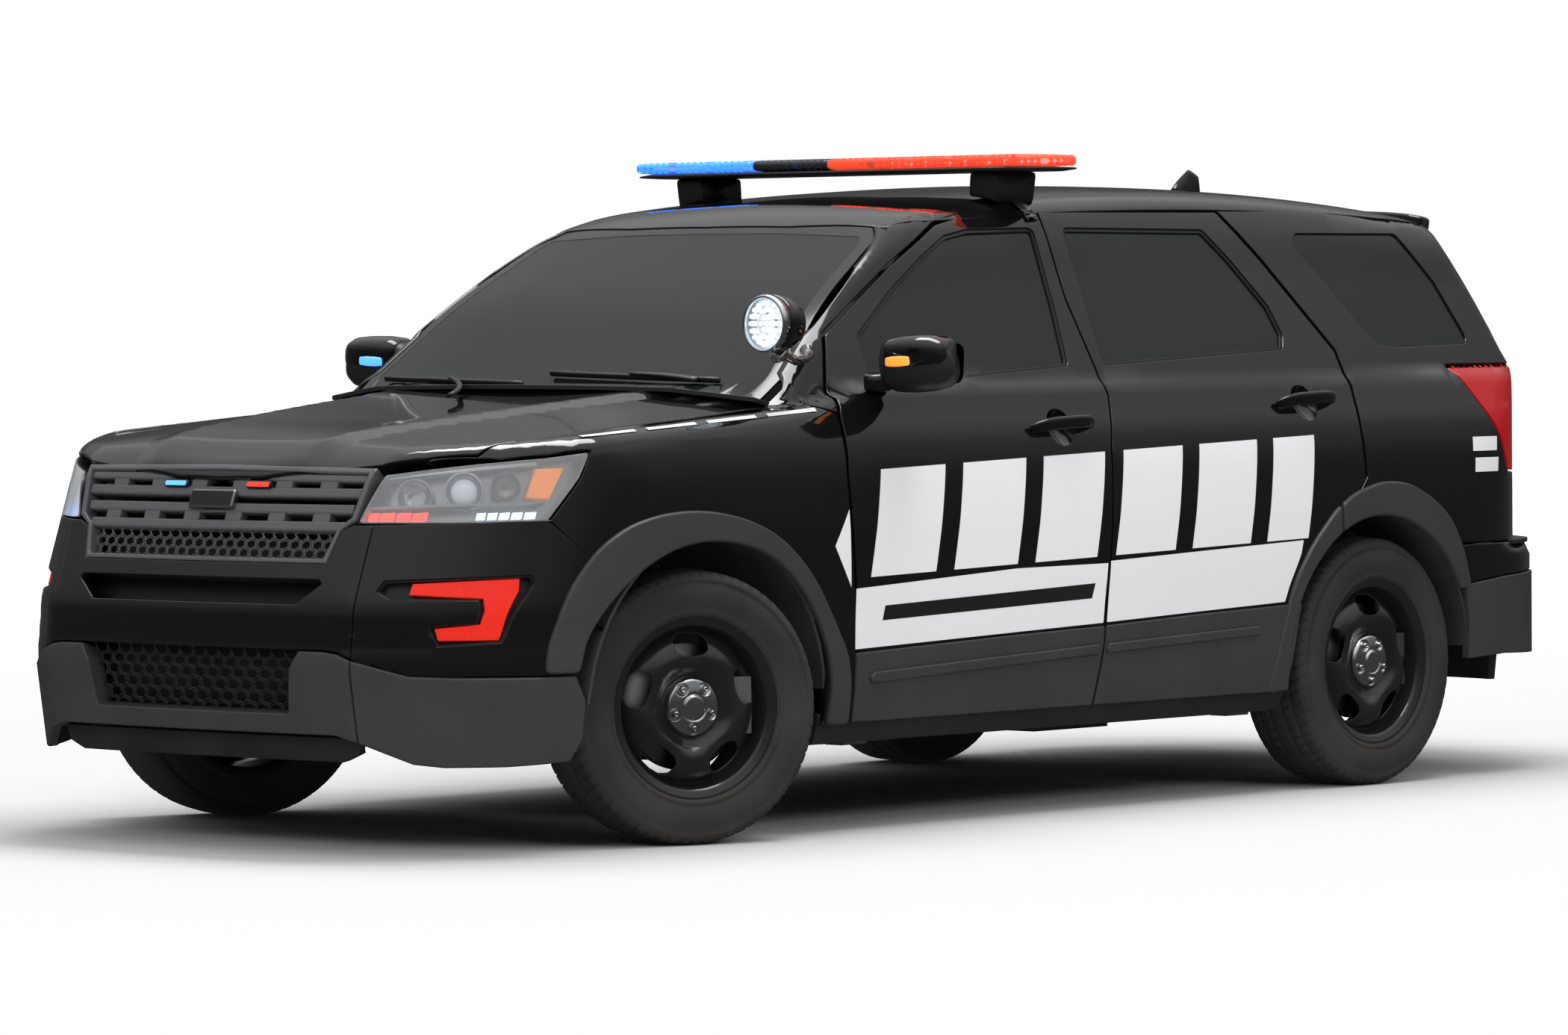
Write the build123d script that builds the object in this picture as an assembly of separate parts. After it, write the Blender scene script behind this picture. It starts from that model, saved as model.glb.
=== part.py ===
"""Police patrol car: a five-door utility car with doors, hood, liftgate and steering that move.

The frame has +Z up, the nose towards -Y and the driver's (left) side towards +X.
The origin is on the floor, below the middle of the whole car. All sizes are in millimetres.
"""
from build123d import *
import os
from math import hypot, pi, sin

os.makedirs("parts", exist_ok=True)

# Driving sizes of the car
WHEELBASE = 2860
FRONT_OVERHANG = 990
REAR_OVERHANG = 1180
BODY_WIDTH = 2004
BODY_HEIGHT = 1755
TRACK = 1702
MIRROR_SPAN = 2292

# Wheels and tyres
TYRE_RADIUS = 363
TYRE_WIDTH = 245
RIM_RADIUS = 228
RIM_WIDTH = 208
RIM_WALL = 12
FLANGE_HEIGHT = 18
FLANGE_WIDTH = 9
HUB_CAP_RADIUS = 83
HUB_CAP_DEPTH = 30
SPINDLE_RADIUS = 30
BRAKE_DISC_RADIUS = 168
BRAKE_DISC_WIDTH = 24
WHEEL_WINDOWS = 5
STEER_ANGLE = -19

# Clearances and wall thicknesses
RUNNING_FIT = 0.05
SEAT_GAP = 0.3
SHUT_GAP = 6
PANEL_GAP = 0.5
SKIN = 30
DOOR_WALL = 62
FRAME_WALL = 100
SEAL_WIDTH = 14
GLASS_INSET = 8
GLASS_THICKNESS = 5
OVERRUN = 400
BUMPER_WALL = 45

# Wheel arches
FRONT_ARCH_CLEARANCE = 95
REAR_ARCH_CLEARANCE = 77
FRONT_ARCH_RADIUS = TYRE_RADIUS + FRONT_ARCH_CLEARANCE
REAR_ARCH_RADIUS = TYRE_RADIUS + REAR_ARCH_CLEARANCE

# Tyre, rim and hub details
SHOULDER_DROP = 12
SHOULDER_INSET = 17
TREAD_INSET = 34
HUB_BACK = 32
HUB_FACE = 72
PLATE_WALL = 9
PLATE_CROWN = 98
PLATE_FOOT = 78
BELL_RADIUS = 70
WINDOW_INNER = 132
WINDOW_OUTER = 198
WINDOW_WIDTH = 96

# Hub carriers, arms and struts
KNUCKLE_REACH = 117
EYE_HEIGHT = 28
KINGPIN_RADIUS = 12
POST_DEPTH = 12
POST_WIDTH = 28
CALIPER_GAP = 5
CALIPER_WALL = 12
CALIPER_HEIGHT = 150
CALIPER_INNER = 118
CALIPER_OUTER = 182
BEAM_HALF = 480
BEAM_DEPTH = 75
ARM_HALF = 24
STRUT_X = 646
STRUT_RADIUS = 26
AXLE_RADIUS = 22
DRIVE_RADIUS = 70
LINER_WALL = 10
FRONT_LINER_X = 524
REAR_LINER_X = 690

# Floor and engine bay
SHEET = 22
SILL_WIDTH = 90
SILL_HEIGHT = 95
LOAD_HALF = 650
RAIL_X = 430
RAIL_WIDTH = 70
BUFFER_RADIUS = 10
ENGINE_FLOOR = 330
ENGINE_HALF = 380
ENGINE_HEIGHT = 560
ENGINE_LENGTH = 620
EXHAUST_X = 230
PIPE_RADIUS = 30
SILENCER_HALF = 110
JACK_WIDTH = 60
JACK_LENGTH = 100
JACK_DROP = 8

# Cabin
SEAT_DEPTH = 520
SEAT_BACK = 130
SEAT_HEIGHT = 370
BACK_HEIGHT = 520
DASH_HALF = 600
STEERING_X = 390
STEERING_RADIUS = 185
COLUMN_RADIUS = 22
COLUMN_LENGTH = 120
COLUMN_DROP = 90

# Roof, mirrors and spotlight
LIGHT_BAR_LENGTH = 1550
LIGHT_BAR_DEPTH = 290
LIGHT_BAR_HEIGHT = 50
LIGHT_BAR_TOP = 1838
FOOT_X = 520
FOOT_WIDTH = 110
FOOT_HEIGHT = 90
STRAP_X = 676
STRAP_WALL = 5
STRAP_WIDTH = 40
MIRROR_DEPTH = 150
MIRROR_HEIGHT = 156
MIRROR_ROUND = 40
SPOT_RADIUS = 78
SPOT_DEPTH = 90
SPOT_ARM_RADIUS = 14
FIN_WIDTH = 40
PLATE_PAD_WIDTH = 320
PLATE_PAD_HEIGHT = 165
PLATE_PAD_DEPTH = 24
PLATE_PAD_PROUD = 2
PLATE_BOLT_SPAN = 178
PLATE_BOLT_RADIUS = 3.5
PLATE_BOLT_DEPTH = 18

LENGTH = FRONT_OVERHANG + WHEELBASE + REAR_OVERHANG
HALF = BODY_WIDTH / 2
FRONT_AXLE = FRONT_OVERHANG - LENGTH / 2
REAR_AXLE = FRONT_AXLE + WHEELBASE
WHEEL_X = TRACK / 2


def along(station):
    """Y of a station: 0 is the nose, 1 and 2 are the axles, 3 is the tail."""
    if station <= 1:
        return -LENGTH / 2 + FRONT_OVERHANG * station
    if station <= 2:
        return FRONT_AXLE + WHEELBASE * (station - 1)
    return REAR_AXLE + REAR_OVERHANG * (station - 2)


def up(share):
    return BODY_HEIGHT * share


def out(share):
    return HALF * share


def grown(face, amount):
    """The face with its outline moved outwards, or inwards where the amount is negative."""
    if amount == 0:
        return face
    return offset(face, amount=amount, kind=Kind.INTERSECTION)


def side_prism(shares, x_from, x_to, grow=0):
    """A prism across the car on an outline of (station, height) shares."""
    face = grown(Polygon(*[(along(s), up(h)) for s, h in shares], align=None), grow)
    return extrude(Plane.YZ.offset(x_from) * face, amount=x_to - x_from, dir=(1, 0, 0))


def front_prism(shares, y_from, y_to, grow=0):
    """A prism along the car on an outline of (width, height) shares."""
    face = grown(Polygon(*[(out(w), up(h)) for w, h in shares], align=None), grow)
    return extrude(Plane.XZ.offset(-y_from) * face, amount=y_to - y_from, dir=(0, 1, 0))


def block(x_from, x_to, y_from, y_to, z_from, z_to):
    """A box between two corners."""
    size = (x_to - x_from, y_to - y_from, z_to - z_from)
    middle = ((x_from + x_to) / 2, (y_from + y_to) / 2, (z_from + z_to) / 2)
    return Pos(*middle) * Box(*size)


def rod(start, end, radius):
    """A round bar from one point to another."""
    line = Vector(*end) - Vector(*start)
    return Plane(origin=start, z_dir=line) * extrude(Circle(radius), amount=line.length)


def mirrored(shares):
    """A half outline from bottom to top, closed with its mirror image."""
    return list(shares) + [(-w, h) for w, h in reversed(shares) if w]


def write(name, part):
    """One STEP file for one node."""
    solids = part.solids()
    part = solids[0] if len(solids) == 1 else Compound(children=list(solids))
    part.label = name
    export_step(part, f"parts/{name}.step")


def pair(part):
    """A left piece with its mirror image."""
    return part, mirror(part, about=Plane.YZ)


# Half of the body's cross-section, from the floor to the crown: width share, height share
SECTION_SHARES = [
    (0.868, 0.134), (0.958, 0.171), (0.974, 0.245), (0.983, 0.393), (0.974, 0.513),
    (0.943, 0.604), (0.913, 0.644), (0.689, 0.934), (0.654, 0.967), (0.559, 0.984),
    (0.299, 0.996), (0, 1.000),
]
FLOOR_SHARE, CREASE_SHARE, BUMPER_TOP_SHARE, BELT_SHARE = 0.134, 0.324, 0.393, 0.687
# Plan of the nose at its crease and of the tail: width share, station, at the middle, shoulder, corner, side
NOSE_SHARES = [(0, 0), (0.559, 0.027), (0.833, 0.247), (0.983, 0.561)]
BUMPER_SHARES = [(0, 3.000), (0.559, 2.949), (0.848, 2.763), (0.983, 2.513)]
GATE_SHARES = [(0, 2.915), (0.559, 2.864), (0.838, 2.699), (0.983, 2.479)]
SCREEN_SHARES = [(0, 1.083), (0.419, 1.091), (0.749, 1.108), (1.000, 1.138)]
# Lean of the walls: station moved for each height share climbed
NOSE_LEAN, CHIN_LEAN, GATE_LEAN = 157 / 445, 40 / 260, 300 / 426
LOW_SCREEN_LEAN, HIGH_SCREEN_LEAN = 1.30, 1.76
SCREEN_SPLIT_SHARE = 0.817
SCREEN_FOOT_SHARE = 0.627
# Roof line seen from the side: station, height share
ROOF_SHARES = [(1.418, 0.970), (1.691, 1.001), (2.555, 0.965)]
# Hood and fender tops: station, then height shares at the middle, crease and edge,
# and width shares of the crease and of the edge
TOP_SHARES = [
    (-0.086, 0.570, 0.570, 0.561, 0.259, 0.798),
    (0.172, 0.583, 0.589, 0.570, 0.274, 0.798),
    (0.268, 0.613, 0.617, 0.594, 0.299, 0.798),
    (0.621, 0.639, 0.643, 0.618, 0.379, 0.808),
    (1.026, 0.664, 0.668, 0.637, 0.449, 0.818),
    (1.163, 0.686, 0.687, 0.655, 0.519, 0.828),
    (1.288, 0.698, 0.698, 0.692, 0.519, 0.828),
    (3.157, 0.698, 0.698, 0.692, 0.519, 0.828),
]


def plan_face(shares, toward, inset=0):
    """Plan of an end of the car, closed far behind it on the side given by toward."""
    (x0, y0), (x1, y1), (x2, y2), (x3, y3) = [(out(w), along(s)) for w, s in shares]
    slant = inset * sin(pi / 4)
    y0, y1, y2 = y0 + toward * inset, y1 + toward * inset, y2 + toward * slant
    x2, x3 = x2 - slant, x3 - inset
    far_x, far_y = x3 + OVERRUN, toward * LENGTH
    front = ThreePointArc((-x1, y1), (x0, y0), (x1, y1))
    right = ThreePointArc((x1, y1), (x2, y2), (x3, y3))
    ends = Polyline((x3, y3), (far_x, y3), (far_x, far_y), (-far_x, far_y), (-far_x, y3), (-x3, y3))
    left = ThreePointArc((-x3, y3), (-x2, y2), (-x1, y1))
    return make_face([front, right, ends, left])


def leaning(face, height, lean, rise):
    """The face raised from a height along a leaning line."""
    reach = abs(rise) * hypot(1, lean)
    return extrude(Plane.XY.offset(height) * face, amount=reach, dir=(0, lean * abs(rise), rise))


def section_prism(inset):
    face = Polygon(*[(out(w), up(h)) for w, h in mirrored(SECTION_SHARES)], align=None)
    return extrude(Plane.XZ.offset(-LENGTH) * grown(face, -inset), amount=2 * LENGTH, dir=(0, -1, 0))


def top_loft(inset):
    """The block under the hood, fenders and belt."""
    rings = []
    for station, middle, crease, edge, crease_x, edge_x in TOP_SHARES:
        tops = [(out(edge_x) + OVERRUN, up(edge)), (out(edge_x), up(edge)), (out(crease_x), up(crease))]
        half = [(x, z - inset) for x, z in tops] + [(0, up(middle) - inset)]
        ring = [(tops[0][0], 0)] + half + [(-x, z) for x, z in reversed(half[:-1])] + [(-tops[0][0], 0)]
        rings.append(Plane.XZ.offset(-along(station)) * make_face(Polyline(*ring, close=True)))
    return loft(rings, ruled=True)


def body_block(inset):
    """The whole outer form of the body, moved inwards by the inset."""
    crease, belt, foot, rise = up(CREASE_SHARE), up(BELT_SHARE), up(SCREEN_FOOT_SHARE), BODY_HEIGHT
    nose = plan_face(NOSE_SHARES, 1, inset)
    nose = leaning(nose, crease, NOSE_LEAN, rise) + leaning(nose, crease, CHIN_LEAN, -crease)
    screen = plan_face(SCREEN_SHARES, 1, inset)
    shift = (up(SCREEN_SPLIT_SHARE) - foot) * (HIGH_SCREEN_LEAN - LOW_SCREEN_LEAN)
    glass = leaning(screen, foot, LOW_SCREEN_LEAN, rise)
    glass &= Pos(0, -shift, 0) * leaning(screen, foot, HIGH_SCREEN_LEAN, rise)
    (y0, z0), (y1, z1), (y2, z2) = [(along(s), up(h) - inset) for s, h in ROOF_SHARES]
    roof_edge = ThreePointArc((y0, z0), (y1, z1), (y2, z2))
    low = Polyline((y2, z2), (LENGTH, z2), (LENGTH, foot), (-LENGTH, foot), (-LENGTH, z0), (y0, z0))
    roof = make_face([roof_edge, low])
    roof = extrude(Plane.YZ.offset(-HALF) * roof, amount=BODY_WIDTH, dir=(1, 0, 0))
    gate = plan_face(GATE_SHARES, -1, inset)
    tail = extrude(gate, amount=belt, dir=(0, 0, 1)) + leaning(gate, belt, -GATE_LEAN, rise)
    bumper = plan_face(BUMPER_SHARES, -1, inset)
    bumper = extrude(bumper, amount=up(BUMPER_TOP_SHARE) - inset, dir=(0, 0, 1))
    body = (nose & top_loft(inset)) + (glass & roof)
    return body & (tail + bumper) & section_prism(inset)


# Side outlines of the left half: station, height share
DOOR_FRONT_SHARES = [
    (1.193, 0.166), (1.203, 0.228), (1.200, 0.303), (1.193, 0.475), (1.193, 0.543), (1.201, 0.639),
    (1.233, 0.762), (1.351, 0.869), (1.437, 0.934), (1.486, 0.949), (1.600, 0.956), (1.624, 0.956),
    (1.624, 0.166),
]
DOOR_REAR_SHARES = [
    (1.547, 0.166), (1.560, 0.268), (1.581, 0.575), (1.600, 0.659), (1.598, 0.704), (1.589, 0.814),
    (1.594, 0.956),
    (1.872, 0.952), (2.055, 0.952), (2.055, 0.166),
]
# Rear edges of the doors, which bound their swing: station, height share
FRONT_DOOR_TAIL_SHARES = [
    (1.545, 0.154), (1.560, 0.268), (1.581, 0.575), (1.600, 0.659), (1.598, 0.704), (1.589, 0.814),
    (1.594, 0.969),
]
REAR_DOOR_TAIL_SHARES = [
    (1.925, 0.154), (1.934, 0.436), (1.979, 0.513), (1.980, 0.587), (1.988, 0.662), (1.985, 0.724),
    (1.950, 0.799), (1.915, 0.874), (1.877, 0.942), (1.865, 0.969),
]
FRONT_WINDOW_SHARES = [
    (1.274, 0.761), (1.338, 0.826), (1.400, 0.883), (1.442, 0.915), (1.479, 0.925), (1.584, 0.928),
    (1.568, 0.798), (1.554, 0.707), (1.403, 0.691), (1.274, 0.691),
]
REAR_WINDOW_SHARES = [
    (1.621, 0.928), (1.836, 0.926), (1.866, 0.874), (1.901, 0.799), (1.908, 0.752), (1.901, 0.728),
    (1.613, 0.707),
]
QUARTER_WINDOW_SHARES = [
    (1.986, 0.920), (1.974, 0.900), (2.009, 0.849), (2.096, 0.773), (2.153, 0.733), (2.239, 0.728),
    (2.547, 0.733), (2.483, 0.838), (2.386, 0.920),
]
# Wide flat ways in behind the doors
FRONT_ENTRY_SHARES = [
    (1.224, 0.239), (1.224, 0.632), (1.274, 0.761), (1.338, 0.826), (1.400, 0.883), (1.442, 0.912),
    (1.547, 0.920), (1.547, 0.704), (1.537, 0.575), (1.526, 0.239),
]
REAR_ENTRY_SHARES = [
    (1.607, 0.239), (1.621, 0.575), (1.629, 0.704), (1.629, 0.917), (1.830, 0.917), (1.866, 0.874),
    (1.897, 0.799), (1.904, 0.729), (1.925, 0.655), (1.911, 0.513), (1.837, 0.365), (1.820, 0.239),
]
# Regions of the outer skin
FENDER_SHARES = [
    (1.205, 0.166), (1.205, 0.798), (-0.086, 0.798), (-0.086, 0.575),
    (0.460, 0.493), (0.626, 0.393), (0.722, 0.319), (0.722, 0.166),
]
BODY_SIDE_SHARES = [
    (1.121, 0.650), (1.205, 0.650), (1.205, 0.134), (2.394, 0.134), (2.394, 0.394), (3.157, 0.394),
    (3.157, 1.000), (1.121, 1.000),
]
NOSE_REGION_SHARES = [
    (-0.086, 0.575), (0.460, 0.493), (0.626, 0.393), (0.722, 0.319), (0.722, 0.131), (-0.086, 0.131),
]
TAIL_REGION_SHARES = [(2.394, 0.131), (2.394, 0.393), (3.157, 0.393), (3.157, 0.131)]
# Front outlines: width, height share
HEADLAMP_SHARES = [
    (0.522, 0.488), (0.548, 0.577), (0.773, 0.587), (1.008, 0.605), (1.008, 0.558), (0.928, 0.495),
]
GRILLE_SHARES = [(0.452, 0.432), (0.473, 0.479), (0.520, 0.496), (0.544, 0.574)]
SLOT_SHARES = [(0.374, 0.375), (0.459, 0.410)]
# Undersides of the grille's bars, and their height
BAR_SHARES = [0.485, 0.511, 0.536, 0.558]
BAR_HEIGHT_SHARE = 0.014
LOWER_GRILLE_SHARES = [(0.351, 0.207), (0.384, 0.279), (0.412, 0.305)]
SKID_SHARES = [(0.544, 0.134), (0.574, 0.217), (0.495, 0.308)]
FOG_SHARES = [(0.639, 0.312), (0.611, 0.393), (0.923, 0.420), (0.863, 0.302)]
SCREEN_WINDOW_SHARES = [(0.760, 0.704), (0.631, 0.933)]
# Side edges of the tail door: distance from its hinge as a share of the height, half width share
GATE_EDGE_SHARES = [
    (0, 0.569), (0.067, 0.609), (0.382, 0.798), (0.524, 0.788), (0.628, 0.739),
    (0.855, 0.639),
]
GATE_FOOT_SHARE, GATE_HINGE_SHARES = 0.397, (2.531, 0.969)
SPOILER_WIDTH_SHARE = 0.599
GATE_WINDOW_SHARES = [(0.689, 0.698), (0.544, 0.912)]
GATE_ENTRY_SHARES = [(0.669, 0.342), (0.714, 0.513), (0.724, 0.687), (0.559, 0.906)]
# Side outline of the tail lamps: station, height share
TAIL_LAMP_SHARES = [
    (2.410, 0.694), (3.157, 0.694), (3.157, 0.516), (2.571, 0.516), (2.530, 0.575),
]
# Plan of the hood: width share, station
HOOD_SHARES = [(0.544, 0.223), (0.768, 0.369), (0.798, 0.621), (0.813, 1.142)]
HOOD_NOSE_SHARE, HOOD_TAIL_SHARE, HOOD_FLOOR_SHARE = 0.167, 1.115, 0.561
HOOD_LEAN = 0.15
COWL_HALF_SHARE, COWL_NOSE_SHARE, COWL_TAIL_SHARE = 0.811, 1.082, 1.184
COWL_LOW_SHARE, COWL_TOP_SHARE = 0.650, 0.707
ROOF_EDGE_SHARE, ROOF_FLOOR_SHARE, ROOF_REAR_SHARE = 0.629, 0.933, 2.531
LAMP_INNER_SHARE, LAMP_NOSE_SHARE, LAMP_TAIL_SHARE = 0.548, 0.268, 0.561
TAIL_LAMP_INNER_SHARE = 0.699
# Undersides of the bumpers: height, and where the front and rear ones end
BUMPER_FOOT_SHARE, BUMPER_BACK_SHARE, BUMPER_TAIL_SHARE = 0.188, 0.318, 2.775
DOOR_TOP_SHARE, SILL_SHARE, SILL_TOP_SHARE = 0.641, 0.888, 0.228
FRONT_HINGE_SHARE, REAR_HINGE_SHARE = 1.189, 1.545
HINGE_X = HALF - 13

# Floor, cabin and roof places
BULKHEAD_SHARE, KICK_SHARE, LOAD_END_SHARE = 1.184, 1.857, 2.860
BULKHEAD_TOP_SHARE, LOAD_SHARE = 0.638, 0.336
RAIL_START_SHARE, SUPPORT_SHARE, TIE_SHARE = 0.187, 0.278, 0.547
SEAL_LOW_SHARE, SEAL_TOP_SHARE = 0.433, 0.889
SILENCER_SHARE = 1.715
# Middles of the jacking pads: width share, station
JACK_SHARES = [(0.838, 1.236), (0.838, 1.813)]
DASH_SHARE, DASH_FLOOR_SHARE, DASH_TOP_SHARE = 1.309, 0.433, 0.627
HEADREST_SHARE = 0.798
# Seats: middle and half width as shares of the body's half width, station of the rear face
SEAT_SHARES = [(0.399, 0.259, 1.589), (-0.399, 0.259, 1.589), (0, 0.619, 1.841)]
SEAT_PLACES = [(out(x), out(half), along(s)) for x, half, s in SEAT_SHARES]
PLATE_SHARE = 0.490
LIGHT_BAR_SHARE, STRAP_TOP_SHARE, STRAP_LOW_SHARE = 1.579, 0.981, 0.960
MIRROR_INNER_SHARE, MIRROR_SHARE, MIRROR_HEIGHT_SHARE = 0.903, 1.274, 0.714
SPOT_SHARE = (0.888, 1.126, 0.779)
SPOT_FOOT_SHARE = (0.798, 1.198, 0.735)
FIN_SHARES = [(2.197, 0.969), (2.197, 1.005), (2.301, 1.032), (2.316, 1.029), (2.319, 0.969)]
SPOILER_SHARES = [(2.536, 0.934), (2.536, 0.965), (2.737, 0.948), (2.733, 0.934), (2.631, 0.923)]
SPOILER_PLAN_SHARES = [(0, 2.737), (0.419, 2.716), (0.599, 2.631), (0.639, 2.533)]


def skin_x(height):
    """Half width of the body's side at a height."""
    points = [(out(w), up(h)) for w, h in SECTION_SHARES]
    for (x0, z0), (x1, z1) in zip(points, points[1:]):
        if z0 <= height <= z1:
            return x0 + (x1 - x0) * (height - z0) / (z1 - z0)
    return points[0][0]


def swing_block(hinge_y, tail_shares, grow=0):
    """Everything that a door's rear edge can sweep, as a form turned about the door's hinge."""
    edge = [(hypot(HINGE_X - skin_x(up(h)), along(s) - hinge_y) + grow, up(h)) for s, h in tail_shares]
    profile = Polygon((0, edge[0][1]), *edge, (0, edge[-1][1]), align=None)
    plane = Plane(origin=(HINGE_X, hinge_y, 0), x_dir=(1, 0, 0), z_dir=(0, -1, 0))
    return revolve(plane * profile, axis=Axis((HINGE_X, hinge_y, 0), (0, 0, 1)))


def arch_cut(axle_y, radius):
    """The round wheel arch, through the side of the body."""
    start = (WHEEL_X - TYRE_WIDTH, axle_y, TYRE_RADIUS)
    return rod(start, (HALF + OVERRUN, axle_y, TYRE_RADIUS), radius)


front_hinge_y, rear_hinge_y = along(FRONT_HINGE_SHARE), along(REAR_HINGE_SHARE)
form = {inset: body_block(inset) for inset in
        (0, GLASS_INSET, GLASS_INSET + GLASS_THICKNESS, SKIN, BUMPER_WALL, DOOR_WALL,
         DOOR_WALL + SEAT_GAP, DOOR_WALL + SHUT_GAP, FRAME_WALL)}
outer = form[0]
pane = form[GLASS_INSET] - form[GLASS_INSET + GLASS_THICKNESS]
left_half = block(0, BODY_WIDTH, -LENGTH, LENGTH, 0, 2 * BODY_HEIGHT)
side_band = block(HALF / 2, BODY_WIDTH, -LENGTH, LENGTH, 0, 2 * BODY_HEIGHT)
outer_left = outer & side_band
front_arch = arch_cut(FRONT_AXLE, FRONT_ARCH_RADIUS)
rear_arch = arch_cut(REAR_AXLE, REAR_ARCH_RADIUS)


def side_cut(shares, grow=0):
    return side_prism(shares, HALF / 2, BODY_WIDTH, grow)


def door_blank(shares, hinge_y, tail_shares, grow=0):
    """A door's outline through the wall, and through its opening where it is grown."""
    return side_cut(shares, grow) & swing_block(hinge_y, tail_shares, grow)


front_opening = door_blank(DOOR_FRONT_SHARES, front_hinge_y, FRONT_DOOR_TAIL_SHARES, SHUT_GAP)
rear_opening = door_blank(DOOR_REAR_SHARES, rear_hinge_y, REAR_DOOR_TAIL_SHARES, SHUT_GAP)
sill_well = block(0, out(SILL_SHARE), -LENGTH, LENGTH, 0, up(SILL_TOP_SHARE))
door_side = block(out(DOOR_TOP_SHARE), BODY_WIDTH, -LENGTH, LENGTH, 0, BODY_HEIGHT) - sill_well
door_shell = (outer - form[DOOR_WALL]) & door_side


def front_door():
    door = door_shell & door_blank(DOOR_FRONT_SHARES, front_hinge_y, FRONT_DOOR_TAIL_SHARES)
    return door - side_cut(FRONT_WINDOW_SHARES)


def rear_door():
    door = door_shell & door_blank(DOOR_REAR_SHARES, rear_hinge_y, REAR_DOOR_TAIL_SHARES)
    door -= swing_block(front_hinge_y, FRONT_DOOR_TAIL_SHARES, SHUT_GAP)
    return door - arch_cut(REAR_AXLE, REAR_ARCH_RADIUS + SHUT_GAP) - side_cut(REAR_WINDOW_SHARES)


def pane_in(cutter):
    return pane & cutter


def hood_blank(grow=0):
    """The hood's plan, leaning forward so that its nose lifts clear."""
    (x0, y0), (x1, y1), (x2, y2), (x3, y3) = [(out(w), along(s)) for w, s in HOOD_SHARES]
    nose = ThreePointArc((-x0, y0), (0, along(HOOD_NOSE_SHARE)), (x0, y0))
    right = Polyline((x0, y0), (x1, y1), (x2, y2), (x3, y3))
    tail = ThreePointArc((x3, y3), (0, along(HOOD_TAIL_SHARE)), (-x3, y3))
    left = Polyline((-x3, y3), (-x2, y2), (-x1, y1), (-x0, y0))
    face = grown(make_face([nose, right, tail, left]), grow)
    floor = up(HOOD_FLOOR_SHARE)
    return leaning(Pos(0, HOOD_LEAN * -grow, 0) * face, floor - grow, -HOOD_LEAN, BODY_HEIGHT / 4)


skin_shell = outer - form[SKIN]
hood_hole = hood_blank(SHUT_GAP)
hood = skin_shell & hood_blank()
head_cut = front_prism(HEADLAMP_SHARES, -LENGTH, along(LAMP_TAIL_SHARE))
head_cut_wide = front_prism(HEADLAMP_SHARES, -LENGTH, along(LAMP_TAIL_SHARE) + SEAT_GAP, SEAT_GAP)
screen_cut = front_prism(mirrored(SCREEN_WINDOW_SHARES), -LENGTH / 2, -LENGTH / 12)
cowl_box = block(-out(COWL_HALF_SHARE), out(COWL_HALF_SHARE), along(COWL_NOSE_SHARE),
                 along(COWL_TAIL_SHARE), up(COWL_LOW_SHARE), up(COWL_TOP_SHARE))
roof_box = block(-out(ROOF_EDGE_SHARE), out(ROOF_EDGE_SHARE), -LENGTH / 4, along(ROOF_REAR_SHARE),
                 up(ROOF_FLOOR_SHARE), BODY_HEIGHT + OVERRUN)
gate_start = along(ROOF_REAR_SHARE) + SHUT_GAP


def gate_swing(start, grow=0):
    """Everything that the tail door's side edges sweep, turned about its hinge, from a station on."""
    edge = [(out(w) + grow, up(r)) for r, w in GATE_EDGE_SHARES]
    profile = Polygon(*edge, *[(-x, r) for x, r in reversed(edge)], align=None)
    origin = (0, along(GATE_HINGE_SHARES[0]), up(GATE_HINGE_SHARES[1]))
    plane = Plane(origin=origin, x_dir=(1, 0, 0), z_dir=(0, -1, 0))
    swept = revolve(plane * profile, axis=Axis(origin, (1, 0, 0)))
    return swept & block(-HALF, HALF, start, LENGTH, up(GATE_FOOT_SHARE) - grow, 2 * BODY_HEIGHT)


gate_cut = gate_swing(gate_start)
gate_hole = gate_swing(gate_start - SHUT_GAP + SEAT_GAP, SHUT_GAP)


def body_side():
    """Pillars, roof rail, sill flange and quarter panel of the left side, in one pressing."""
    side = (outer - form[FRAME_WALL]) & side_cut(BODY_SIDE_SHARES)
    cover = outer - form[DOOR_WALL + SHUT_GAP]
    side -= front_opening & cover
    side -= rear_opening & cover
    for entry in (FRONT_ENTRY_SHARES, REAR_ENTRY_SHARES, QUARTER_WINDOW_SHARES):
        side -= side_cut(entry)
    side -= block(0, out(SILL_SHARE) - SHUT_GAP, -LENGTH, LENGTH, 0, up(SILL_TOP_SHARE))
    side -= block(0, out(DOOR_TOP_SHARE), -LENGTH, LENGTH, up(BELT_SHARE), 2 * BODY_HEIGHT)
    side -= gate_hole & cover
    side -= front_prism(mirrored(GATE_ENTRY_SHARES), REAR_AXLE, LENGTH)
    for hole in (rear_arch, screen_cut, lamp_hole, hood_hole):
        side -= hole
    side -= grown_box(cowl_box, SEAT_GAP)
    side -= grown_box(roof_box, PANEL_GAP)
    return side + side_seals()


def side_seals():
    """Sealing ribs on the flanges, which the closed doors rest on."""
    skin = form[DOOR_WALL + SEAT_GAP] - form[DOOR_WALL + SHUT_GAP]
    seals = None
    for entry in (FRONT_ENTRY_SHARES, REAR_ENTRY_SHARES):
        ring = skin & (side_cut(entry, SEAL_WIDTH) - side_cut(entry))
        seals = ring if seals is None else seals + ring
    gate = front_prism(mirrored(GATE_ENTRY_SHARES), gate_start, LENGTH, SEAL_WIDTH)
    gate -= front_prism(mirrored(GATE_ENTRY_SHARES), REAR_AXLE, LENGTH)
    low = block(0, BODY_WIDTH, REAR_AXLE, LENGTH, up(SEAL_LOW_SHARE), up(SEAL_TOP_SHARE))
    return seals + (skin & gate & low)


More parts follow.
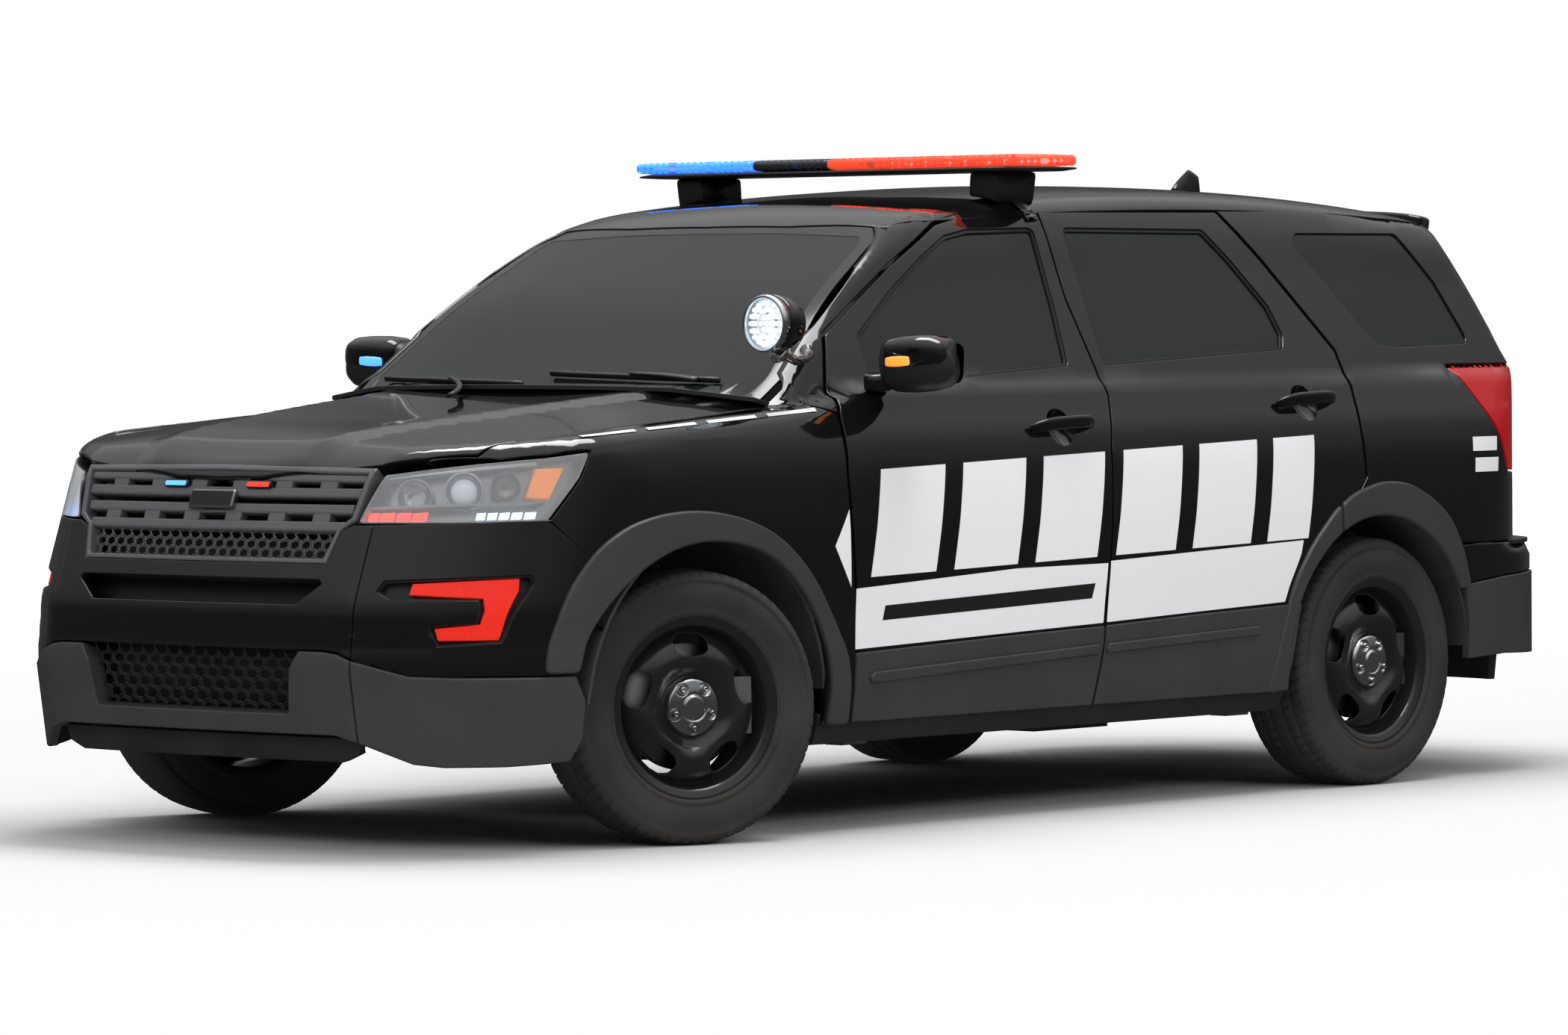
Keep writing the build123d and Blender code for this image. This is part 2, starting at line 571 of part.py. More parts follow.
def grown_box(box, gap):
    """A box with all of its faces moved outwards."""
    low, high = box.bounding_box().min, box.bounding_box().max
    return block(low.X - gap, high.X + gap, low.Y - gap, high.Y + gap, low.Z - gap, high.Z + gap)


lamp_inside = out(TAIL_LAMP_INNER_SHARE)
lamp_cut = side_prism(TAIL_LAMP_SHARES, lamp_inside, BODY_WIDTH) - gate_hole
lamp_hole = side_prism(TAIL_LAMP_SHARES, lamp_inside - SEAT_GAP, BODY_WIDTH, SEAT_GAP)
tail_lamp = (outer - form[DOOR_WALL]) & lamp_cut
fender = skin_shell & left_half & side_cut(FENDER_SHARES)
fender = fender - hood_hole - front_arch - head_cut_wide - front_opening - grown_box(cowl_box, SEAT_GAP)
fender -= block(0, out(LAMP_INNER_SHARE), -LENGTH, along(LAMP_NOSE_SHARE), 0, BODY_HEIGHT)
fender -= block(0, out(SILL_SHARE), -LENGTH, LENGTH, 0, up(SILL_TOP_SHARE))
fender -= side_cut(BODY_SIDE_SHARES, SEAT_GAP)
headlamp = ((outer - form[DOOR_WALL]) & head_cut) - hood_hole
nose_shell = outer - form[BUMPER_WALL]
nose_region = side_prism(NOSE_REGION_SHARES, -BODY_WIDTH, BODY_WIDTH, -PANEL_GAP)
grille_cut = front_prism(mirrored(GRILLE_SHARES), -LENGTH, -LENGTH / 3)
skid_cut = front_prism(mirrored(SKID_SHARES), -LENGTH, -LENGTH / 3)
lower_cut = front_prism(mirrored(LOWER_GRILLE_SHARES), -LENGTH, -LENGTH / 3)
slot_cut = front_prism(mirrored(SLOT_SHARES), -LENGTH, -LENGTH / 3)
fog_cut = front_prism(FOG_SHARES, -LENGTH, -LENGTH / 3)
nose_floor = block(-HALF, HALF, along(BUMPER_BACK_SHARE), -LENGTH / 4, 0, up(BUMPER_FOOT_SHARE))

clear_form = body_block(-SEAT_GAP)


def shrunk(shares, closed=True):
    """A front outline a seat's gap smaller than its hole."""
    outline = mirrored(shares) if closed else shares
    return front_prism(outline, -LENGTH, -LENGTH / 3, -SEAT_GAP)


def bumper_front():
    bumper = nose_shell & nose_region
    for hole in (head_cut_wide, mirror(head_cut_wide, about=Plane.YZ), grille_cut, skid_cut, slot_cut,
                 fog_cut, mirror(fog_cut, about=Plane.YZ), front_arch, mirror(front_arch, about=Plane.YZ),
                 hood_hole):
        bumper -= hole
    return bumper - nose_floor


def grille():
    """Mesh in its three openings, with the bars of the upper one standing on it."""
    mesh = form[SKIN] - form[BUMPER_WALL]
    bars = form[GLASS_INSET] - form[SKIN]
    upper = mesh & shrunk(GRILLE_SHARES)
    for share in BAR_SHARES:
        slab = block(-HALF, HALF, -LENGTH, -LENGTH / 3, up(share), up(share + BAR_HEIGHT_SHARE))
        upper += bars & shrunk(GRILLE_SHARES) & slab
    upper -= hood_hole
    return upper + (mesh & shrunk(SLOT_SHARES)) + (mesh & shrunk(LOWER_GRILLE_SHARES))


def turned_wheel(axial):
    """Round profile turned about the axle of a wheel whose outer side faces +X."""
    return revolve(Plane.XZ * axial, axis=Axis((0, 0, 0), (1, 0, 0)))


def tyre():
    bead, wall = RIM_WIDTH / 2 - SEAT_GAP, TYRE_WIDTH / 2
    inner, lip = RIM_RADIUS + SEAT_GAP, RIM_RADIUS + FLANGE_HEIGHT + SEAT_GAP
    middle, shoulder = (lip + TYRE_RADIUS) / 2, TYRE_RADIUS - SHOULDER_DROP
    edge, tread = wall - SHOULDER_INSET, wall - TREAD_INSET
    left = ThreePointArc((-edge, shoulder), (-wall, middle), (-bead, lip))
    base = Polyline((-bead, lip), (-bead, inner), (bead, inner), (bead, lip))
    right = ThreePointArc((bead, lip), (wall, middle), (edge, shoulder))
    top = Polyline((edge, shoulder), (tread, TYRE_RADIUS), (-tread, TYRE_RADIUS), (-edge, shoulder))
    return turned_wheel(make_face([left, base, right, top]))


def rim():
    """Steel wheel with its hub, brake disc and centre cap."""
    half, well, inner = RIM_WIDTH / 2, RIM_RADIUS, RIM_RADIUS - RIM_WALL
    lip = RIM_RADIUS + FLANGE_HEIGHT
    barrel = Polygon(
        (-half - FLANGE_WIDTH, lip), (-half, lip), (-half, well), (half, well), (half, lip),
        (half + FLANGE_WIDTH, lip), (half + FLANGE_WIDTH, inner + RIM_WALL / 2), (half, inner),
        (-half, inner), (-half - FLANGE_WIDTH, inner + RIM_WALL / 2), align=None)
    plate = Polygon(
        (HUB_BACK, SPINDLE_RADIUS), (HUB_BACK, BRAKE_DISC_RADIUS),
        (HUB_BACK + BRAKE_DISC_WIDTH, BRAKE_DISC_RADIUS), (HUB_BACK + BRAKE_DISC_WIDTH, BELL_RADIUS),
        (HUB_FACE - PLATE_WALL, BELL_RADIUS), (PLATE_CROWN - 2 * PLATE_WALL, HUB_CAP_RADIUS + 2 * PLATE_WALL),
        (PLATE_CROWN - PLATE_WALL, WINDOW_INNER), (PLATE_CROWN - PLATE_WALL, WINDOW_OUTER - PLATE_WALL),
        (PLATE_FOOT - PLATE_WALL, inner + RIM_WALL / 2), (PLATE_FOOT, inner + RIM_WALL / 2),
        (PLATE_CROWN, WINDOW_OUTER - PLATE_WALL), (PLATE_CROWN, WINDOW_INNER),
        (HUB_FACE, HUB_CAP_RADIUS), (HUB_FACE, 0), (HUB_FACE - PLATE_WALL, 0),
        (HUB_FACE - PLATE_WALL, SPINDLE_RADIUS), align=None)
    wheel = turned_wheel(barrel) + turned_wheel(plate)
    tall, wide = WINDOW_OUTER - WINDOW_INNER, WINDOW_WIDTH
    face = Plane.YZ.offset(HUB_FACE - PLATE_WALL) * Pos(0, (WINDOW_OUTER + WINDOW_INNER) / 2)
    window = extrude(face * RectangleRounded(wide, tall, tall / 3), amount=HALF, dir=(1, 0, 0))
    for turn in range(WHEEL_WINDOWS):
        wheel -= Rot(turn * 360 / WHEEL_WINDOWS, 0, 0) * window
    foot, edge = HUB_FACE, HUB_CAP_DEPTH / 3
    dome = Polygon(
        (foot, 0), (foot, HUB_CAP_RADIUS), (foot + edge, HUB_CAP_RADIUS),
        (foot + HUB_CAP_DEPTH, HUB_CAP_RADIUS - HUB_CAP_DEPTH), (foot + HUB_CAP_DEPTH, 0), align=None)
    return wheel + turned_wheel(dome)


def upright():
    """Hub carrier with its spindle, kingpins and brake caliper, drawn about the wheel's middle."""
    eye = KNUCKLE_REACH
    body = block(-POST_DEPTH, POST_DEPTH, -POST_WIDTH, POST_WIDTH, SEAT_GAP - eye, eye - SEAT_GAP)
    body += rod((0, 0, -eye - EYE_HEIGHT), (0, 0, eye + EYE_HEIGHT), KINGPIN_RADIUS - RUNNING_FIT)
    body += rod((0, 0, 0), (HUB_BACK - SEAT_GAP, 0, 0), SPINDLE_RADIUS + POST_DEPTH)
    body += rod((0, 0, 0), (HUB_FACE - PLATE_WALL - SEAT_GAP, 0, 0), SPINDLE_RADIUS - RUNNING_FIT)
    return body + caliper()


def caliper():
    """Block that straddles the rear edge of the brake disc, on an arm from the hub carrier."""
    top, deep = CALIPER_HEIGHT / 2, HUB_BACK - CALIPER_GAP
    front = HUB_BACK + BRAKE_DISC_WIDTH + CALIPER_GAP
    jaw = block(deep - CALIPER_WALL, front + CALIPER_WALL, CALIPER_INNER, CALIPER_OUTER, -top, top)
    jaw -= rod((deep, 0, 0), (front, 0, 0), BRAKE_DISC_RADIUS + CALIPER_GAP)
    return jaw + block(-POST_DEPTH / 2, deep, 0, CALIPER_INNER + CALIPER_WALL, -top / 2, top / 2)


def steered(piece, side):
    return Pos(side * WHEEL_X, FRONT_AXLE, TYRE_RADIUS) * Rot(0, 0, STEER_ANGLE) * piece


def handed(piece, side):
    return piece if side > 0 else mirror(piece, about=Plane.YZ)


def cross_arm(x, y, low):
    """Flat arm from the middle of the car out to a hub carrier."""
    return block(min(x, 0), max(x, 0), y - ARM_HALF, y + ARM_HALF, low, low + EYE_HEIGHT)


def front_subframe():
    """Cross member with the lower arms, whose eyes hold the kingpins."""
    low = TYRE_RADIUS - KNUCKLE_REACH - EYE_HEIGHT
    top = ENGINE_FLOOR - SEAT_GAP
    beam = block(-BEAM_HALF, BEAM_HALF, FRONT_AXLE - BEAM_DEPTH, FRONT_AXLE + BEAM_DEPTH, low, top)
    for side in (1, -1):
        x = side * WHEEL_X
        eye = rod((x, FRONT_AXLE, low), (x, FRONT_AXLE, low + EYE_HEIGHT), 2 * KINGPIN_RADIUS)
        arm = cross_arm(x, FRONT_AXLE, low)
        hole = rod((x, FRONT_AXLE, 0), (x, FRONT_AXLE, low + 2 * EYE_HEIGHT), KINGPIN_RADIUS)
        beam = beam + arm + eye - hole
    return beam


def front_struts():
    """Struts that hang from the wheel houses and hold the tops of the kingpins."""
    low = TYRE_RADIUS + KNUCKLE_REACH
    reach = FRONT_ARCH_RADIUS - SEAT_GAP - LINER_WALL
    top = TYRE_RADIUS + (reach ** 2 - STRUT_RADIUS ** 2) ** 0.5 - SEAT_GAP
    eye = rod((WHEEL_X, FRONT_AXLE, low), (WHEEL_X, FRONT_AXLE, low + EYE_HEIGHT), 2 * KINGPIN_RADIUS)
    foot = block(STRUT_X, WHEEL_X, FRONT_AXLE - ARM_HALF / 2, FRONT_AXLE + ARM_HALF / 2,
                 low, low + EYE_HEIGHT)
    tube = rod((STRUT_X, FRONT_AXLE, low), (STRUT_X, FRONT_AXLE, top), STRUT_RADIUS)
    hole = rod((WHEEL_X, FRONT_AXLE, 0), (WHEEL_X, FRONT_AXLE, low + 2 * EYE_HEIGHT), KINGPIN_RADIUS)
    return eye + foot + tube - hole


def rear_axle():
    """Beam, final drive and hub carriers of the rear wheels."""
    low = TYRE_RADIUS - KNUCKLE_REACH
    beam = rod((-WHEEL_X, REAR_AXLE, TYRE_RADIUS), (WHEEL_X, REAR_AXLE, TYRE_RADIUS), AXLE_RADIUS)
    front, back = REAR_AXLE - BEAM_DEPTH, REAR_AXLE + BEAM_DEPTH
    beam += rod((0, front, TYRE_RADIUS), (0, back, TYRE_RADIUS), DRIVE_RADIUS)
    beam += block(-BEAM_HALF, BEAM_HALF, front, back, low, TYRE_RADIUS)
    rail_low = up(LOAD_SHARE) - RAIL_WIDTH - SEAT_GAP
    seat = block(RAIL_X, BEAM_HALF, REAR_AXLE - ARM_HALF, REAR_AXLE + ARM_HALF, low, rail_low)
    for side in (1, -1):
        beam += handed(seat, side)
        post = block(-POST_DEPTH, POST_DEPTH, -POST_WIDTH, POST_WIDTH, -KNUCKLE_REACH, KNUCKLE_REACH)
        post += rod((0, 0, 0), (HUB_BACK - SEAT_GAP, 0, 0), SPINDLE_RADIUS + POST_DEPTH)
        post += rod((0, 0, 0), (HUB_FACE - PLATE_WALL - SEAT_GAP, 0, 0), SPINDLE_RADIUS - RUNNING_FIT)
        beam += Pos(side * WHEEL_X, REAR_AXLE, TYRE_RADIUS) * handed(post + caliper(), side)
        x = side * WHEEL_X
        beam += cross_arm(x, REAR_AXLE, low)
    return beam


def liner(axle_y, radius, inner_x):
    """Wheel house: half a drum over the wheel, closed on its inner side."""
    start, end = (inner_x, axle_y, TYRE_RADIUS), (HALF, axle_y, TYRE_RADIUS)
    drum = rod(start, end, radius - SEAT_GAP)
    drum -= rod((inner_x + LINER_WALL, axle_y, TYRE_RADIUS), end, radius - SEAT_GAP - LINER_WALL)
    drum -= block(0, BODY_WIDTH, -LENGTH, LENGTH, 0, TYRE_RADIUS + AXLE_RADIUS + SHUT_GAP)
    return drum & form[GLASS_INSET]


def floor_pan():
    """Floor, sill rails, front rails, bulkhead and raised load floor, welded together."""
    wide, low = out(SILL_SHARE) - SHUT_GAP - SEAT_GAP, up(FLOOR_SHARE)
    front, kick, back = along(BULKHEAD_SHARE), along(KICK_SHARE), along(LOAD_END_SHARE)
    floor = block(-wide, wide, front, kick, low, low + SHEET)
    floor += block(-wide, wide, front, front + SHEET, low, up(BULKHEAD_TOP_SHARE))
    floor += block(-LOAD_HALF, LOAD_HALF, kick - SHEET, kick, low, up(LOAD_SHARE))
    floor += block(-LOAD_HALF, LOAD_HALF, kick - SHEET, back, up(LOAD_SHARE) - SHEET, up(LOAD_SHARE))
    for side in (1, -1):
        sill = block(wide - SILL_WIDTH, wide, front, kick, low, low + SILL_HEIGHT)
        rail = block(RAIL_X, RAIL_X + RAIL_WIDTH, along(RAIL_START_SHARE), front, ENGINE_FLOOR,
                     ENGINE_FLOOR + RAIL_WIDTH)
        top = up(LOAD_SHARE)
        load = block(RAIL_X, RAIL_X + RAIL_WIDTH, kick - SHEET, back, top - RAIL_WIDTH, top)
        for x_share, y_share in JACK_SHARES:
            x, y = out(x_share), along(y_share)
            pad = block(x - JACK_WIDTH / 2, x + JACK_WIDTH / 2, y - JACK_LENGTH / 2, y + JACK_LENGTH / 2,
                        low - JACK_DROP, low + SHEET)
            floor += handed(pad, side)
        start, tie = along(SUPPORT_SHARE), up(TIE_SHARE)
        post = block(RAIL_X, RAIL_X + SHEET, start, start + SHEET, ENGINE_FLOOR, tie)
        for piece in (sill, rail, load, post, hood_buffer(start + SHEET / 2, tie)):
            floor += handed(piece, side)
    return floor + block(-RAIL_X - SHEET, RAIL_X + SHEET, start, start + SHEET, tie - SHEET, tie)


def hood_buffer(y, low):
    """Stop on the radiator support that the closed hood rests on."""
    stop = rod((RAIL_X, y, low - SHEET), (RAIL_X, y, low + BODY_HEIGHT / 4), BUFFER_RADIUS)
    return (stop - Pos(0, 0, -SEAT_GAP) * hood).solids().sort_by(Axis.Z)[0]


def seats():
    """Two front seats and the rear bench."""
    rows = []
    low = up(FLOOR_SHARE) + SHEET + SEAT_GAP
    for x, half, y in SEAT_PLACES:
        cushion = block(x - half, x + half, y - SEAT_DEPTH, y, low, low + SEAT_HEIGHT)
        back = block(x - half, x + half, y - SEAT_BACK, y, low + SEAT_HEIGHT, low + SEAT_HEIGHT + BACK_HEIGHT)
        rest = block(x - half / 2, x + half / 2, y - SEAT_BACK, y, low + SEAT_HEIGHT, up(HEADREST_SHARE))
        rows.append(cushion + back + rest)
    return Compound(children=rows)


def dashboard():
    """Dashboard across the cabin, with the steering column and wheel."""
    front, back = along(BULKHEAD_SHARE) + SHEET + SEAT_GAP, along(DASH_SHARE)
    half, low, top = DASH_HALF, up(DASH_FLOOR_SHARE), up(DASH_TOP_SHARE)
    dash = block(-half, half, front, back, low, top)
    centre = (STEERING_X, back + COLUMN_LENGTH, top - COLUMN_DROP)
    foot = (STEERING_X, front + SHEET, top - 2 * COLUMN_DROP)
    dash += rod(foot, centre, COLUMN_RADIUS)
    axis = Vector(*centre) - Vector(*foot)
    plane = Plane(origin=centre, z_dir=axis)
    dash += plane * Torus(STEERING_RADIUS, COLUMN_RADIUS / 2)
    dash += plane * Box(2 * STEERING_RADIUS, COLUMN_RADIUS * 2, COLUMN_RADIUS)
    return dash


def light_bar():
    """Roof light bar on two feet, with straps down to the roof's edge."""
    middle, deep = along(LIGHT_BAR_SHARE), LIGHT_BAR_DEPTH / 2
    low, top = LIGHT_BAR_TOP - LIGHT_BAR_HEIGHT, LIGHT_BAR_TOP
    plan = Plane.XY.offset(low) * Pos(0, middle) * RectangleRounded(LIGHT_BAR_LENGTH, 2 * deep, deep / 2)
    bar = extrude(plan, amount=LIGHT_BAR_HEIGHT, dir=(0, 0, 1))
    for side in (1, -1):
        foot = block(FOOT_X, FOOT_X + FOOT_WIDTH, middle - deep / 2, middle + deep / 2,
                     low - FOOT_HEIGHT, low)
        strap = Polygon((FOOT_X, low), (FOOT_X, low - STRAP_WALL), (STRAP_X, up(STRAP_TOP_SHARE)),
                        (STRAP_X, up(STRAP_LOW_SHARE)), (STRAP_X + STRAP_WALL, up(STRAP_LOW_SHARE)),
                        (STRAP_X + STRAP_WALL, up(STRAP_TOP_SHARE) + STRAP_WALL), align=None)
        strap = Plane.XZ.offset(-middle - STRAP_WIDTH / 2) * strap
        strap = extrude(strap, amount=STRAP_WIDTH, dir=(0, -1, 0))
        bar += handed(foot + strap, side)
    return bar - clear_form


def mirror_head():
    """Door mirror: rounded housing on a short arm."""
    x0, x1 = out(MIRROR_INNER_SHARE), MIRROR_SPAN / 2
    y, z = along(MIRROR_SHARE), up(MIRROR_HEIGHT_SHARE)
    head = Pos((x0 + x1) / 2, y, z) * Box(x1 - x0, MIRROR_DEPTH, MIRROR_HEIGHT)
    head = fillet(head.edges(), MIRROR_ROUND)
    arm = block(skin_x(z) - SKIN, x0 + MIRROR_ROUND, y - MIRROR_DEPTH / 4, y + MIRROR_DEPTH / 4,
                z - MIRROR_HEIGHT / 2 + MIRROR_ROUND / 2, z - MIRROR_HEIGHT / 8)
    return head + (arm - clear_form)


def spotlight():
    """Round spotlight at the foot of the driver's windscreen pillar."""
    x, y, z = out(SPOT_SHARE[0]), along(SPOT_SHARE[1]), up(SPOT_SHARE[2])
    lamp = rod((x, y, z), (x, y + SPOT_DEPTH / 2, z), SPOT_RADIUS)
    bowl = Sphere(SPOT_RADIUS) - Pos(0, -SPOT_RADIUS, 0) * Box(*[2 * SPOT_RADIUS] * 3)
    lamp += Pos(x, y + SPOT_DEPTH / 2, z) * bowl
    foot = (out(SPOT_FOOT_SHARE[0]), along(SPOT_FOOT_SHARE[1]), up(SPOT_FOOT_SHARE[2]))
    arm = rod((x, y + SPOT_DEPTH / 2, z - SPOT_RADIUS / 2), foot, SPOT_ARM_RADIUS) - clear_form
    return lamp + arm.solids().sort_by(Axis.Y)[0]


def antenna():
    """Fin on the rear of the roof."""
    fin = side_prism(FIN_SHARES, -FIN_WIDTH / 2, FIN_WIDTH / 2)
    return fin - clear_form


def exhaust():
    """Pipe and silencer below the floor."""
    low = up(FLOOR_SHARE) - PIPE_RADIUS - SEAT_GAP
    start, end = along(BULKHEAD_SHARE), along(SILENCER_SHARE)
    pipe = rod((EXHAUST_X, start, low), (EXHAUST_X, end, low), PIPE_RADIUS)
    return pipe + block(EXHAUST_X - SILENCER_HALF, EXHAUST_X + SILENCER_HALF, end, end + 3 * SILENCER_HALF,
                        low - PIPE_RADIUS, low + PIPE_RADIUS)


def liftgate():
    """Tail door with its spoiler, hollow behind the outer skin."""
    gate = (outer - form[DOOR_WALL]) & gate_cut
    gate -= front_prism(mirrored(GATE_WINDOW_SHARES), gate_start, LENGTH)
    plan = extrude(plan_face(SPOILER_PLAN_SHARES, -1), amount=2 * BODY_HEIGHT, dir=(0, 0, 1))
    width = out(SPOILER_WIDTH_SHARE)
    gate += side_prism(SPOILER_SHARES, -width, width) & plan
    return plate_pad(gate)


def plate_pad(gate):
    """Flat pad with two bolt holes, for a number plate, on the tail door."""
    back, z, half = along(GATE_SHARES[0][1]) + PLATE_PAD_PROUD, up(PLATE_SHARE), PLATE_PAD_WIDTH / 2
    low, top = z - PLATE_PAD_HEIGHT / 2, z + PLATE_PAD_HEIGHT / 2
    gate += block(-half, half, back - PLATE_PAD_DEPTH, back, low, top)
    for x in (-PLATE_BOLT_SPAN / 2, PLATE_BOLT_SPAN / 2):
        gate -= rod((x, back - PLATE_BOLT_DEPTH, z), (x, back + PLATE_BOLT_DEPTH, z), PLATE_BOLT_RADIUS)
    return gate


def rear_bumper():
    bumper = nose_shell & side_prism(TAIL_REGION_SHARES, -BODY_WIDTH, BODY_WIDTH, -PANEL_GAP)
    bumper -= block(-HALF, HALF, REAR_AXLE, along(BUMPER_TAIL_SHARE), 0, up(BUMPER_FOOT_SHARE))
    return bumper - rear_arch - mirror(rear_arch, about=Plane.YZ)


def cowl():
    """Panel between the hood and the windscreen, with two wiper arms on it."""
    return (skin_shell & cowl_box) - hood_hole - screen_cut


def roof_panel():
    return skin_shell & roof_box


def windscreen():
    return pane & front_prism(mirrored(SCREEN_WINDOW_SHARES), -LENGTH / 2, -LENGTH / 12, -SEAT_GAP)


def gate_glass():
    return pane & front_prism(mirrored(GATE_WINDOW_SHARES), gate_start, LENGTH, -SEAT_GAP)


def skid():
    piece = nose_shell & nose_region & shrunk(SKID_SHARES)
    return piece - lower_cut - nose_floor


def fog_lamp():
    return (form[GLASS_INSET] - form[BUMPER_WALL]) & nose_region & shrunk(FOG_SHARES, False)


def both(piece):
    """Two like pieces, left and right, in one node."""
    return Compound(children=[*piece.solids(), *mirror(piece, about=Plane.YZ).solids()])


write("hood", hood)
write("cowl", cowl())
write("roof_panel", roof_panel())
write("windscreen", windscreen())
write("front_bumper", bumper_front())
write("front_skid_plate", skid())
write("grille", grille())
write("headlamps", both(headlamp))
write("fog_lamps", both(fog_lamp()))
write("tail_lamps", both(tail_lamp))
write("quarter_glass", both(pane_in(side_cut(QUARTER_WINDOW_SHARES, -SEAT_GAP))))
write("rear_bumper", rear_bumper())
write("liftgate", liftgate())
write("liftgate_glass", gate_glass())
write("floor_pan", floor_pan())
write("wheel_houses", both(liner(FRONT_AXLE, FRONT_ARCH_RADIUS, FRONT_LINER_X)
                           + liner(REAR_AXLE, REAR_ARCH_RADIUS, REAR_LINER_X)))
write("front_subframe", front_subframe())
write("front_struts", both(front_struts()))
write("rear_axle", rear_axle())
write("exhaust", exhaust())
write("engine_block", block(-ENGINE_HALF, ENGINE_HALF, FRONT_AXLE - ENGINE_LENGTH / 2,
                            FRONT_AXLE + ENGINE_LENGTH / 2, ENGINE_FLOOR, ENGINE_FLOOR + ENGINE_HEIGHT))
write("seats", seats())
write("dashboard", dashboard())
write("light_bar", light_bar())
write("spotlight", spotlight())
write("roof_antenna", antenna())
left_pieces = {
    "body_side": body_side(),
    "fender": fender,
    "front_door": front_door(),
    "rear_door": rear_door(),
    "front_door_glass": pane_in(side_cut(FRONT_WINDOW_SHARES, -SEAT_GAP)),
    "rear_door_glass": pane_in(side_cut(REAR_WINDOW_SHARES, -SEAT_GAP)),
    "door_mirror": mirror_head(),
}
for name, piece in left_pieces.items():
    for hand, part in zip(("left", "right"), pair(piece)):
        write(f"{name}_{hand}", part)
for hand, side in (("left", 1), ("right", -1)):
    rear_place = Pos(side * WHEEL_X, REAR_AXLE, TYRE_RADIUS)
    write(f"front_hub_{hand}", steered(handed(upright(), side), side))
    for name, piece in (("tyre", tyre()), ("rim", rim())):
        write(f"front_{name}_{hand}", steered(handed(piece, side), side))
        write(f"rear_{name}_{hand}", rear_place * handed(piece, side))
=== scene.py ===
# %% [markdown]
# A police patrol car is a big utility car in gloss black paint, with dark plastic
# along its foot, tinted glass, plain steel wheels and warning lamps. Its solids come
# packed as a fixed frame, so every piece below is drawn where the frame says,
# in metres, with the nose towards -Y and the driver's side towards +X.

# %% Load the frame
import math
import bmesh
import bpy
import numpy as np
from mathutils import Matrix, Vector, geometry


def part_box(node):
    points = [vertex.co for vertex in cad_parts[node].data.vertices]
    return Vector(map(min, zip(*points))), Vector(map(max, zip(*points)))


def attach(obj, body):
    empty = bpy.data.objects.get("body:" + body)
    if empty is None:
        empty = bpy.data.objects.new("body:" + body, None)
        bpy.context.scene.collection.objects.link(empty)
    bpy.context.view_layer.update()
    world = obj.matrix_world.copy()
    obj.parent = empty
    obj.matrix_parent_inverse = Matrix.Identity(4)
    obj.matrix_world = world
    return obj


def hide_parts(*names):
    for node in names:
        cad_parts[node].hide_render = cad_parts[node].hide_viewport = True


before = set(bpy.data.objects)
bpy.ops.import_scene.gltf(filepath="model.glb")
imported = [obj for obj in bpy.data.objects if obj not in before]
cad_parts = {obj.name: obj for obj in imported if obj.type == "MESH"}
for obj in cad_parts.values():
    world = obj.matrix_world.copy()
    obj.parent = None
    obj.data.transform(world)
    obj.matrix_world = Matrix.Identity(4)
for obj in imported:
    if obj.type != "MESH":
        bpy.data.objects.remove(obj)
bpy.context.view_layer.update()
LEFT, RIGHT = 1, -1
HANDS = {LEFT: "left", RIGHT: "right"}

# %% [markdown]
# The camera stands far off, at headlamp height in front of the driver's side, with a
# long lens. Its place and turn were worked out from the wheels and the body's corners.

# %% Camera
CAMERA_PLACE = Vector((13.642, -15.041, 1.424))
CAMERA_AZIMUTH, CAMERA_ELEVATION, CAMERA_ROLL = 42.687, 1.749, -0.427
LENS, SENSOR, SHIFT = 162.118, 36.0, (0.0113, 0.0005)


def aimed_camera():
    """A camera that looks back along its azimuth and elevation, with a small roll."""
    a, e, r = (math.radians(v) for v in (CAMERA_AZIMUTH, CAMERA_ELEVATION, CAMERA_ROLL))
    back = Vector((math.sin(a) * math.cos(e), -math.cos(a) * math.cos(e), math.sin(e)))
    right = Vector((math.cos(a), math.sin(a), 0.0))
    up = back.cross(right)
    right, up = (right * math.cos(r) + up * math.sin(r), up * math.cos(r) - right * math.sin(r))
    data = bpy.data.cameras.new("photo_camera")
    data.lens, data.sensor_width = LENS, SENSOR
    data.shift_x, data.shift_y = SHIFT
    data.clip_end = 500.0
    camera = bpy.data.objects.new("photo_camera", data)
    turn = Matrix((right, up, back)).transposed()
    camera.matrix_world = Matrix.Translation(CAMERA_PLACE) @ turn.to_4x4()
    bpy.context.scene.collection.objects.link(camera)
    return camera


bpy.context.scene.camera = aimed_camera()
bpy.context.scene.view_settings.view_transform = "Standard"
print("camera at", tuple(CAMERA_PLACE))

# %% [markdown]
# The photograph's car stands on white paper, yet its gloss shows a dark studio with
# light from above. So the world is white for the eye and through glass, while gloss and
# diffuse light see a sky that brightens upwards. A shadow catcher keeps the shadow.

# %% Studio
WORLD_LIGHT = 1.0
FLOOR_SIZE = 60.0
# Brightness of the sky by the sine of its elevation
SKY = ((0.0, 0.05), (0.10, 0.07), (0.30, 0.22), (0.55, 0.60), (0.85, 0.95))


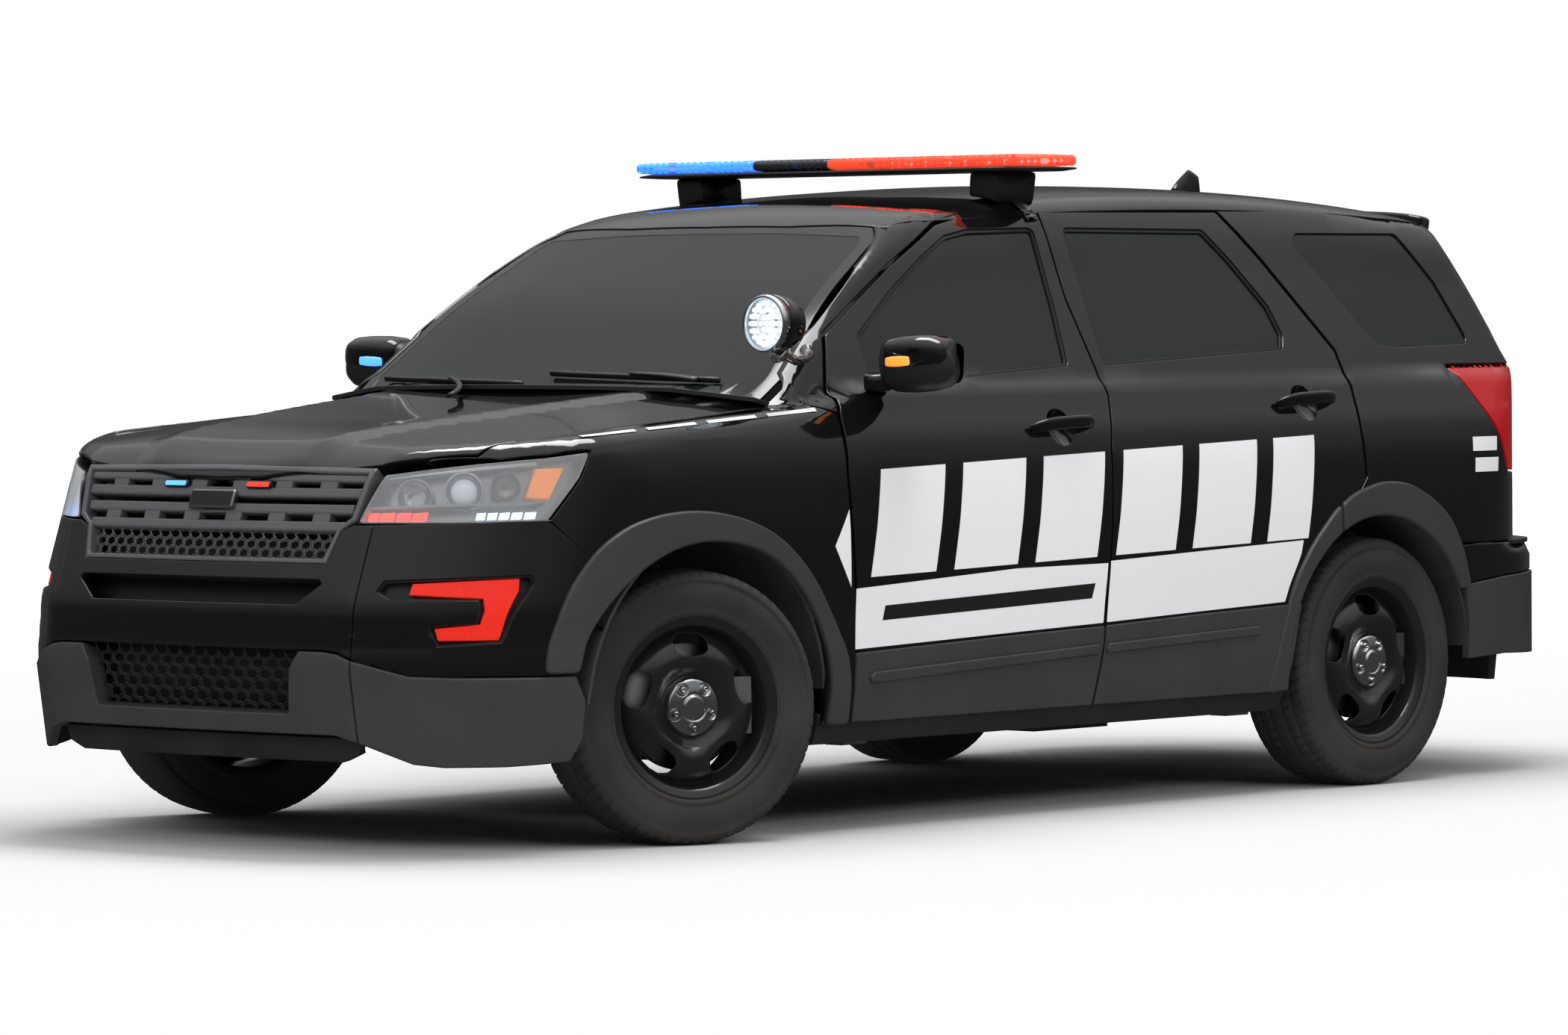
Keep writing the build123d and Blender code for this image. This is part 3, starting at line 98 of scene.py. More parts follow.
def sky_world():
    """World: white where it is seen, and a sky that brightens upwards as a light."""
    world = bpy.data.worlds.new("studio")
    bpy.context.scene.world = world
    world.use_nodes = True
    nodes, links = world.node_tree.nodes, world.node_tree.links
    nodes.clear()
    path = nodes.new("ShaderNodeLightPath")
    seen = nodes.new("ShaderNodeMath")
    seen.operation = "MAXIMUM"
    links.new(path.outputs["Is Camera Ray"], seen.inputs[0])
    links.new(path.outputs["Is Transmission Ray"], seen.inputs[1])
    place, split, rise = (nodes.new("ShaderNode" + kind) for kind in ("TexCoord", "SeparateXYZ", "ValToRGB"))
    links.new(place.outputs["Generated"], split.inputs[0])
    links.new(split.outputs["Z"], rise.inputs["Fac"])
    rise.color_ramp.interpolation = "EASE"
    stops = rise.color_ramp.elements
    while len(stops) < len(SKY):
        stops.new(1.0)
    for stop, (height, grey) in zip(stops, SKY):
        stop.position, stop.color = height, (grey, grey, grey * 1.02, 1.0)
    light, paper = nodes.new("ShaderNodeBackground"), nodes.new("ShaderNodeBackground")
    links.new(rise.outputs["Color"], light.inputs["Color"])
    light.inputs["Strength"].default_value = WORLD_LIGHT
    paper.inputs["Color"].default_value = (1.0, 1.0, 1.0, 1.0)
    paper.inputs["Strength"].default_value = 1.0
    mix, out = nodes.new("ShaderNodeMixShader"), nodes.new("ShaderNodeOutputWorld")
    links.new(seen.outputs[0], mix.inputs["Fac"])
    links.new(light.outputs[0], mix.inputs[1])
    links.new(paper.outputs[0], mix.inputs[2])
    links.new(mix.outputs[0], out.inputs["Surface"])


def area_lamp(name, place, target, size, power, mirrored=False):
    """A rectangular soft lamp aimed at a point."""
    data = bpy.data.lights.new(name, "AREA")
    data.shape, data.size, data.size_y, data.energy = "RECTANGLE", size[0], size[1], power
    lamp = bpy.data.objects.new(name, data)
    aim = (Vector(target) - Vector(place)).to_track_quat("-Z", "Y")
    lamp.matrix_world = Matrix.Translation(place) @ aim.to_matrix().to_4x4()
    lamp.visible_glossy = mirrored
    bpy.context.scene.collection.objects.link(lamp)


def paper_floor():
    """A floor that shows only the shadow on it."""
    half = FLOOR_SIZE / 2
    mesh = bpy.data.meshes.new("floor")
    mesh.from_pydata([(-half, -half, 0), (half, -half, 0), (half, half, 0), (-half, half, 0)], [], [(0, 1, 2, 3)])
    paper = bpy.data.materials.new("floor_paper")
    paper.use_nodes = True
    shader, nodes = paper.node_tree.nodes["Principled BSDF"], paper.node_tree.nodes
    shader.inputs["Roughness"].default_value = 0.9
    fibre, pale = nodes.new("ShaderNodeTexNoise"), nodes.new("ShaderNodeMix")
    fibre.inputs["Scale"].default_value = 300.0
    pale.data_type = "RGBA"
    pale.inputs["A"].default_value, pale.inputs["B"].default_value = (0.80, 0.80, 0.80, 1.0), (0.84, 0.84, 0.84, 1.0)
    paper.node_tree.links.new(fibre.outputs["Fac"], pale.inputs["Factor"])
    paper.node_tree.links.new(pale.outputs["Result"], shader.inputs["Base Color"])
    mesh.materials.append(paper)
    floor = bpy.data.objects.new("floor", mesh)
    bpy.context.scene.collection.objects.link(floor)
    floor.is_shadow_catcher = True
    floor.visible_glossy = False


sky_world()
paper_floor()
area_lamp("top_softbox", (0.3, 0.0, 6.5), (0.0, 0.0, 0.0), (2.5, 6.0), 420.0, mirrored=True)
area_lamp("nose_softbox", (2.5, -9.0, 4.5), (0.0, -1.5, 0.8), (6.0, 2.0), 220.0)
area_lamp("side_softbox", (9.0, -1.5, 4.5), (0.6, 0.0, 0.9), (8.0, 2.0), 200.0)

# %% [markdown]
# Every finish is a Principled shader with a little procedural unevenness, because real
# paint has orange peel, moulded plastic has grain and tyres have dust. The unevenness
# is two shader node groups: one makes heights for a Bump node, the other stains a colour.

# %% Shared effects
def new_group(name, inputs, outputs):
    """An empty shader node group with named number or colour sockets."""
    group = bpy.data.node_groups.new(name, "ShaderNodeTree")
    for way, rows in (("INPUT", inputs), ("OUTPUT", outputs)):
        for socket, kind, value in rows:
            item = group.interface.new_socket(socket, in_out=way, socket_type="NodeSocket" + kind)
            if value is not None and way == "INPUT":
                item.default_value = value
    return group, group.nodes.new("NodeGroupInput"), group.nodes.new("NodeGroupOutput")


def grain_group():
    """Heights of a fine grain over a broader waviness."""
    group, start, end = new_group(
        "surface_grain",
        [("Scale", "Float", 400.0), ("Fine", "Float", 1.0), ("Broad", "Float", 0.5)],
        [("Height", "Float", None)])
    nodes, links = group.nodes, group.links
    place = nodes.new("ShaderNodeTexCoord")
    fine, broad = nodes.new("ShaderNodeTexNoise"), nodes.new("ShaderNodeTexNoise")
    slow = nodes.new("ShaderNodeMath")
    slow.operation, slow.inputs[1].default_value = "MULTIPLY", 0.06
    links.new(start.outputs["Scale"], fine.inputs["Scale"])
    links.new(start.outputs["Scale"], slow.inputs[0])
    links.new(slow.outputs[0], broad.inputs["Scale"])
    parts = []
    for noise, share in ((fine, "Fine"), (broad, "Broad")):
        links.new(place.outputs["Object"], noise.inputs["Vector"])
        scaled = nodes.new("ShaderNodeMath")
        scaled.operation = "MULTIPLY"
        links.new(noise.outputs["Fac"], scaled.inputs[0])
        links.new(start.outputs[share], scaled.inputs[1])
        parts.append(scaled)
    total = nodes.new("ShaderNodeMath")
    links.new(parts[0].outputs[0], total.inputs[0])
    links.new(parts[1].outputs[0], total.inputs[1])
    links.new(total.outputs[0], end.inputs["Height"])
    return group


def film_group():
    """A colour and a roughness with road film on them, thicker near the ground."""
    group, start, end = new_group(
        "road_film",
        [("Clean", "Color", (0.5, 0.5, 0.5, 1.0)), ("Film", "Color", (0.2, 0.18, 0.15, 1.0)),
         ("Amount", "Float", 0.1), ("Roughness", "Float", 0.3), ("Scale", "Float", 6.0)],
        [("Color", "Color", None), ("Roughness", "Float", None)])
    nodes, links = group.nodes, group.links
    place, split = nodes.new("ShaderNodeTexCoord"), nodes.new("ShaderNodeSeparateXYZ")
    noise, low = nodes.new("ShaderNodeTexNoise"), nodes.new("ShaderNodeMapRange")
    noise.inputs["Detail"].default_value = 6.0
    low.inputs["From Min"].default_value, low.inputs["From Max"].default_value = 0.1, 1.1
    low.inputs["To Min"].default_value, low.inputs["To Max"].default_value = 1.0, 0.25
    links.new(place.outputs["Object"], split.inputs[0])
    links.new(place.outputs["Object"], noise.inputs["Vector"])
    links.new(start.outputs["Scale"], noise.inputs["Scale"])
    links.new(split.outputs["Z"], low.inputs["Value"])
    patch, amount = nodes.new("ShaderNodeMath"), nodes.new("ShaderNodeMath")
    patch.operation = amount.operation = "MULTIPLY"
    links.new(noise.outputs["Fac"], patch.inputs[0])
    links.new(low.outputs[0], patch.inputs[1])
    links.new(patch.outputs[0], amount.inputs[0])
    links.new(start.outputs["Amount"], amount.inputs[1])
    mix, rough = nodes.new("ShaderNodeMix"), nodes.new("ShaderNodeMath")
    mix.data_type = "RGBA"
    links.new(amount.outputs[0], mix.inputs["Factor"])
    links.new(start.outputs["Clean"], mix.inputs["A"])
    links.new(start.outputs["Film"], mix.inputs["B"])
    links.new(mix.outputs["Result"], end.inputs["Color"])
    rough.operation = "ADD"
    links.new(start.outputs["Roughness"], rough.inputs[0])
    links.new(amount.outputs[0], rough.inputs[1])
    links.new(rough.outputs[0], end.inputs["Roughness"])
    return group


GRAIN, FILM = grain_group(), film_group()
print("groups", GRAIN.name, FILM.name)

# %% [markdown]
# One helper makes each finish from a row of plain values: colour, roughness, metal,
# film, grain. What is the same all over, such as metal or coat, is set on the shader.

# %% Finishes
FINISHES = {}


def finish(name, color, roughness, metallic=0.0, film=0.1, grain=(400.0, 0.0, 0.0), coat=0.0,
           specular=0.5, alpha=None, glow=None, transmission=0.0):
    """A procedural material; grain is scale, fine share and bump distance in metres."""
    material = bpy.data.materials.new(name)
    material.use_nodes = True
    nodes, links = material.node_tree.nodes, material.node_tree.links
    shader = nodes["Principled BSDF"]
    shader.inputs["Metallic"].default_value = metallic
    shader.inputs["Coat Weight"].default_value = coat
    shader.inputs["Coat Roughness"].default_value = 0.02
    shader.inputs["Specular IOR Level"].default_value = specular
    shader.inputs["Transmission Weight"].default_value = transmission
    stain = nodes.new("ShaderNodeGroup")
    stain.node_tree = FILM
    stain.inputs["Clean"].default_value = (*color, 1.0)
    stain.inputs["Amount"].default_value = film
    stain.inputs["Roughness"].default_value = roughness
    links.new(stain.outputs["Color"], shader.inputs["Base Color"])
    links.new(stain.outputs["Roughness"], shader.inputs["Roughness"])
    scale, fine, distance = grain
    if distance:
        height, bump = nodes.new("ShaderNodeGroup"), nodes.new("ShaderNodeBump")
        height.node_tree = GRAIN
        height.inputs["Scale"].default_value = scale
        height.inputs["Fine"].default_value = fine
        bump.inputs["Distance"].default_value = distance
        links.new(height.outputs["Height"], bump.inputs["Height"])
        links.new(bump.outputs["Normal"], shader.inputs["Normal"])
    if alpha is not None:
        edge, fade = nodes.new("ShaderNodeLayerWeight"), nodes.new("ShaderNodeMapRange")
        edge.inputs["Blend"].default_value = 0.25
        fade.inputs["To Min"].default_value, fade.inputs["To Max"].default_value = alpha, 1.0
        links.new(edge.outputs["Fresnel"], fade.inputs["Value"])
        links.new(fade.outputs[0], shader.inputs["Alpha"])
    if glow is not None:
        shader.inputs["Emission Color"].default_value = (*glow[0], 1.0)
        shader.inputs["Emission Strength"].default_value = glow[1]
    FINISHES[name] = material
    return material


finish("black_paint", (0.0035, 0.0035, 0.004), 0.06, film=0.02, grain=(220.0, 0.3, 0.00006), coat=0.6,
       specular=0.35)
finish("white_vinyl", (0.70, 0.70, 0.71), 0.28, film=0.05, grain=(500.0, 0.4, 0.00004))
finish("black_vinyl", (0.008, 0.008, 0.009), 0.35, film=0.05, grain=(500.0, 0.4, 0.00004))
finish("grey_cladding", (0.028, 0.029, 0.031), 0.42, film=0.14, grain=(1400.0, 1.0, 0.00022))
finish("dark_plastic", (0.010, 0.010, 0.011), 0.38, film=0.10, grain=(1600.0, 1.0, 0.00016))
finish("gloss_plastic", (0.006, 0.006, 0.0065), 0.10, film=0.03, grain=(300.0, 0.3, 0.00004))
finish("grille_grey", (0.085, 0.087, 0.09), 0.30, film=0.06, grain=(900.0, 0.7, 0.00010), specular=0.6)
finish("mesh_black", (0.006, 0.006, 0.006), 0.45, film=0.06, grain=(900.0, 0.6, 0.00008))
finish("seal_rubber", (0.006, 0.006, 0.006), 0.6, film=0.08, grain=(900.0, 0.6, 0.00010))
finish("dark_glass", (0.012, 0.014, 0.014), 0.015, film=0.01, grain=(3.0, 0.2, 0.00005), alpha=0.80)
finish("screen_glass", (0.016, 0.019, 0.019), 0.015, film=0.01, grain=(3.0, 0.2, 0.00005), alpha=0.62)
finish("clear_lens", (0.85, 0.88, 0.9), 0.03, film=0.02, grain=(60.0, 0.2, 0.00002), alpha=0.10)
finish("red_lens", (0.30, 0.004, 0.006), 0.06, film=0.03, grain=(700.0, 0.5, 0.0001), glow=((0.9, 0.01, 0.01), 0.10))
finish("red_clear", (0.75, 0.02, 0.01), 0.05, film=0.02, grain=(800.0, 0.6, 0.00015), alpha=0.55,
       glow=((1.0, 0.05, 0.02), 0.35))
finish("amber_lens", (0.75, 0.22, 0.01), 0.08, film=0.02, grain=(700.0, 0.6, 0.0001), glow=((1.0, 0.25, 0.01), 0.25))
finish("lit_red", (0.80, 0.03, 0.02), 0.3, film=0.0, grain=(300.0, 0.5, 0.0001), glow=((1.0, 0.035, 0.015), 1.1))
finish("lit_amber", (0.9, 0.30, 0.05), 0.3, film=0.0, grain=(300.0, 0.5, 0.0001), glow=((1.0, 0.22, 0.02), 1.1))
finish("lit_blue", (0.15, 0.4, 1.0), 0.3, film=0.0, grain=(300.0, 0.5, 0.0001), glow=((0.04, 0.25, 1.0), 1.5))
finish("lit_white", (0.9, 0.95, 1.0), 0.3, film=0.0, grain=(300.0, 0.5, 0.0001), glow=((0.72, 0.88, 1.0), 1.1))
finish("blue_clear", (0.08, 0.30, 0.95), 0.06, film=0.02, grain=(500.0, 0.5, 0.0001), alpha=0.55,
       glow=((0.03, 0.22, 1.0), 0.45))
finish("red_bar_lens", (0.85, 0.10, 0.06), 0.06, film=0.02, grain=(500.0, 0.5, 0.0001), alpha=0.45,
       glow=((1.0, 0.14, 0.05), 0.40))
finish("chrome", (0.72, 0.73, 0.74), 0.06, metallic=1.0, film=0.03, grain=(60.0, 0.3, 0.00004))
finish("satin_metal", (0.38, 0.38, 0.38), 0.32, metallic=1.0, film=0.08, grain=(900.0, 0.8, 0.00006))
finish("disc_steel", (0.30, 0.29, 0.28), 0.30, metallic=1.0, film=0.18, grain=(700.0, 0.8, 0.00010))
finish("caliper_cast", (0.34, 0.33, 0.31), 0.45, metallic=0.7, film=0.25, grain=(500.0, 1.0, 0.00030))
finish("black_steel", (0.006, 0.006, 0.0065), 0.16, film=0.08, grain=(260.0, 0.6, 0.00010), coat=0.3)
finish("tyre_rubber", (0.012, 0.012, 0.0125), 0.62, film=0.20, grain=(900.0, 1.0, 0.00030))
finish("undercoat", (0.014, 0.014, 0.014), 0.7, film=0.30, grain=(260.0, 1.0, 0.00080))
finish("raw_casting", (0.16, 0.155, 0.15), 0.5, metallic=0.6, film=0.35, grain=(400.0, 1.0, 0.00050))
finish("pipe_steel", (0.26, 0.24, 0.21), 0.4, metallic=1.0, film=0.35, grain=(300.0, 1.0, 0.00030))
finish("cabin_plastic", (0.020, 0.020, 0.021), 0.55, film=0.05, grain=(900.0, 1.0, 0.00025))
finish("headliner", (0.10, 0.098, 0.092), 0.9, film=0.04, grain=(1500.0, 1.0, 0.00030))
finish("carpet", (0.014, 0.014, 0.015), 0.95, film=0.25, grain=(1200.0, 1.0, 0.00100))
finish("lamp_silver", (0.42, 0.43, 0.44), 0.22, metallic=0.8, film=0.02, grain=(240.0, 0.6, 0.0002))
finish("projector_glass", (0.55, 0.60, 0.64), 0.04, film=0.0, grain=(40.0, 0.2, 0.00002), specular=0.9,
       glow=((0.7, 0.8, 0.9), 0.08))
finish("fog_red", (0.50, 0.015, 0.010), 0.12, film=0.02, grain=(260.0, 1.0, 0.0016), glow=((1.0, 0.03, 0.012), 0.30))
finish("bar_smoke", (0.03, 0.03, 0.035), 0.08, film=0.02, grain=(300.0, 0.4, 0.0001), alpha=0.85)
finish("bar_dark", (0.06, 0.06, 0.07), 0.3, film=0.0, grain=(300.0, 0.4, 0.0001))
print(len(FINISHES), "finishes")

# %% [markdown]
# The body's panels all lie on one smooth form, as on the real car, so highlights run
# across the gaps. The form is written as a distance: the nose, the hood, the windscreen,
# the roof, the sides and the tail are simple curved sheets, and rounded maximums join
# them. A panel is then an outline that is pushed onto the form along one direction.

# %% Curves and rounded joins
def curve(rows):
    """A smooth monotone line through rows of (position, value), straight beyond its ends."""
    xs, ys = np.array(rows, float).T
    slopes = np.diff(ys) / np.diff(xs)
    inner = np.where(slopes[:-1] * slopes[1:] > 0,
                     2 * slopes[:-1] * slopes[1:] / (slopes[:-1] + slopes[1:] + 1e-12), 0.0)
    tangents = np.concatenate([slopes[:1], inner, slopes[-1:]])

    def at(x):
        x = np.asarray(x, float)
        i = np.clip(np.searchsorted(xs, x) - 1, 0, len(xs) - 2)
        width = xs[i + 1] - xs[i]
        t = np.clip((x - xs[i]) / width, 0.0, 1.0)
        a, b = (1 + 2 * t) * (1 - t) ** 2, t * t * (3 - 2 * t)
        c, d = t * (1 - t) ** 2, t * t * (t - 1)
        inside = a * ys[i] + b * ys[i + 1] + width * (c * tangents[i] + d * tangents[i + 1])
        over = np.maximum(x - xs[-1], 0) * tangents[-1] + np.minimum(x - xs[0], 0) * tangents[0]
        return inside + over
    return at


def rounded_max(a, b, reach):
    share = np.clip(0.5 + (a - b) / (2 * reach), 0.0, 1.0)
    return b + (a - b) * share + reach * share * (1 - share)


def rounded_min(a, b, reach):
    return -rounded_max(-a, -b, reach)


def arc_rows(*points, count=9):
    """Rows along the circle through three points, for a curve."""
    (ax, ay), (bx, by), (cx, cy) = points
    d = 2 * (ax * (by - cy) + bx * (cy - ay) + cx * (ay - by))
    a2, b2, c2 = ax * ax + ay * ay, bx * bx + by * by, cx * cx + cy * cy
    ux = (a2 * (by - cy) + b2 * (cy - ay) + c2 * (ay - by)) / d
    uy = (a2 * (cx - bx) + b2 * (ax - cx) + c2 * (bx - ax)) / d
    start, end = math.atan2(ay - uy, ax - ux), math.atan2(cy - uy, cx - ux)
    turn = (end - start + math.pi) % (2 * math.pi) - math.pi
    radius = math.hypot(ax - ux, ay - uy)
    return [(ux + radius * math.cos(start + turn * k / count), uy + radius * math.sin(start + turn * k / count))
            for k in range(count + 1)]


def plan(middle, shoulder, corner, side):
    """Plan of an end of the car: a flat arc across it, then a tight one round the corner."""
    flat = arc_rows((-shoulder[0], shoulder[1]), middle, shoulder)
    return curve(flat + arc_rows(shoulder, corner, side)[1:])


print("curve test", float(curve([(0, 0), (1, 1), (2, 4)])(1.5)))

# %% The body's form
NOSE_PLAN = plan((0, -2.515), (0.560, -2.488), (0.835, -2.270), (0.985, -1.960))
GATE_PLAN = plan((0, 2.415), (0.560, 2.355), (0.840, 2.160), (0.985, 1.900))
BUMPER_PLAN = plan((0, 2.515), (0.560, 2.455), (0.850, 2.235), (0.985, 1.940))
SCREEN_PLAN = curve([(-0.42, -1.266), (0, -1.288), (0.42, -1.266), (0.75, -1.215), (1.002, -1.130)])
SIDE = curve([(0.18, 0.925), (0.235, 0.940), (0.30, 0.962), (0.43, 0.976), (0.58, 0.9805), (0.69, 0.985),
              (0.80, 0.9835), (0.90, 0.976), (1.00, 0.962), (1.06, 0.945), (1.13, 0.915), (1.206, 0.8815),
              (1.35, 0.818), (1.50, 0.7518), (1.64, 0.690), (1.80, 0.6194)])
CROWN = curve([(-0.3, 0.007), (0, 0), (0.3, 0.007), (0.45, 0.0155), (0.56, 0.028), (0.63, 0.046), (0.655, 0.058),
               (0.69, 0.100), (0.75, 0.24)])
ROOF = curve(arc_rows((-0.330, 1.702), (0.450, 1.757), (1.990, 1.694), count=12))
# Rows of the hood's top: y, then heights at the middle, crease and edge, and widths of crease and edge
HOOD_ROWS = np.array([
    (-2.60, 1.000, 1.000, 0.985, 0.260, 0.800), (-2.345, 1.024, 1.034, 1.000, 0.275, 0.800),
    (-2.25, 1.075, 1.082, 1.042, 0.300, 0.800), (-1.90, 1.122, 1.128, 1.085, 0.380, 0.810),
    (-1.45, 1.166, 1.172, 1.118, 0.450, 0.820), (-1.06, 1.204, 1.206, 1.150, 0.520, 0.830),
    (-0.70, 1.225, 1.225, 1.215, 0.520, 0.830), (2.70, 1.225, 1.225, 1.215, 0.520, 0.830)])
HOOD = [curve(HOOD_ROWS[:, [0, k]]) for k in range(1, 6)]
CREASE_Z, BELT_Z, SPLIT_Z, SCREEN_FOOT = 0.568, 1.206, 1.434, 1.10
NOSE_LEAN, CHIN_LEAN, GATE_LEAN = 157 / 445, 40 / 260, 300 / 426


def hood_height(x, y):
    """Height of the hood and fender tops, with a soft ridge along the crease."""
    middle, crease, edge, crease_x, edge_x = (part(y) for part in HOOD)
    inner = middle + (crease - middle) * np.clip(x / crease_x, 0, 1) ** 2
    share = np.clip((x - crease_x) / (edge_x - crease_x), 0, 1)
    outer = crease - 0.012 * np.minimum(share * 6, 1) + (edge - crease + 0.012) * share ** 1.25
    blend = 1 / (1 + np.exp(-(x - crease_x) / 0.006))
    return inner * (1 - blend) + outer * blend


def form(x, y, z):
    """About how far a point is outside the smooth body, in metres; negative inside."""
    x = np.abs(x)
    lean = np.where(z > CREASE_Z, (z - CREASE_Z) * NOSE_LEAN, (CREASE_Z - z) * CHIN_LEAN)
    swell = 0.020 * np.exp(-((z - CREASE_Z) / 0.05) ** 2)
    slope = (NOSE_PLAN(x + 0.002) - NOSE_PLAN(x - 0.002)) / 0.004
    nose = (NOSE_PLAN(x) + lean + swell - y) / np.sqrt(1 + slope ** 2 + NOSE_LEAN ** 2)
    top = z - hood_height(x, y)
    rise = np.maximum(z - SCREEN_FOOT, -0.08)
    screen = SCREEN_PLAN(x) + 1.30 * rise + 0.46 * rounded_max(z - SPLIT_Z, 0 * z, 0.06) - y
    lower = rounded_max(nose, top, 0.045)
    roof = z - ROOF(y) + CROWN(x)
    upper = rounded_max(screen / 1.8, roof, 0.05)
    body = rounded_min(lower, upper, 0.012)
    gate_slope = (GATE_PLAN(x + 0.002) - GATE_PLAN(x - 0.002)) / 0.004
    gate = y - GATE_PLAN(x) + GATE_LEAN * rounded_max(z - BELT_Z, 0 * z, 0.03)
    gate = gate / np.sqrt(1 + gate_slope ** 2 + np.where(z > BELT_Z, GATE_LEAN ** 2, 0))
    bumper = (y - BUMPER_PLAN(x)) / np.sqrt(1 + gate_slope ** 2)
    tail = rounded_min(gate, rounded_max(bumper, z - 0.690, 0.03), 0.01)
    side = (x - SIDE(z)) / np.where(z > 1.1, 1.093, 1.0)
    return rounded_max(rounded_max(body, tail, 0.035), side, 0.045)


def normals_of(points):
    """Outward directions of the form at points."""
    step = 0.0015
    grad = np.zeros_like(points)
    for k in range(3):
        shift = np.zeros(3)
        shift[k] = step
        grad[:, k] = form(*(points + shift).T) - form(*(points - shift).T)
    return grad / np.maximum(np.linalg.norm(grad, axis=1, keepdims=True), 1e-9)


# Ways of looking at the form: first axis, second axis, direction inwards, distance from the middle
S = math.sqrt(0.5)
VIEWS = {
    "side": ((0, 1, 0), (0, 0, 1), (-1, 0, 0), 1.3),
    "front": ((1, 0, 0), (0, 0, 1), (0, 1, 0), 2.8),
    "rear": ((1, 0, 0), (0, 0, 1), (0, -1, 0), 2.8),
    "top": ((1, 0, 0), (0, 1, 0), (0, 0, -1), 2.2),
    "corner": ((S, S, 0), (0, 0, 1), (-S, S, 0), 3.0),
    "tail_corner": ((S, -S, 0), (0, 0, 1), (-S, -S, 0), 3.0),
}


def on_form(view, flat, inset=0.0):
    """Points on the form under flat (u, v) points of a view, and the form's directions there."""
    first, second, inwards, far = (np.array(v, float) for v in VIEWS[view])
    flat = np.asarray(flat, float).reshape(-1, 2)
    start = flat[:, :1] * first + flat[:, 1:] * second - far * inwards
    near, deep = np.zeros(len(flat)), np.full(len(flat), far * 0.94)
    if view == "top":
        deep[:] = 1.6
    for _ in range(25):
        middle = (near + deep) / 2
        out = form(*(start + middle[:, None] * inwards).T) > 0
        near, deep = np.where(out, middle, near), np.where(out, deep, middle)
    points = start + ((near + deep) / 2)[:, None] * inwards
    normals = normals_of(points)
    return points - inset * normals, normals


spot, way = on_form("side", [(0.0, 0.9), (-1.3, 0.9)])
print("door surface", spot.round(3).tolist(), way.round(2).tolist())

# %% [markdown]
# A panel is filled with an even mesh by constrained Delaunay triangulation, so that
# holes and curved edges cost nothing. It gets a rolled edge, a wall and a back face, and
# its shading directions come from the form itself, which keeps gloss paint free of ripples.

# %% Panel maker
WIDE_CORNER = math.radians(68)


def mm(*rows):
    return [(a / 1000, b / 1000) for a, b in rows]


def spaced(outline, step):
    """The closed outline with points no further apart than step."""
    points = []
    for (ax, ay), (bx, by) in zip(outline, outline[1:] + outline[:1]):
        count = max(1, math.ceil(math.hypot(bx - ax, by - ay) / step))
        points += [(ax + (bx - ax) * k / count, ay + (by - ay) * k / count) for k in range(count)]
    return points


def softened(outline, radius, flowing=False):
    """The closed outline with its corners rounded; flowing turns its wide corners into one curve."""
    points, count = [], len(outline)
    for k, corner in enumerate(outline):
        p, q, r = (np.array(v) for v in (outline[k - 1], corner, outline[(k + 1) % count]))
        before, after = p - q, r - q
        lb, la = np.linalg.norm(before), np.linalg.norm(after)
        cosine = np.clip(before @ after / (lb * la), -1, 1)
        half = math.acos(cosine) / 2
        reach = radius / math.tan(half) if half > 0.01 else 0.0
        if flowing and half > WIDE_CORNER:
            reach = 1.0
        reach = min(reach, 0.45 * lb, 0.45 * la)
        a, b = q + before / lb * reach, q + after / la * reach
        for t in np.linspace(0, 1, 7):
            points.append(tuple((1 - t) ** 2 * a + 2 * t * (1 - t) * q + t * t * b))
    return points


def area(outline):
    p = np.array(outline)
    return 0.5 * float(np.sum(p[:, 0] * np.roll(p[:, 1], -1) - np.roll(p[:, 0], -1) * p[:, 1]))


def moved_in(outline, amount):
    """Each point of a closed outline moved inwards, for one that runs anticlockwise."""
    p = np.array(outline)
    forward = np.roll(p, -1, axis=0) - p
    forward /= np.maximum(np.linalg.norm(forward, axis=1, keepdims=True), 1e-9)
    turn = np.stack([-forward[:, 1], forward[:, 0]], axis=1)
    both = turn + np.roll(turn, 1, axis=0)
    both /= np.maximum(np.linalg.norm(both, axis=1, keepdims=True), 1e-9)
    cosine = np.clip(np.sum(both * turn, axis=1, keepdims=True), 0.5, 1)
    return p + both / cosine * amount


def contains(outline, points):
    """Which points lie inside a closed outline."""
    p, inside = np.asarray(outline), np.zeros(len(points), bool)
    x, y = points[:, 0], points[:, 1]
    for (ax, ay), (bx, by) in zip(p, np.roll(p, -1, axis=0)):
        crosses = (ay > y) != (by > y)
        inside ^= crosses & (x < (bx - ax) * (y - ay) / (by - ay + 1e-15) + ax)
    return inside


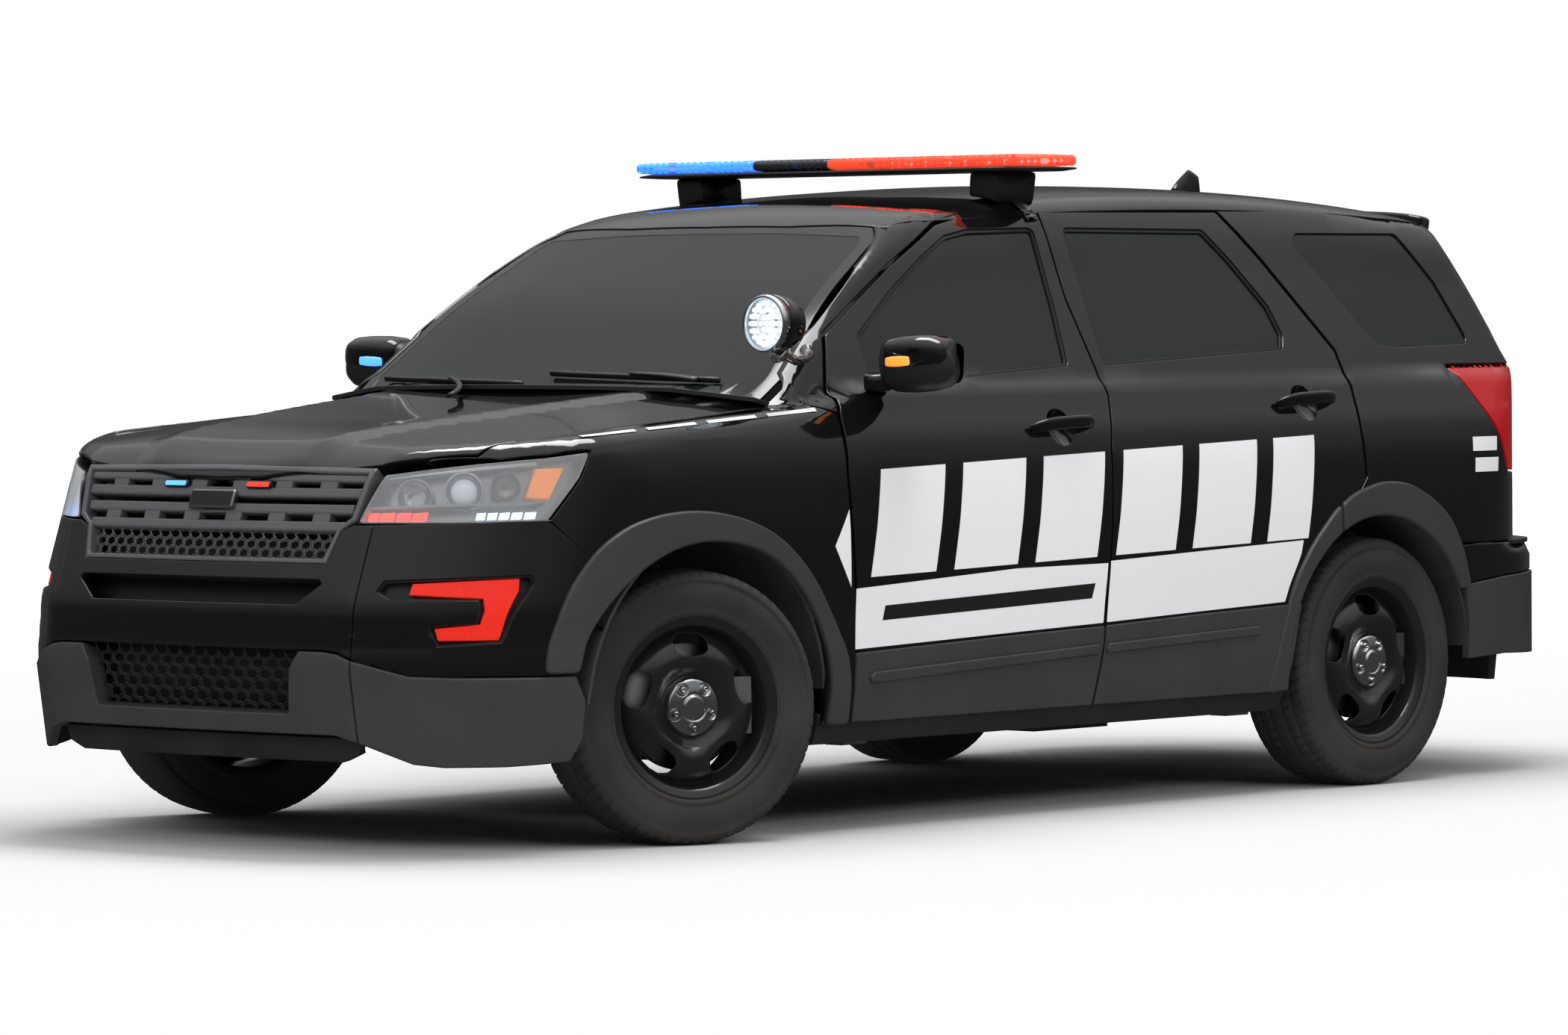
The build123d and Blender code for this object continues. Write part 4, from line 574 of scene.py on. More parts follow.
def fill(loops, step):
    """Triangles of the first loop without the others: points, triangles, and each loop's indices."""
    points, edges, spans = [], [], []
    for loop in loops:
        first = len(points)
        points += [tuple(q) for q in loop]
        spans.append(list(range(first, len(points))))
        edges += [(first + k, first + (k + 1) % len(loop)) for k in range(len(loop))]
    rim = np.array(points)
    low, high = rim.min(0), rim.max(0)
    xs = np.arange(low[0] + step / 2, high[0], step)
    ys = np.arange(low[1] + step / 2, high[1], step * 0.866)
    grid = np.array([(x + (step / 2 if j % 2 else 0), y) for j, y in enumerate(ys) for x in xs] or [low])
    keep = contains(loops[0], grid)
    for loop in loops[1:]:
        keep &= ~contains(loop, grid)
    grid = grid[keep]
    if len(grid):
        gap = np.min(np.linalg.norm(grid[:, None, :] - rim[None, ::1, :], axis=2), axis=1)
        points += [tuple(q) for q in grid[gap > 0.55 * step]]
    found, _, faces, origins, _, _ = geometry.delaunay_2d_cdt([Vector(q) for q in points], edges, [], 0, 1e-7)
    flat = np.array([tuple(q) for q in found])
    middles = np.array([flat[list(f)].mean(0) for f in faces])
    keep = contains(loops[0], middles)
    for loop in loops[1:]:
        keep &= ~contains(loop, middles)
    where = {old: new for new, olds in enumerate(origins) for old in olds}
    return flat, [tuple(f) for f, k in zip(faces, keep) if k], [[where[i] for i in span] for span in spans]


def new_piece(name, points, faces, looks, face_looks=None, normals=None, smooth=True):
    """A mesh object at the origin with its finishes, named in order."""
    mesh = bpy.data.meshes.new(name)
    mesh.from_pydata([tuple(p) for p in points], [], [tuple(f) for f in faces])
    for look in looks:
        mesh.materials.append(FINISHES[look])
    if face_looks is not None:
        mesh.polygons.foreach_set("material_index", np.asarray(face_looks, np.int32))
    mesh.polygons.foreach_set("use_smooth", [smooth] * len(mesh.polygons))
    if mesh.validate(verbose=False, clean_customdata=False):
        print("mended", name)
    mesh.update()
    if normals is not None:
        mesh.normals_split_custom_set_from_vertices([Vector(n).normalized() for n in normals])
    piece = bpy.data.objects.new(name, mesh)
    bpy.context.scene.collection.objects.link(piece)
    return piece


def shell(flat_loops, surface, step, depth, roll, edge_step):
    """Points, faces, face kinds (0 outside, 1 edge, 2 back) and normals of a thick panel."""
    loops = [spaced(loop, edge_step) for loop in flat_loops]
    loops = [loop if (area(loop) > 0) == (k == 0) else loop[::-1] for k, loop in enumerate(loops)]
    inner = [moved_in(loop, roll) for loop in loops]
    flat, faces, spans = fill([[tuple(q) for q in loop] for loop in inner], step)
    points, normals = surface(flat)
    count = len(flat)
    all_points = [points, points - depth * normals]
    all_normals = [normals, -normals]
    faces = [f if area([flat[i] for i in f]) > 0 else f[::-1] for f in faces]
    quads, kinds = [], [0] * len(faces) + [2] * len(faces)
    total = 2 * count
    for loop, span in zip(loops, spans):
        middle, edge = moved_in(loop, 0.3 * roll), np.array(loop)
        pm, nm = surface(middle)
        pe, ne = surface(edge)
        away = pe - points[span]
        away -= ne * np.sum(away * ne, axis=1, keepdims=True)
        away /= np.maximum(np.linalg.norm(away, axis=1, keepdims=True), 1e-9)
        n = len(loop)
        rings = [np.array(span), total + np.arange(n), total + n + np.arange(n),
                 total + 2 * n + np.arange(n), count + np.array(span)]
        all_points += [pm - 0.3 * roll * nm, pe - roll * ne, pe - depth * ne]
        all_normals += [nm * 0.6 + away * 0.8, away, away]
        total += 3 * n
        for a, b in zip(rings, rings[1:]):
            quads += [(a[k], b[k], b[(k + 1) % n], a[(k + 1) % n]) for k in range(n)]
    backs = [tuple(count + i for i in f[::-1]) for f in faces]
    kinds += [1] * len(quads)
    return (np.concatenate(all_points), faces + backs + quads, kinds, np.concatenate(all_normals))


def panel(name, body, outline, view="side", looks=("black_paint", "black_paint", "dark_plastic"), holes=(),
          inset=0.0, depth=0.004, roll=0.002, step=0.035, edge_step=0.012, hand=LEFT, surface=None,
          replaces=(), slot="body_paint", bend=None):
    """A panel of the body: an outline with holes, pushed onto the form, on the left or right."""
    def place(flat):
        points, normals = surface(flat) if surface else on_form(view, flat, inset)
        return (points, normals) if bend is None else bend(points, normals)
    points, faces, kinds, normals = shell([list(outline), *map(list, holes)], place, step, depth, roll, edge_step)
    first, second, inwards, _ = VIEWS[view]
    if surface is None and np.dot(np.cross(first, second), inwards) > 0:
        faces = [f[::-1] for f in faces]
    if hand == RIGHT:
        points, normals = points * (-1, 1, 1), normals * (-1, 1, 1)
        faces = [f[::-1] for f in faces]
    piece = new_piece(name, points, faces, looks, kinds, normals)
    return carried(piece, body, replaces)


def carried(piece, body, replaces=()):
    """The piece rides on a body and may stand for frame nodes."""
    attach(piece, body)
    if replaces:
        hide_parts(*replaces)
    return piece


def both_hands(make):
    """Calls a maker for the left and for the right side."""
    for hand, word in HANDS.items():
        make(hand, word)


print("panel maker ready")

# %% [markdown]
# The panels' outlines are millimetres in a side view (length, height), a front view or a
# plan. Corner panels are outlined by points taken from two of those views.

# %% Outline helpers
VIEWS["shoulder"] = ((0, 1, 0), (-S, 0, S), (-S, 0, -S), 2.6)


def ccw(outline):
    return list(outline) if area(outline) > 0 else list(outline)[::-1]


def skin(outline, gap=0.0025, corner=0.012):
    """A panel's own outline inside its gap, with small round corners."""
    return softened([tuple(q) for q in moved_in(ccw(outline), gap)], corner)


def grown(outline, amount, corner=0.02):
    return softened([tuple(q) for q in moved_in(ccw(outline), -amount)], corner)


def seen_from(view, *runs):
    """Flat points of a view, from runs of (view they are given in, flat points)."""
    first, second = (np.array(v, float) for v in VIEWS[view][:2])
    flat = []
    for given, outline in runs:
        points, _ = on_form(given, outline)
        flat += [(float(p @ first), float(p @ second)) for p in points]
    return flat


def stepped(rows, step=0.04):
    """An open run of points with no long edges, so that it follows a curved form."""
    points = [rows[0]]
    for (ax, ay), (bx, by) in zip(rows, rows[1:]):
        count = max(1, math.ceil(math.hypot(bx - ax, by - ay) / step))
        points += [(ax + (bx - ax) * k / count, ay + (by - ay) * k / count) for k in range(1, count + 1)]
    return points


def straight(a, b, count=10):
    return [(a[0] + (b[0] - a[0]) * k / count, a[1] + (b[1] - a[1]) * k / count) for k in range(count + 1)]


def arc(centre, radius, start, end, count=24):
    """Points of a circular arc, angles in degrees."""
    return [(centre[0] + radius * math.cos(math.radians(start + (end - start) * k / count)),
             centre[1] + radius * math.sin(math.radians(start + (end - start) * k / count)))
            for k in range(count + 1)]


FRONT_WHEEL, REAR_WHEEL = (-1.525, 0.363), (1.335, 0.363)
FRONT_ARCH, REAR_ARCH = 0.458, 0.440

# %% [markdown]
# The doors are the largest gloss areas. Each is one thick panel with its window cut out,
# painted outside and trimmed inside, and it rides on its door's body with its glass.

# %% Doors and side glass
B_LINE = mm((34, 292), (76, 470), (137, 1010), (192, 1156), (186, 1236), (159, 1429), (170, 1677))
FRONT_DOOR = mm((-972, 292), (-944, 400), (-953, 532), (-973, 833), (-973, 953), (-951, 1122), (-858, 1337),
                (-520, 1525), (-275, 1639), (-136, 1666)) + B_LINE[::-1]
REAR_DOOR = B_LINE + mm((963, 1680), (984, 1654), (1091, 1534), (1191, 1402), (1292, 1271), (1300, 1161),
                        (1279, 1031), (1274, 901), (1145, 765))
REAR_DOOR += arc(REAR_WHEEL, REAR_ARCH, 117, 189)
FRONT_WINDOW = mm((-735, 1333), (-557, 1450), (-380, 1550), (-260, 1606), (-156, 1624), (120, 1629), (100, 1400),
                  (75, 1240), (-371, 1214), (-738, 1214))
REAR_WINDOW = mm((245, 1629), (865, 1625), (952, 1534), (1052, 1403), (1073, 1320), (1051, 1277), (228, 1240))
QUARTER_WINDOW = mm((1295, 1615), (1262, 1580), (1346, 1490), (1448, 1357), (1515, 1286), (1617, 1278),
                    (1980, 1286), (1905, 1470), (1790, 1615))
DOOR_DEPTH = 0.058
HANDLES = {"front_door": (-0.062, 1.072), "rear_door": (1.054, 1.122)}
CUP_LENGTH, CUP_HEIGHT, CUP_DEPTH = 0.105, 0.100, 0.022
DOORS = {"front_door": (FRONT_DOOR, FRONT_WINDOW), "rear_door": (REAR_DOOR, REAR_WINDOW)}


def ellipse(middle, length, height, count=40):
    return [(middle[0] + length / 2 * math.cos(2 * math.pi * k / count),
             middle[1] + height / 2 * math.sin(2 * math.pi * k / count)) for k in range(count)]


def cup_surface(middle):
    """The door's surface, dished round a handle so that fingers fit behind it."""
    def place(flat):
        points, normals = on_form("side", flat)
        u = (flat[:, 0] - middle[0]) / (CUP_LENGTH / 2)
        v = (flat[:, 1] - middle[1]) / (CUP_HEIGHT / 2)
        depth = CUP_DEPTH * np.clip(1 - u * u - v * v, 0, 1)
        slope = np.stack([0 * u, -2 * CUP_DEPTH * u / (CUP_LENGTH / 2), -2 * CUP_DEPTH * v / (CUP_HEIGHT / 2)], axis=1)
        tilted = normals + slope
        return points - depth[:, None] * normals, tilted / np.linalg.norm(tilted, axis=1, keepdims=True)
    return place


def door(hand, word, which):
    outline, window = DOORS[which]
    name = f"{which}_{word}"
    cup = ellipse(HANDLES[which], CUP_LENGTH, CUP_HEIGHT)
    panel(f"{which}_skin_{word}", name, skin(outline), holes=[softened(window, 0.022), cup], depth=DOOR_DEPTH,
          roll=0.003, looks=("black_paint", "black_paint", "cabin_plastic"), hand=hand, replaces=[name])
    panel(f"{which}_handle_cup_{word}", name, grown(cup, 0.002, 0.001), surface=cup_surface(HANDLES[which]),
          depth=0.003, roll=0.0005, step=0.008, edge_step=0.006, looks=("black_paint",) * 3, hand=hand)
    panel(f"{which}_pane_{word}", name, grown(window, 0.010), inset=0.010, depth=0.004, roll=0.001,
          looks=("dark_glass", "dark_glass", "dark_glass"), hand=hand, replaces=[f"{which}_glass_{word}"],
          slot="tinted_glass")
    rim = [tuple(q) for q in moved_in(ccw(softened(window, 0.022)), 0.009)]
    panel(f"{which}_window_seal_{word}", name, grown(window, 0.004, 0.022), holes=[rim], inset=0.004, depth=0.005,
          roll=0.002, step=0.02, looks=("seal_rubber",) * 3, hand=hand, slot="satin_trim")


both_hands(lambda hand, word: [door(hand, word, which) for which in DOORS])

# %% [markdown]
# Behind the doors stands the body's side frame, with an entry for each door. The quarter
# panel with its window closes the side at the rear, and thin strips frame the windscreen.

# %% Body sides
FRONT_ENTRY = mm((-885, 420), (-885, 1110), (-740, 1336), (-557, 1450), (-380, 1550), (-260, 1600), (40, 1615),
                 (40, 1236), (10, 1010), (-20, 420))
REAR_ENTRY = mm((210, 420), (250, 1010), (275, 1236), (275, 1610), (850, 1610), (952, 1534), (1040, 1403),
                (1060, 1280), (1120, 1150), (1080, 900), (870, 640), (820, 420))
FRAME_OUTLINE = mm((-1010, 240), (-990, 1120), (-900, 1330), (-560, 1520), (-290, 1630), (-140, 1668), (1010, 1672),
                   (1330, 1500), (1330, 860), (1130, 760), (930, 560), (900, 240))
PILLAR_STRIP = mm((-1035, 1236), (-911, 1337), (-634, 1525), (-446, 1636), (-300, 1668), (-136, 1680),
                  (-136, 1672), (-275, 1645), (-520, 1531), (-864, 1343), (-957, 1128), (-1100, 1165))
QUARTER = (mm((1151, 771), (1280, 905), (1285, 1033), (1306, 1163), (1298, 1273), (1197, 1406), (1097, 1538),
              (990, 1658), (972, 1682), (1400, 1684), (1700, 1678), (1955, 1664), (2010, 1640), (2035, 1600),
              (2108, 1420),
              (2190, 1224), (1813, 1224), (1955, 1008), (2003, 900), (2180, 900), (2205, 697), (1800, 697))
           + arc(REAR_WHEEL, REAR_ARCH, 50, 114))


def body_side(hand, word):
    node = f"body_side_{word}"
    panel(f"side_frame_{word}", "root", ccw(FRAME_OUTLINE),
          holes=[softened(FRONT_ENTRY, 0.05), softened(REAR_ENTRY, 0.05)],
          inset=0.064, depth=0.045, roll=0.006, looks=("black_paint", "black_paint", "headliner"), hand=hand,
          replaces=[node], step=0.05)
    panel(f"quarter_panel_{word}", "root", skin(QUARTER, 0.0015, 0.006), holes=[softened(QUARTER_WINDOW, 0.03)],
          depth=0.035, roll=0.003, looks=("black_paint", "black_paint", "headliner"), hand=hand, replaces=[node])
    panel(f"quarter_pane_{word}", "root", grown(QUARTER_WINDOW, 0.010), inset=0.006, depth=0.004, roll=0.001,
          looks=("dark_glass",) * 3, hand=hand, replaces=["quarter_glass"], slot="tinted_glass")
    panel(f"screen_pillar_{word}", "root", ccw(PILLAR_STRIP), depth=0.06, roll=0.003, step=0.02, edge_step=0.008,
          looks=("gloss_plastic", "gloss_plastic", "headliner"), hand=hand, replaces=[node])
    panel(f"sill_{word}", "root", mm((-1085, 236), (915, 236), (915, 320), (-1085, 320)), inset=0.012, depth=0.02,
          roll=0.004, looks=("dark_plastic",) * 3, hand=hand, replaces=[node])


both_hands(body_side)

# %% [markdown]
# The fenders wrap from the wheel arch over the shoulder to the hood's edge, so they are
# outlined as seen from above at a slant, by points of the side and of the plan.

# %% Fenders and hood
HOOD_EDGE = mm((560, -2322), (665, -2264), (768, -2176), (792, -2060), (800, -1900), (806, -1500), (815, -1120))
HOOD_PLAN = mm((0, -2376), (150, -2374), (300, -2362), (450, -2342), (560, -2322), (665, -2264), (768, -2176),
               (792, -2060), (800, -1900), (806, -1500), (815, -1120), (600, -1150), (300, -1185), (0, -1196))


def whole(half):
    """Both halves of an outline that starts and ends on the middle line."""
    return half + [(-x, y) for x, y in half[-2:0:-1]]


def fender(hand, word):
    gap = mm((-978, 292), (-950, 400), (-959, 532), (-979, 833), (-979, 953), (-964, 1122))
    runs = [("side", stepped(mm((-1085, 292), (-978, 292)))), ("side", stepped(gap[1:])), ("side", mm((-1035, 1145))),
            ("top", mm((818, -1040))), ("top", stepped(HOOD_EDGE[::-1][:-1])),
            ("front", [(0.812, 1.024), (0.885, 1.034)]),
            ("side", stepped(mm((-1928, 1046), (-1966, 975), (-2056, 866), (-1960, 752))))]
    arch_run = [(y, z) for y, z in arc(FRONT_WHEEL, FRONT_ARCH, 152, 8, 36)]
    runs.append(("side", arch_run))
    runs.append(("side", mm((-1076, 292))))
    flat = seen_from("shoulder", *runs)
    panel(f"fender_skin_{word}", "root", ccw(flat), view="shoulder", depth=0.02, roll=0.003, step=0.03,
          looks=("black_paint", "black_paint", "undercoat"), hand=hand, replaces=[f"fender_{word}"])


both_hands(fender)
panel("hood_skin", "hood", skin(whole(HOOD_PLAN), 0.0025, 0.02), view="top", depth=0.03, roll=0.004, step=0.03,
      looks=("black_paint", "black_paint", "undercoat"), replaces=["hood"])

# %% [markdown]
# The roof is one pressing. The windscreen has a black printed band round a clear middle.

# %% Roof, windscreen and cowl
ROOF_PLAN = mm((0, -495), (300, -485), (632, -446), (655, -300), (664, -136), (666, 500), (664, 1300), (650, 1750),
               (630, 1962), (0, 1962))
SCREEN = [(0.0, 1.105), (0.4, 1.108), (0.78, 1.150), (0.790, 1.225), (0.650, 1.600), (0.632, 1.640), (0.3, 1.652),
          (0.0, 1.655)]
panel("roof_skin", "root", skin(whole(ROOF_PLAN), 0.001, 0.02), view="top", depth=0.02, roll=0.004, step=0.045,
      looks=("black_paint", "black_paint", "headliner"), replaces=["roof_panel"])
clear = [(0.0, 1.135), (0.4, 1.138), (0.735, 1.180), (0.745, 1.225), (0.618, 1.580), (0.595, 1.606), (0.3, 1.618),
         (0.0, 1.620)]
panel("windscreen_band", "root", ccw(softened(whole(SCREEN), 0.03)), view="front", inset=0.003, depth=0.005, roll=0.002,
      holes=[softened(whole(clear), 0.05)], looks=("gloss_plastic",) * 3, replaces=["windscreen"], slot="tinted_glass")
panel("windscreen_pane", "root", grown(softened(whole(clear), 0.05), 0.004, 0.05), view="front", inset=0.004,
      depth=0.005, roll=0.001, looks=("screen_glass",) * 3, slot="tinted_glass")
COWL = mm((0, -1290), (500, -1268), (815, -1175), (830, -1050), (770, -1010), (400, -1030), (0, -1040))


def cowl_surface(flat):
    """A shallow tray between the hood's rear edge and the windscreen's foot."""
    x, y = flat.T
    height = 1.150 + 0.055 * np.clip((-y - 1.05) / 0.2, 0, 1) - 0.02 * x ** 2
    normals = np.tile([0.0, 0.15, 0.99], (len(flat), 1))
    return np.stack([x, y, height], axis=1), normals


panel("cowl_tray", "root", ccw(whole(COWL)), surface=cowl_surface, depth=0.012, roll=0.002,
      looks=("dark_plastic",) * 3, replaces=["cowl"], slot="satin_trim")

# %% [markdown]
# Along the foot of the car runs satin dark plastic: door cladding with a moulding, and a
# flare round each wheel arch. The front half of the rear flare rides on the rear door.

# %% Cladding and flares
FLARE_PROUD = 0.011
FRONT_FLARE = mm((-2105, 473), (-2096, 544), (-2040, 684), (-1944, 792), (-1838, 850), (-1720, 876), (-1605, 883),
                 (-1500, 876), (-1397, 856), (-1310, 826), (-1248, 792), (-1175, 735), (-1112, 665), (-1050, 575),
                 (-992, 478), (-979, 400), (-979, 292), (-1072, 292), (-1058, 400), (-1080, 500), (-1123, 585),
                 (-1170, 645), (-1220, 697), (-1290, 745), (-1371, 778), (-1460, 795), (-1552, 799), (-1660, 785),
                 (-1762, 748), (-1850, 698), (-1927, 632), (-1985, 560), (-2008, 473))
REAR_FLARE_OUTER = mm((815, 292), (828, 347), (870, 470), (922, 614), (1000, 715), (1104, 803), (1210, 860),
                      (1335, 889), (1420, 888), (1484, 877), (1580, 835), (1665, 775), (1725, 680), (1768, 562))
DOOR_TAIL = 1.146
MOULDINGS = {"front_door": mm((-905, 399), (42, 438), (48, 452), (44, 466), (-895, 430), (-912, 415)),
             "rear_door": mm((80, 439), (760, 464), (768, 477), (758, 490), (86, 467), (78, 452))}
CLADDING = {"front_door": mm((-966, 296), (34, 296), (45, 360), (70, 470), (74, 515), (-300, 505), (-963, 482)),
            "rear_door": mm((43, 296), (906, 296), (925, 400), (948, 512), (960, 546), (500, 533), (84, 516),
                            (79, 470), (55, 360))}


def flare(name, body, outline, hand, node_slot="satin_trim"):
    panel(name, body, ccw(softened(outline, 0.02, flowing=True)), inset=-FLARE_PROUD, depth=0.020, roll=0.009,
          step=0.02,
          edge_step=0.010, looks=("grey_cladding",) * 3, hand=hand, slot=node_slot)


def lower_trim(hand, word):
    flare(f"front_flare_{word}", "root", FRONT_FLARE, hand)
    arch = arc(REAR_WHEEL, REAR_ARCH - 0.014, 28, 189, 50)
    inner_front = [p for p in arch if p[0] < DOOR_TAIL - 0.004]
    inner_rear = [p for p in arch if p[0] > DOOR_TAIL + 0.002]
    outer_front = [p for p in REAR_FLARE_OUTER if p[0] < DOOR_TAIL - 0.02]
    outer_rear = [p for p in REAR_FLARE_OUTER if p[0] > DOOR_TAIL + 0.02]
    cut_low, cut_high = 0.745, 0.829
    front = outer_front + [(DOOR_TAIL - 0.004, cut_high), (DOOR_TAIL - 0.004, cut_low)] + inner_front
    rear = [(DOOR_TAIL + 0.002, cut_low), (DOOR_TAIL + 0.002, cut_high)] + outer_rear + inner_rear
    flare(f"rear_flare_front_{word}", f"rear_door_{word}", front, hand)
    flare(f"rear_flare_{word}", "root", rear, hand)
    for which in DOORS:
        panel(f"{which}_cladding_{word}", f"{which}_{word}", ccw(softened(CLADDING[which], 0.008)), inset=-0.007,
              depth=0.010, roll=0.004, step=0.03, looks=("grey_cladding",) * 3, hand=hand, slot="satin_trim")
        panel(f"{which}_moulding_{word}", f"{which}_{word}", ccw(softened(MOULDINGS[which], 0.006)), inset=-0.016,
              depth=0.012, roll=0.005, step=0.015, looks=("grey_cladding",) * 3, hand=hand, slot="satin_trim")


both_hands(lower_trim)

# %% [markdown]
# The doors carry a white graphic of plain slanted bars over a broad band.

# %% Door graphic
BAND = {"front_door": mm((-963, 492), (72, 524), (88, 690), (-300, 688), (-780, 664), (-963, 655)),
        "rear_door": mm((88, 525), (500, 540), (884, 553), (905, 600), (955, 690), (966, 728), (500, 711), (101, 696))}
BARS = {"front_door": (-0.905, -0.565, -0.225), "rear_door": (0.122, 0.460, 0.798)}
BAR_WIDTHS = {"front_door": (0.265, 0.265, 0.265), "rear_door": (0.262, 0.262, 0.190)}
SLANT, BAR_RISE = 0.22, 0.018
DASH_LENGTH, DASH_HEIGHT, DASH_RISE = 0.190, 0.014, 0.058
VINYL = dict(inset=-0.0010, depth=0.0008, roll=0.0003, step=0.05, slot="body_paint")


def bar_outline(start, width):
    """One slanted bar from the band's top line to the graphic's top line."""
    low = 0.690 + 0.026 * start + BAR_RISE
    high = 1.000 + 0.030 * start
    lean = SLANT * (high - low)
    return [(start, low), (start + width, low + 0.026 * width), (start + width + lean, high + 0.03 * width),
            (start + lean, high)]


def graphic(hand, word):
    white = ("white_vinyl",) * 3
    for which in DOORS:
        body = f"{which}_{word}"
        panel(f"{which}_band_{word}", body, ccw(BAND[which]), looks=white, hand=hand, **VINYL)
        for k, (start, width) in enumerate(zip(BARS[which], BAR_WIDTHS[which])):
            panel(f"{which}_bar_{k}_{word}", body, bar_outline(start, width), looks=white, hand=hand, **VINYL)
    panel(f"fender_bar_{word}", "root", ccw(mm((-1046, 772), (-984, 868), (-984, 660))), looks=white, hand=hand,
          **VINYL)
    stripe = mm((-855, 566), (20, 594), (34, 636), (-845, 606))
    style = {**VINYL, "inset": -0.0016}
    panel(f"front_door_stripe_{word}", f"front_door_{word}", ccw(stripe), looks=("black_vinyl",) * 3, hand=hand,
          **style)
    for k in range(2):
        low, high = 0.906 + 0.062 * k, 0.948 + 0.062 * k
        panel(f"quarter_mark_{k}_{word}", "root", [(1.800, low), (1.925, low), (1.933, high), (1.808, high)],
              looks=white, hand=hand, **VINYL)
    for k in range(4):
        start = -1.930 + 0.235 * k
        low, high = (1.080 + DASH_RISE * (y + 1.930) for y in (start, start + DASH_LENGTH))
        foot = seen_from("shoulder", ("side", straight((start, low), (start + DASH_LENGTH, high), 6)))
        flat = foot + [(u + 0.003, v + DASH_HEIGHT) for u, v in foot[::-1]]
        panel(f"fender_dash_{k}_{word}", "root", ccw(flat), view="shoulder", looks=white, hand=hand,
              **{**VINYL, "step": 0.008})


both_hands(graphic)

# %% [markdown]
# Long rounded things, such as handles, rails and wiper arms, are swept: a rounded
# rectangle of changing size is carried along a path and closed at both ends.

# %% Sweeps, lathes and handles
def sweep(name, body, path, up, half, look, sides=20, power=3.0, hand=LEFT, replaces=()):
    """A closed sweep: path points, an up direction, and half width and half height at each point."""
    path, half = np.array(path, float), np.array(half, float)
    along = np.gradient(path, axis=0)
    along /= np.linalg.norm(along, axis=1, keepdims=True)
    across = np.cross(along, np.array(up, float))
    across /= np.linalg.norm(across, axis=1, keepdims=True)
    above = np.cross(across, along)
    angles = np.arange(sides) * 2 * math.pi / sides
    c, s = np.cos(angles), np.sin(angles)
    ring_x = np.sign(c) * np.abs(c) ** (2 / power)
    ring_y = np.sign(s) * np.abs(s) ** (2 / power)
    rings = (path[:, None] + across[:, None] * (half[:, :1] * ring_x)[..., None]
             + above[:, None] * (half[:, 1:2] * ring_y)[..., None])
    points = rings.reshape(-1, 3)
    count = len(path)
    faces = [(i * sides + k, i * sides + (k + 1) % sides, (i + 1) * sides + (k + 1) % sides, (i + 1) * sides + k)
             for i in range(count - 1) for k in range(sides)]
    faces = [f[::-1] for f in faces]
    faces.append(tuple(range(sides)))
    faces.append(tuple((count - 1) * sides + k for k in reversed(range(sides))))
    if hand == RIGHT:
        points, faces = points * (-1, 1, 1), [f[::-1] for f in faces]
    piece = new_piece(name, points, faces, [look])
    piece.data.update()
    outward(piece)
    return carried(piece, body, replaces)


def outward(piece):
    """Turns a closed piece's faces outwards."""
    work = bmesh.new()
    work.from_mesh(piece.data)
    bmesh.ops.recalc_face_normals(work, faces=work.faces)
    work.to_mesh(piece.data)
    work.free()


def ease(count, start=0.0, end=1.0):
    return np.linspace(start, end, count)


def handle(hand, word, which):
    y, z = HANDLES[which]
    ts = ease(15, -1, 1)
    flat = np.stack([y + 0.135 * ts, z + 0.004 * ts], axis=1)
    points, normals = on_form("side", flat)
    lift = 0.036 * (1 - np.abs(ts) ** 4) + 0.004
    path = points + normals * lift[:, None]
    half = np.stack([np.full(15, 0.018), np.full(15, 0.010)], axis=1) * (1 - 0.55 * np.abs(ts[:, None]) ** 6)
    sweep(f"{which}_handle_{word}", f"{which}_{word}", path, (1, 0, 0), half, "black_paint", hand=hand)


both_hands(lambda hand, word: [handle(hand, word, which) for which in DOORS])
print("handles at", HANDLES)

# %% [markdown]
# The nose: a black bumper cover with a slot, a grille of satin bars above it and a grey
# valance round the lower grille below it. Its corners are panels seen at 45 degrees,
# joined to the middle along the same line of points.

# %% Bumper cover and valance
NOSE_SEAM = 0.585
SEAM_TOP, SEAM_LOW = 0.860, 0.517
SLOT = mm((390, 655), (462, 708), (452, 717), (-452, 717), (-462, 708), (-390, 655))
FOG = mm((628, 690), (640, 716), (900, 727), (907, 706), (871, 557), (765, 549), (745, 600), (830, 608), (835, 640),
         (830, 666), (660, 670))
cover_half = [(0.0, 0.538), (0.430, 0.538), (0.500, 0.538), (0.546, 0.533), (NOSE_SEAM, SEAM_LOW),
              (NOSE_SEAM, SEAM_TOP),
              (0.523, 0.859), (0.486, 0.845), (0.462, 0.760), (0.0, 0.760)]
valance_half = [(0.0, 0.318), (0.520, 0.318), (NOSE_SEAM, 0.300), (NOSE_SEAM, SEAM_LOW - 0.004), (0.546, 0.529),
                (0.500, 0.534), (0.415, 0.534), (0.385, 0.489), (0.366, 0.372), (0.0, 0.372)]


def corner_panel(name, hand, runs, looks, inset=0.0, depth=0.02, roll=0.003, holes=(), slot="body_paint", step=0.03,
                 replaces=(), view="corner"):
    flat = seen_from(view, *runs)
    return panel(name, "root", ccw(flat), view=view, inset=inset, depth=depth, roll=roll, holes=holes, looks=looks,
                 hand=hand, slot=slot, step=step, replaces=replaces)


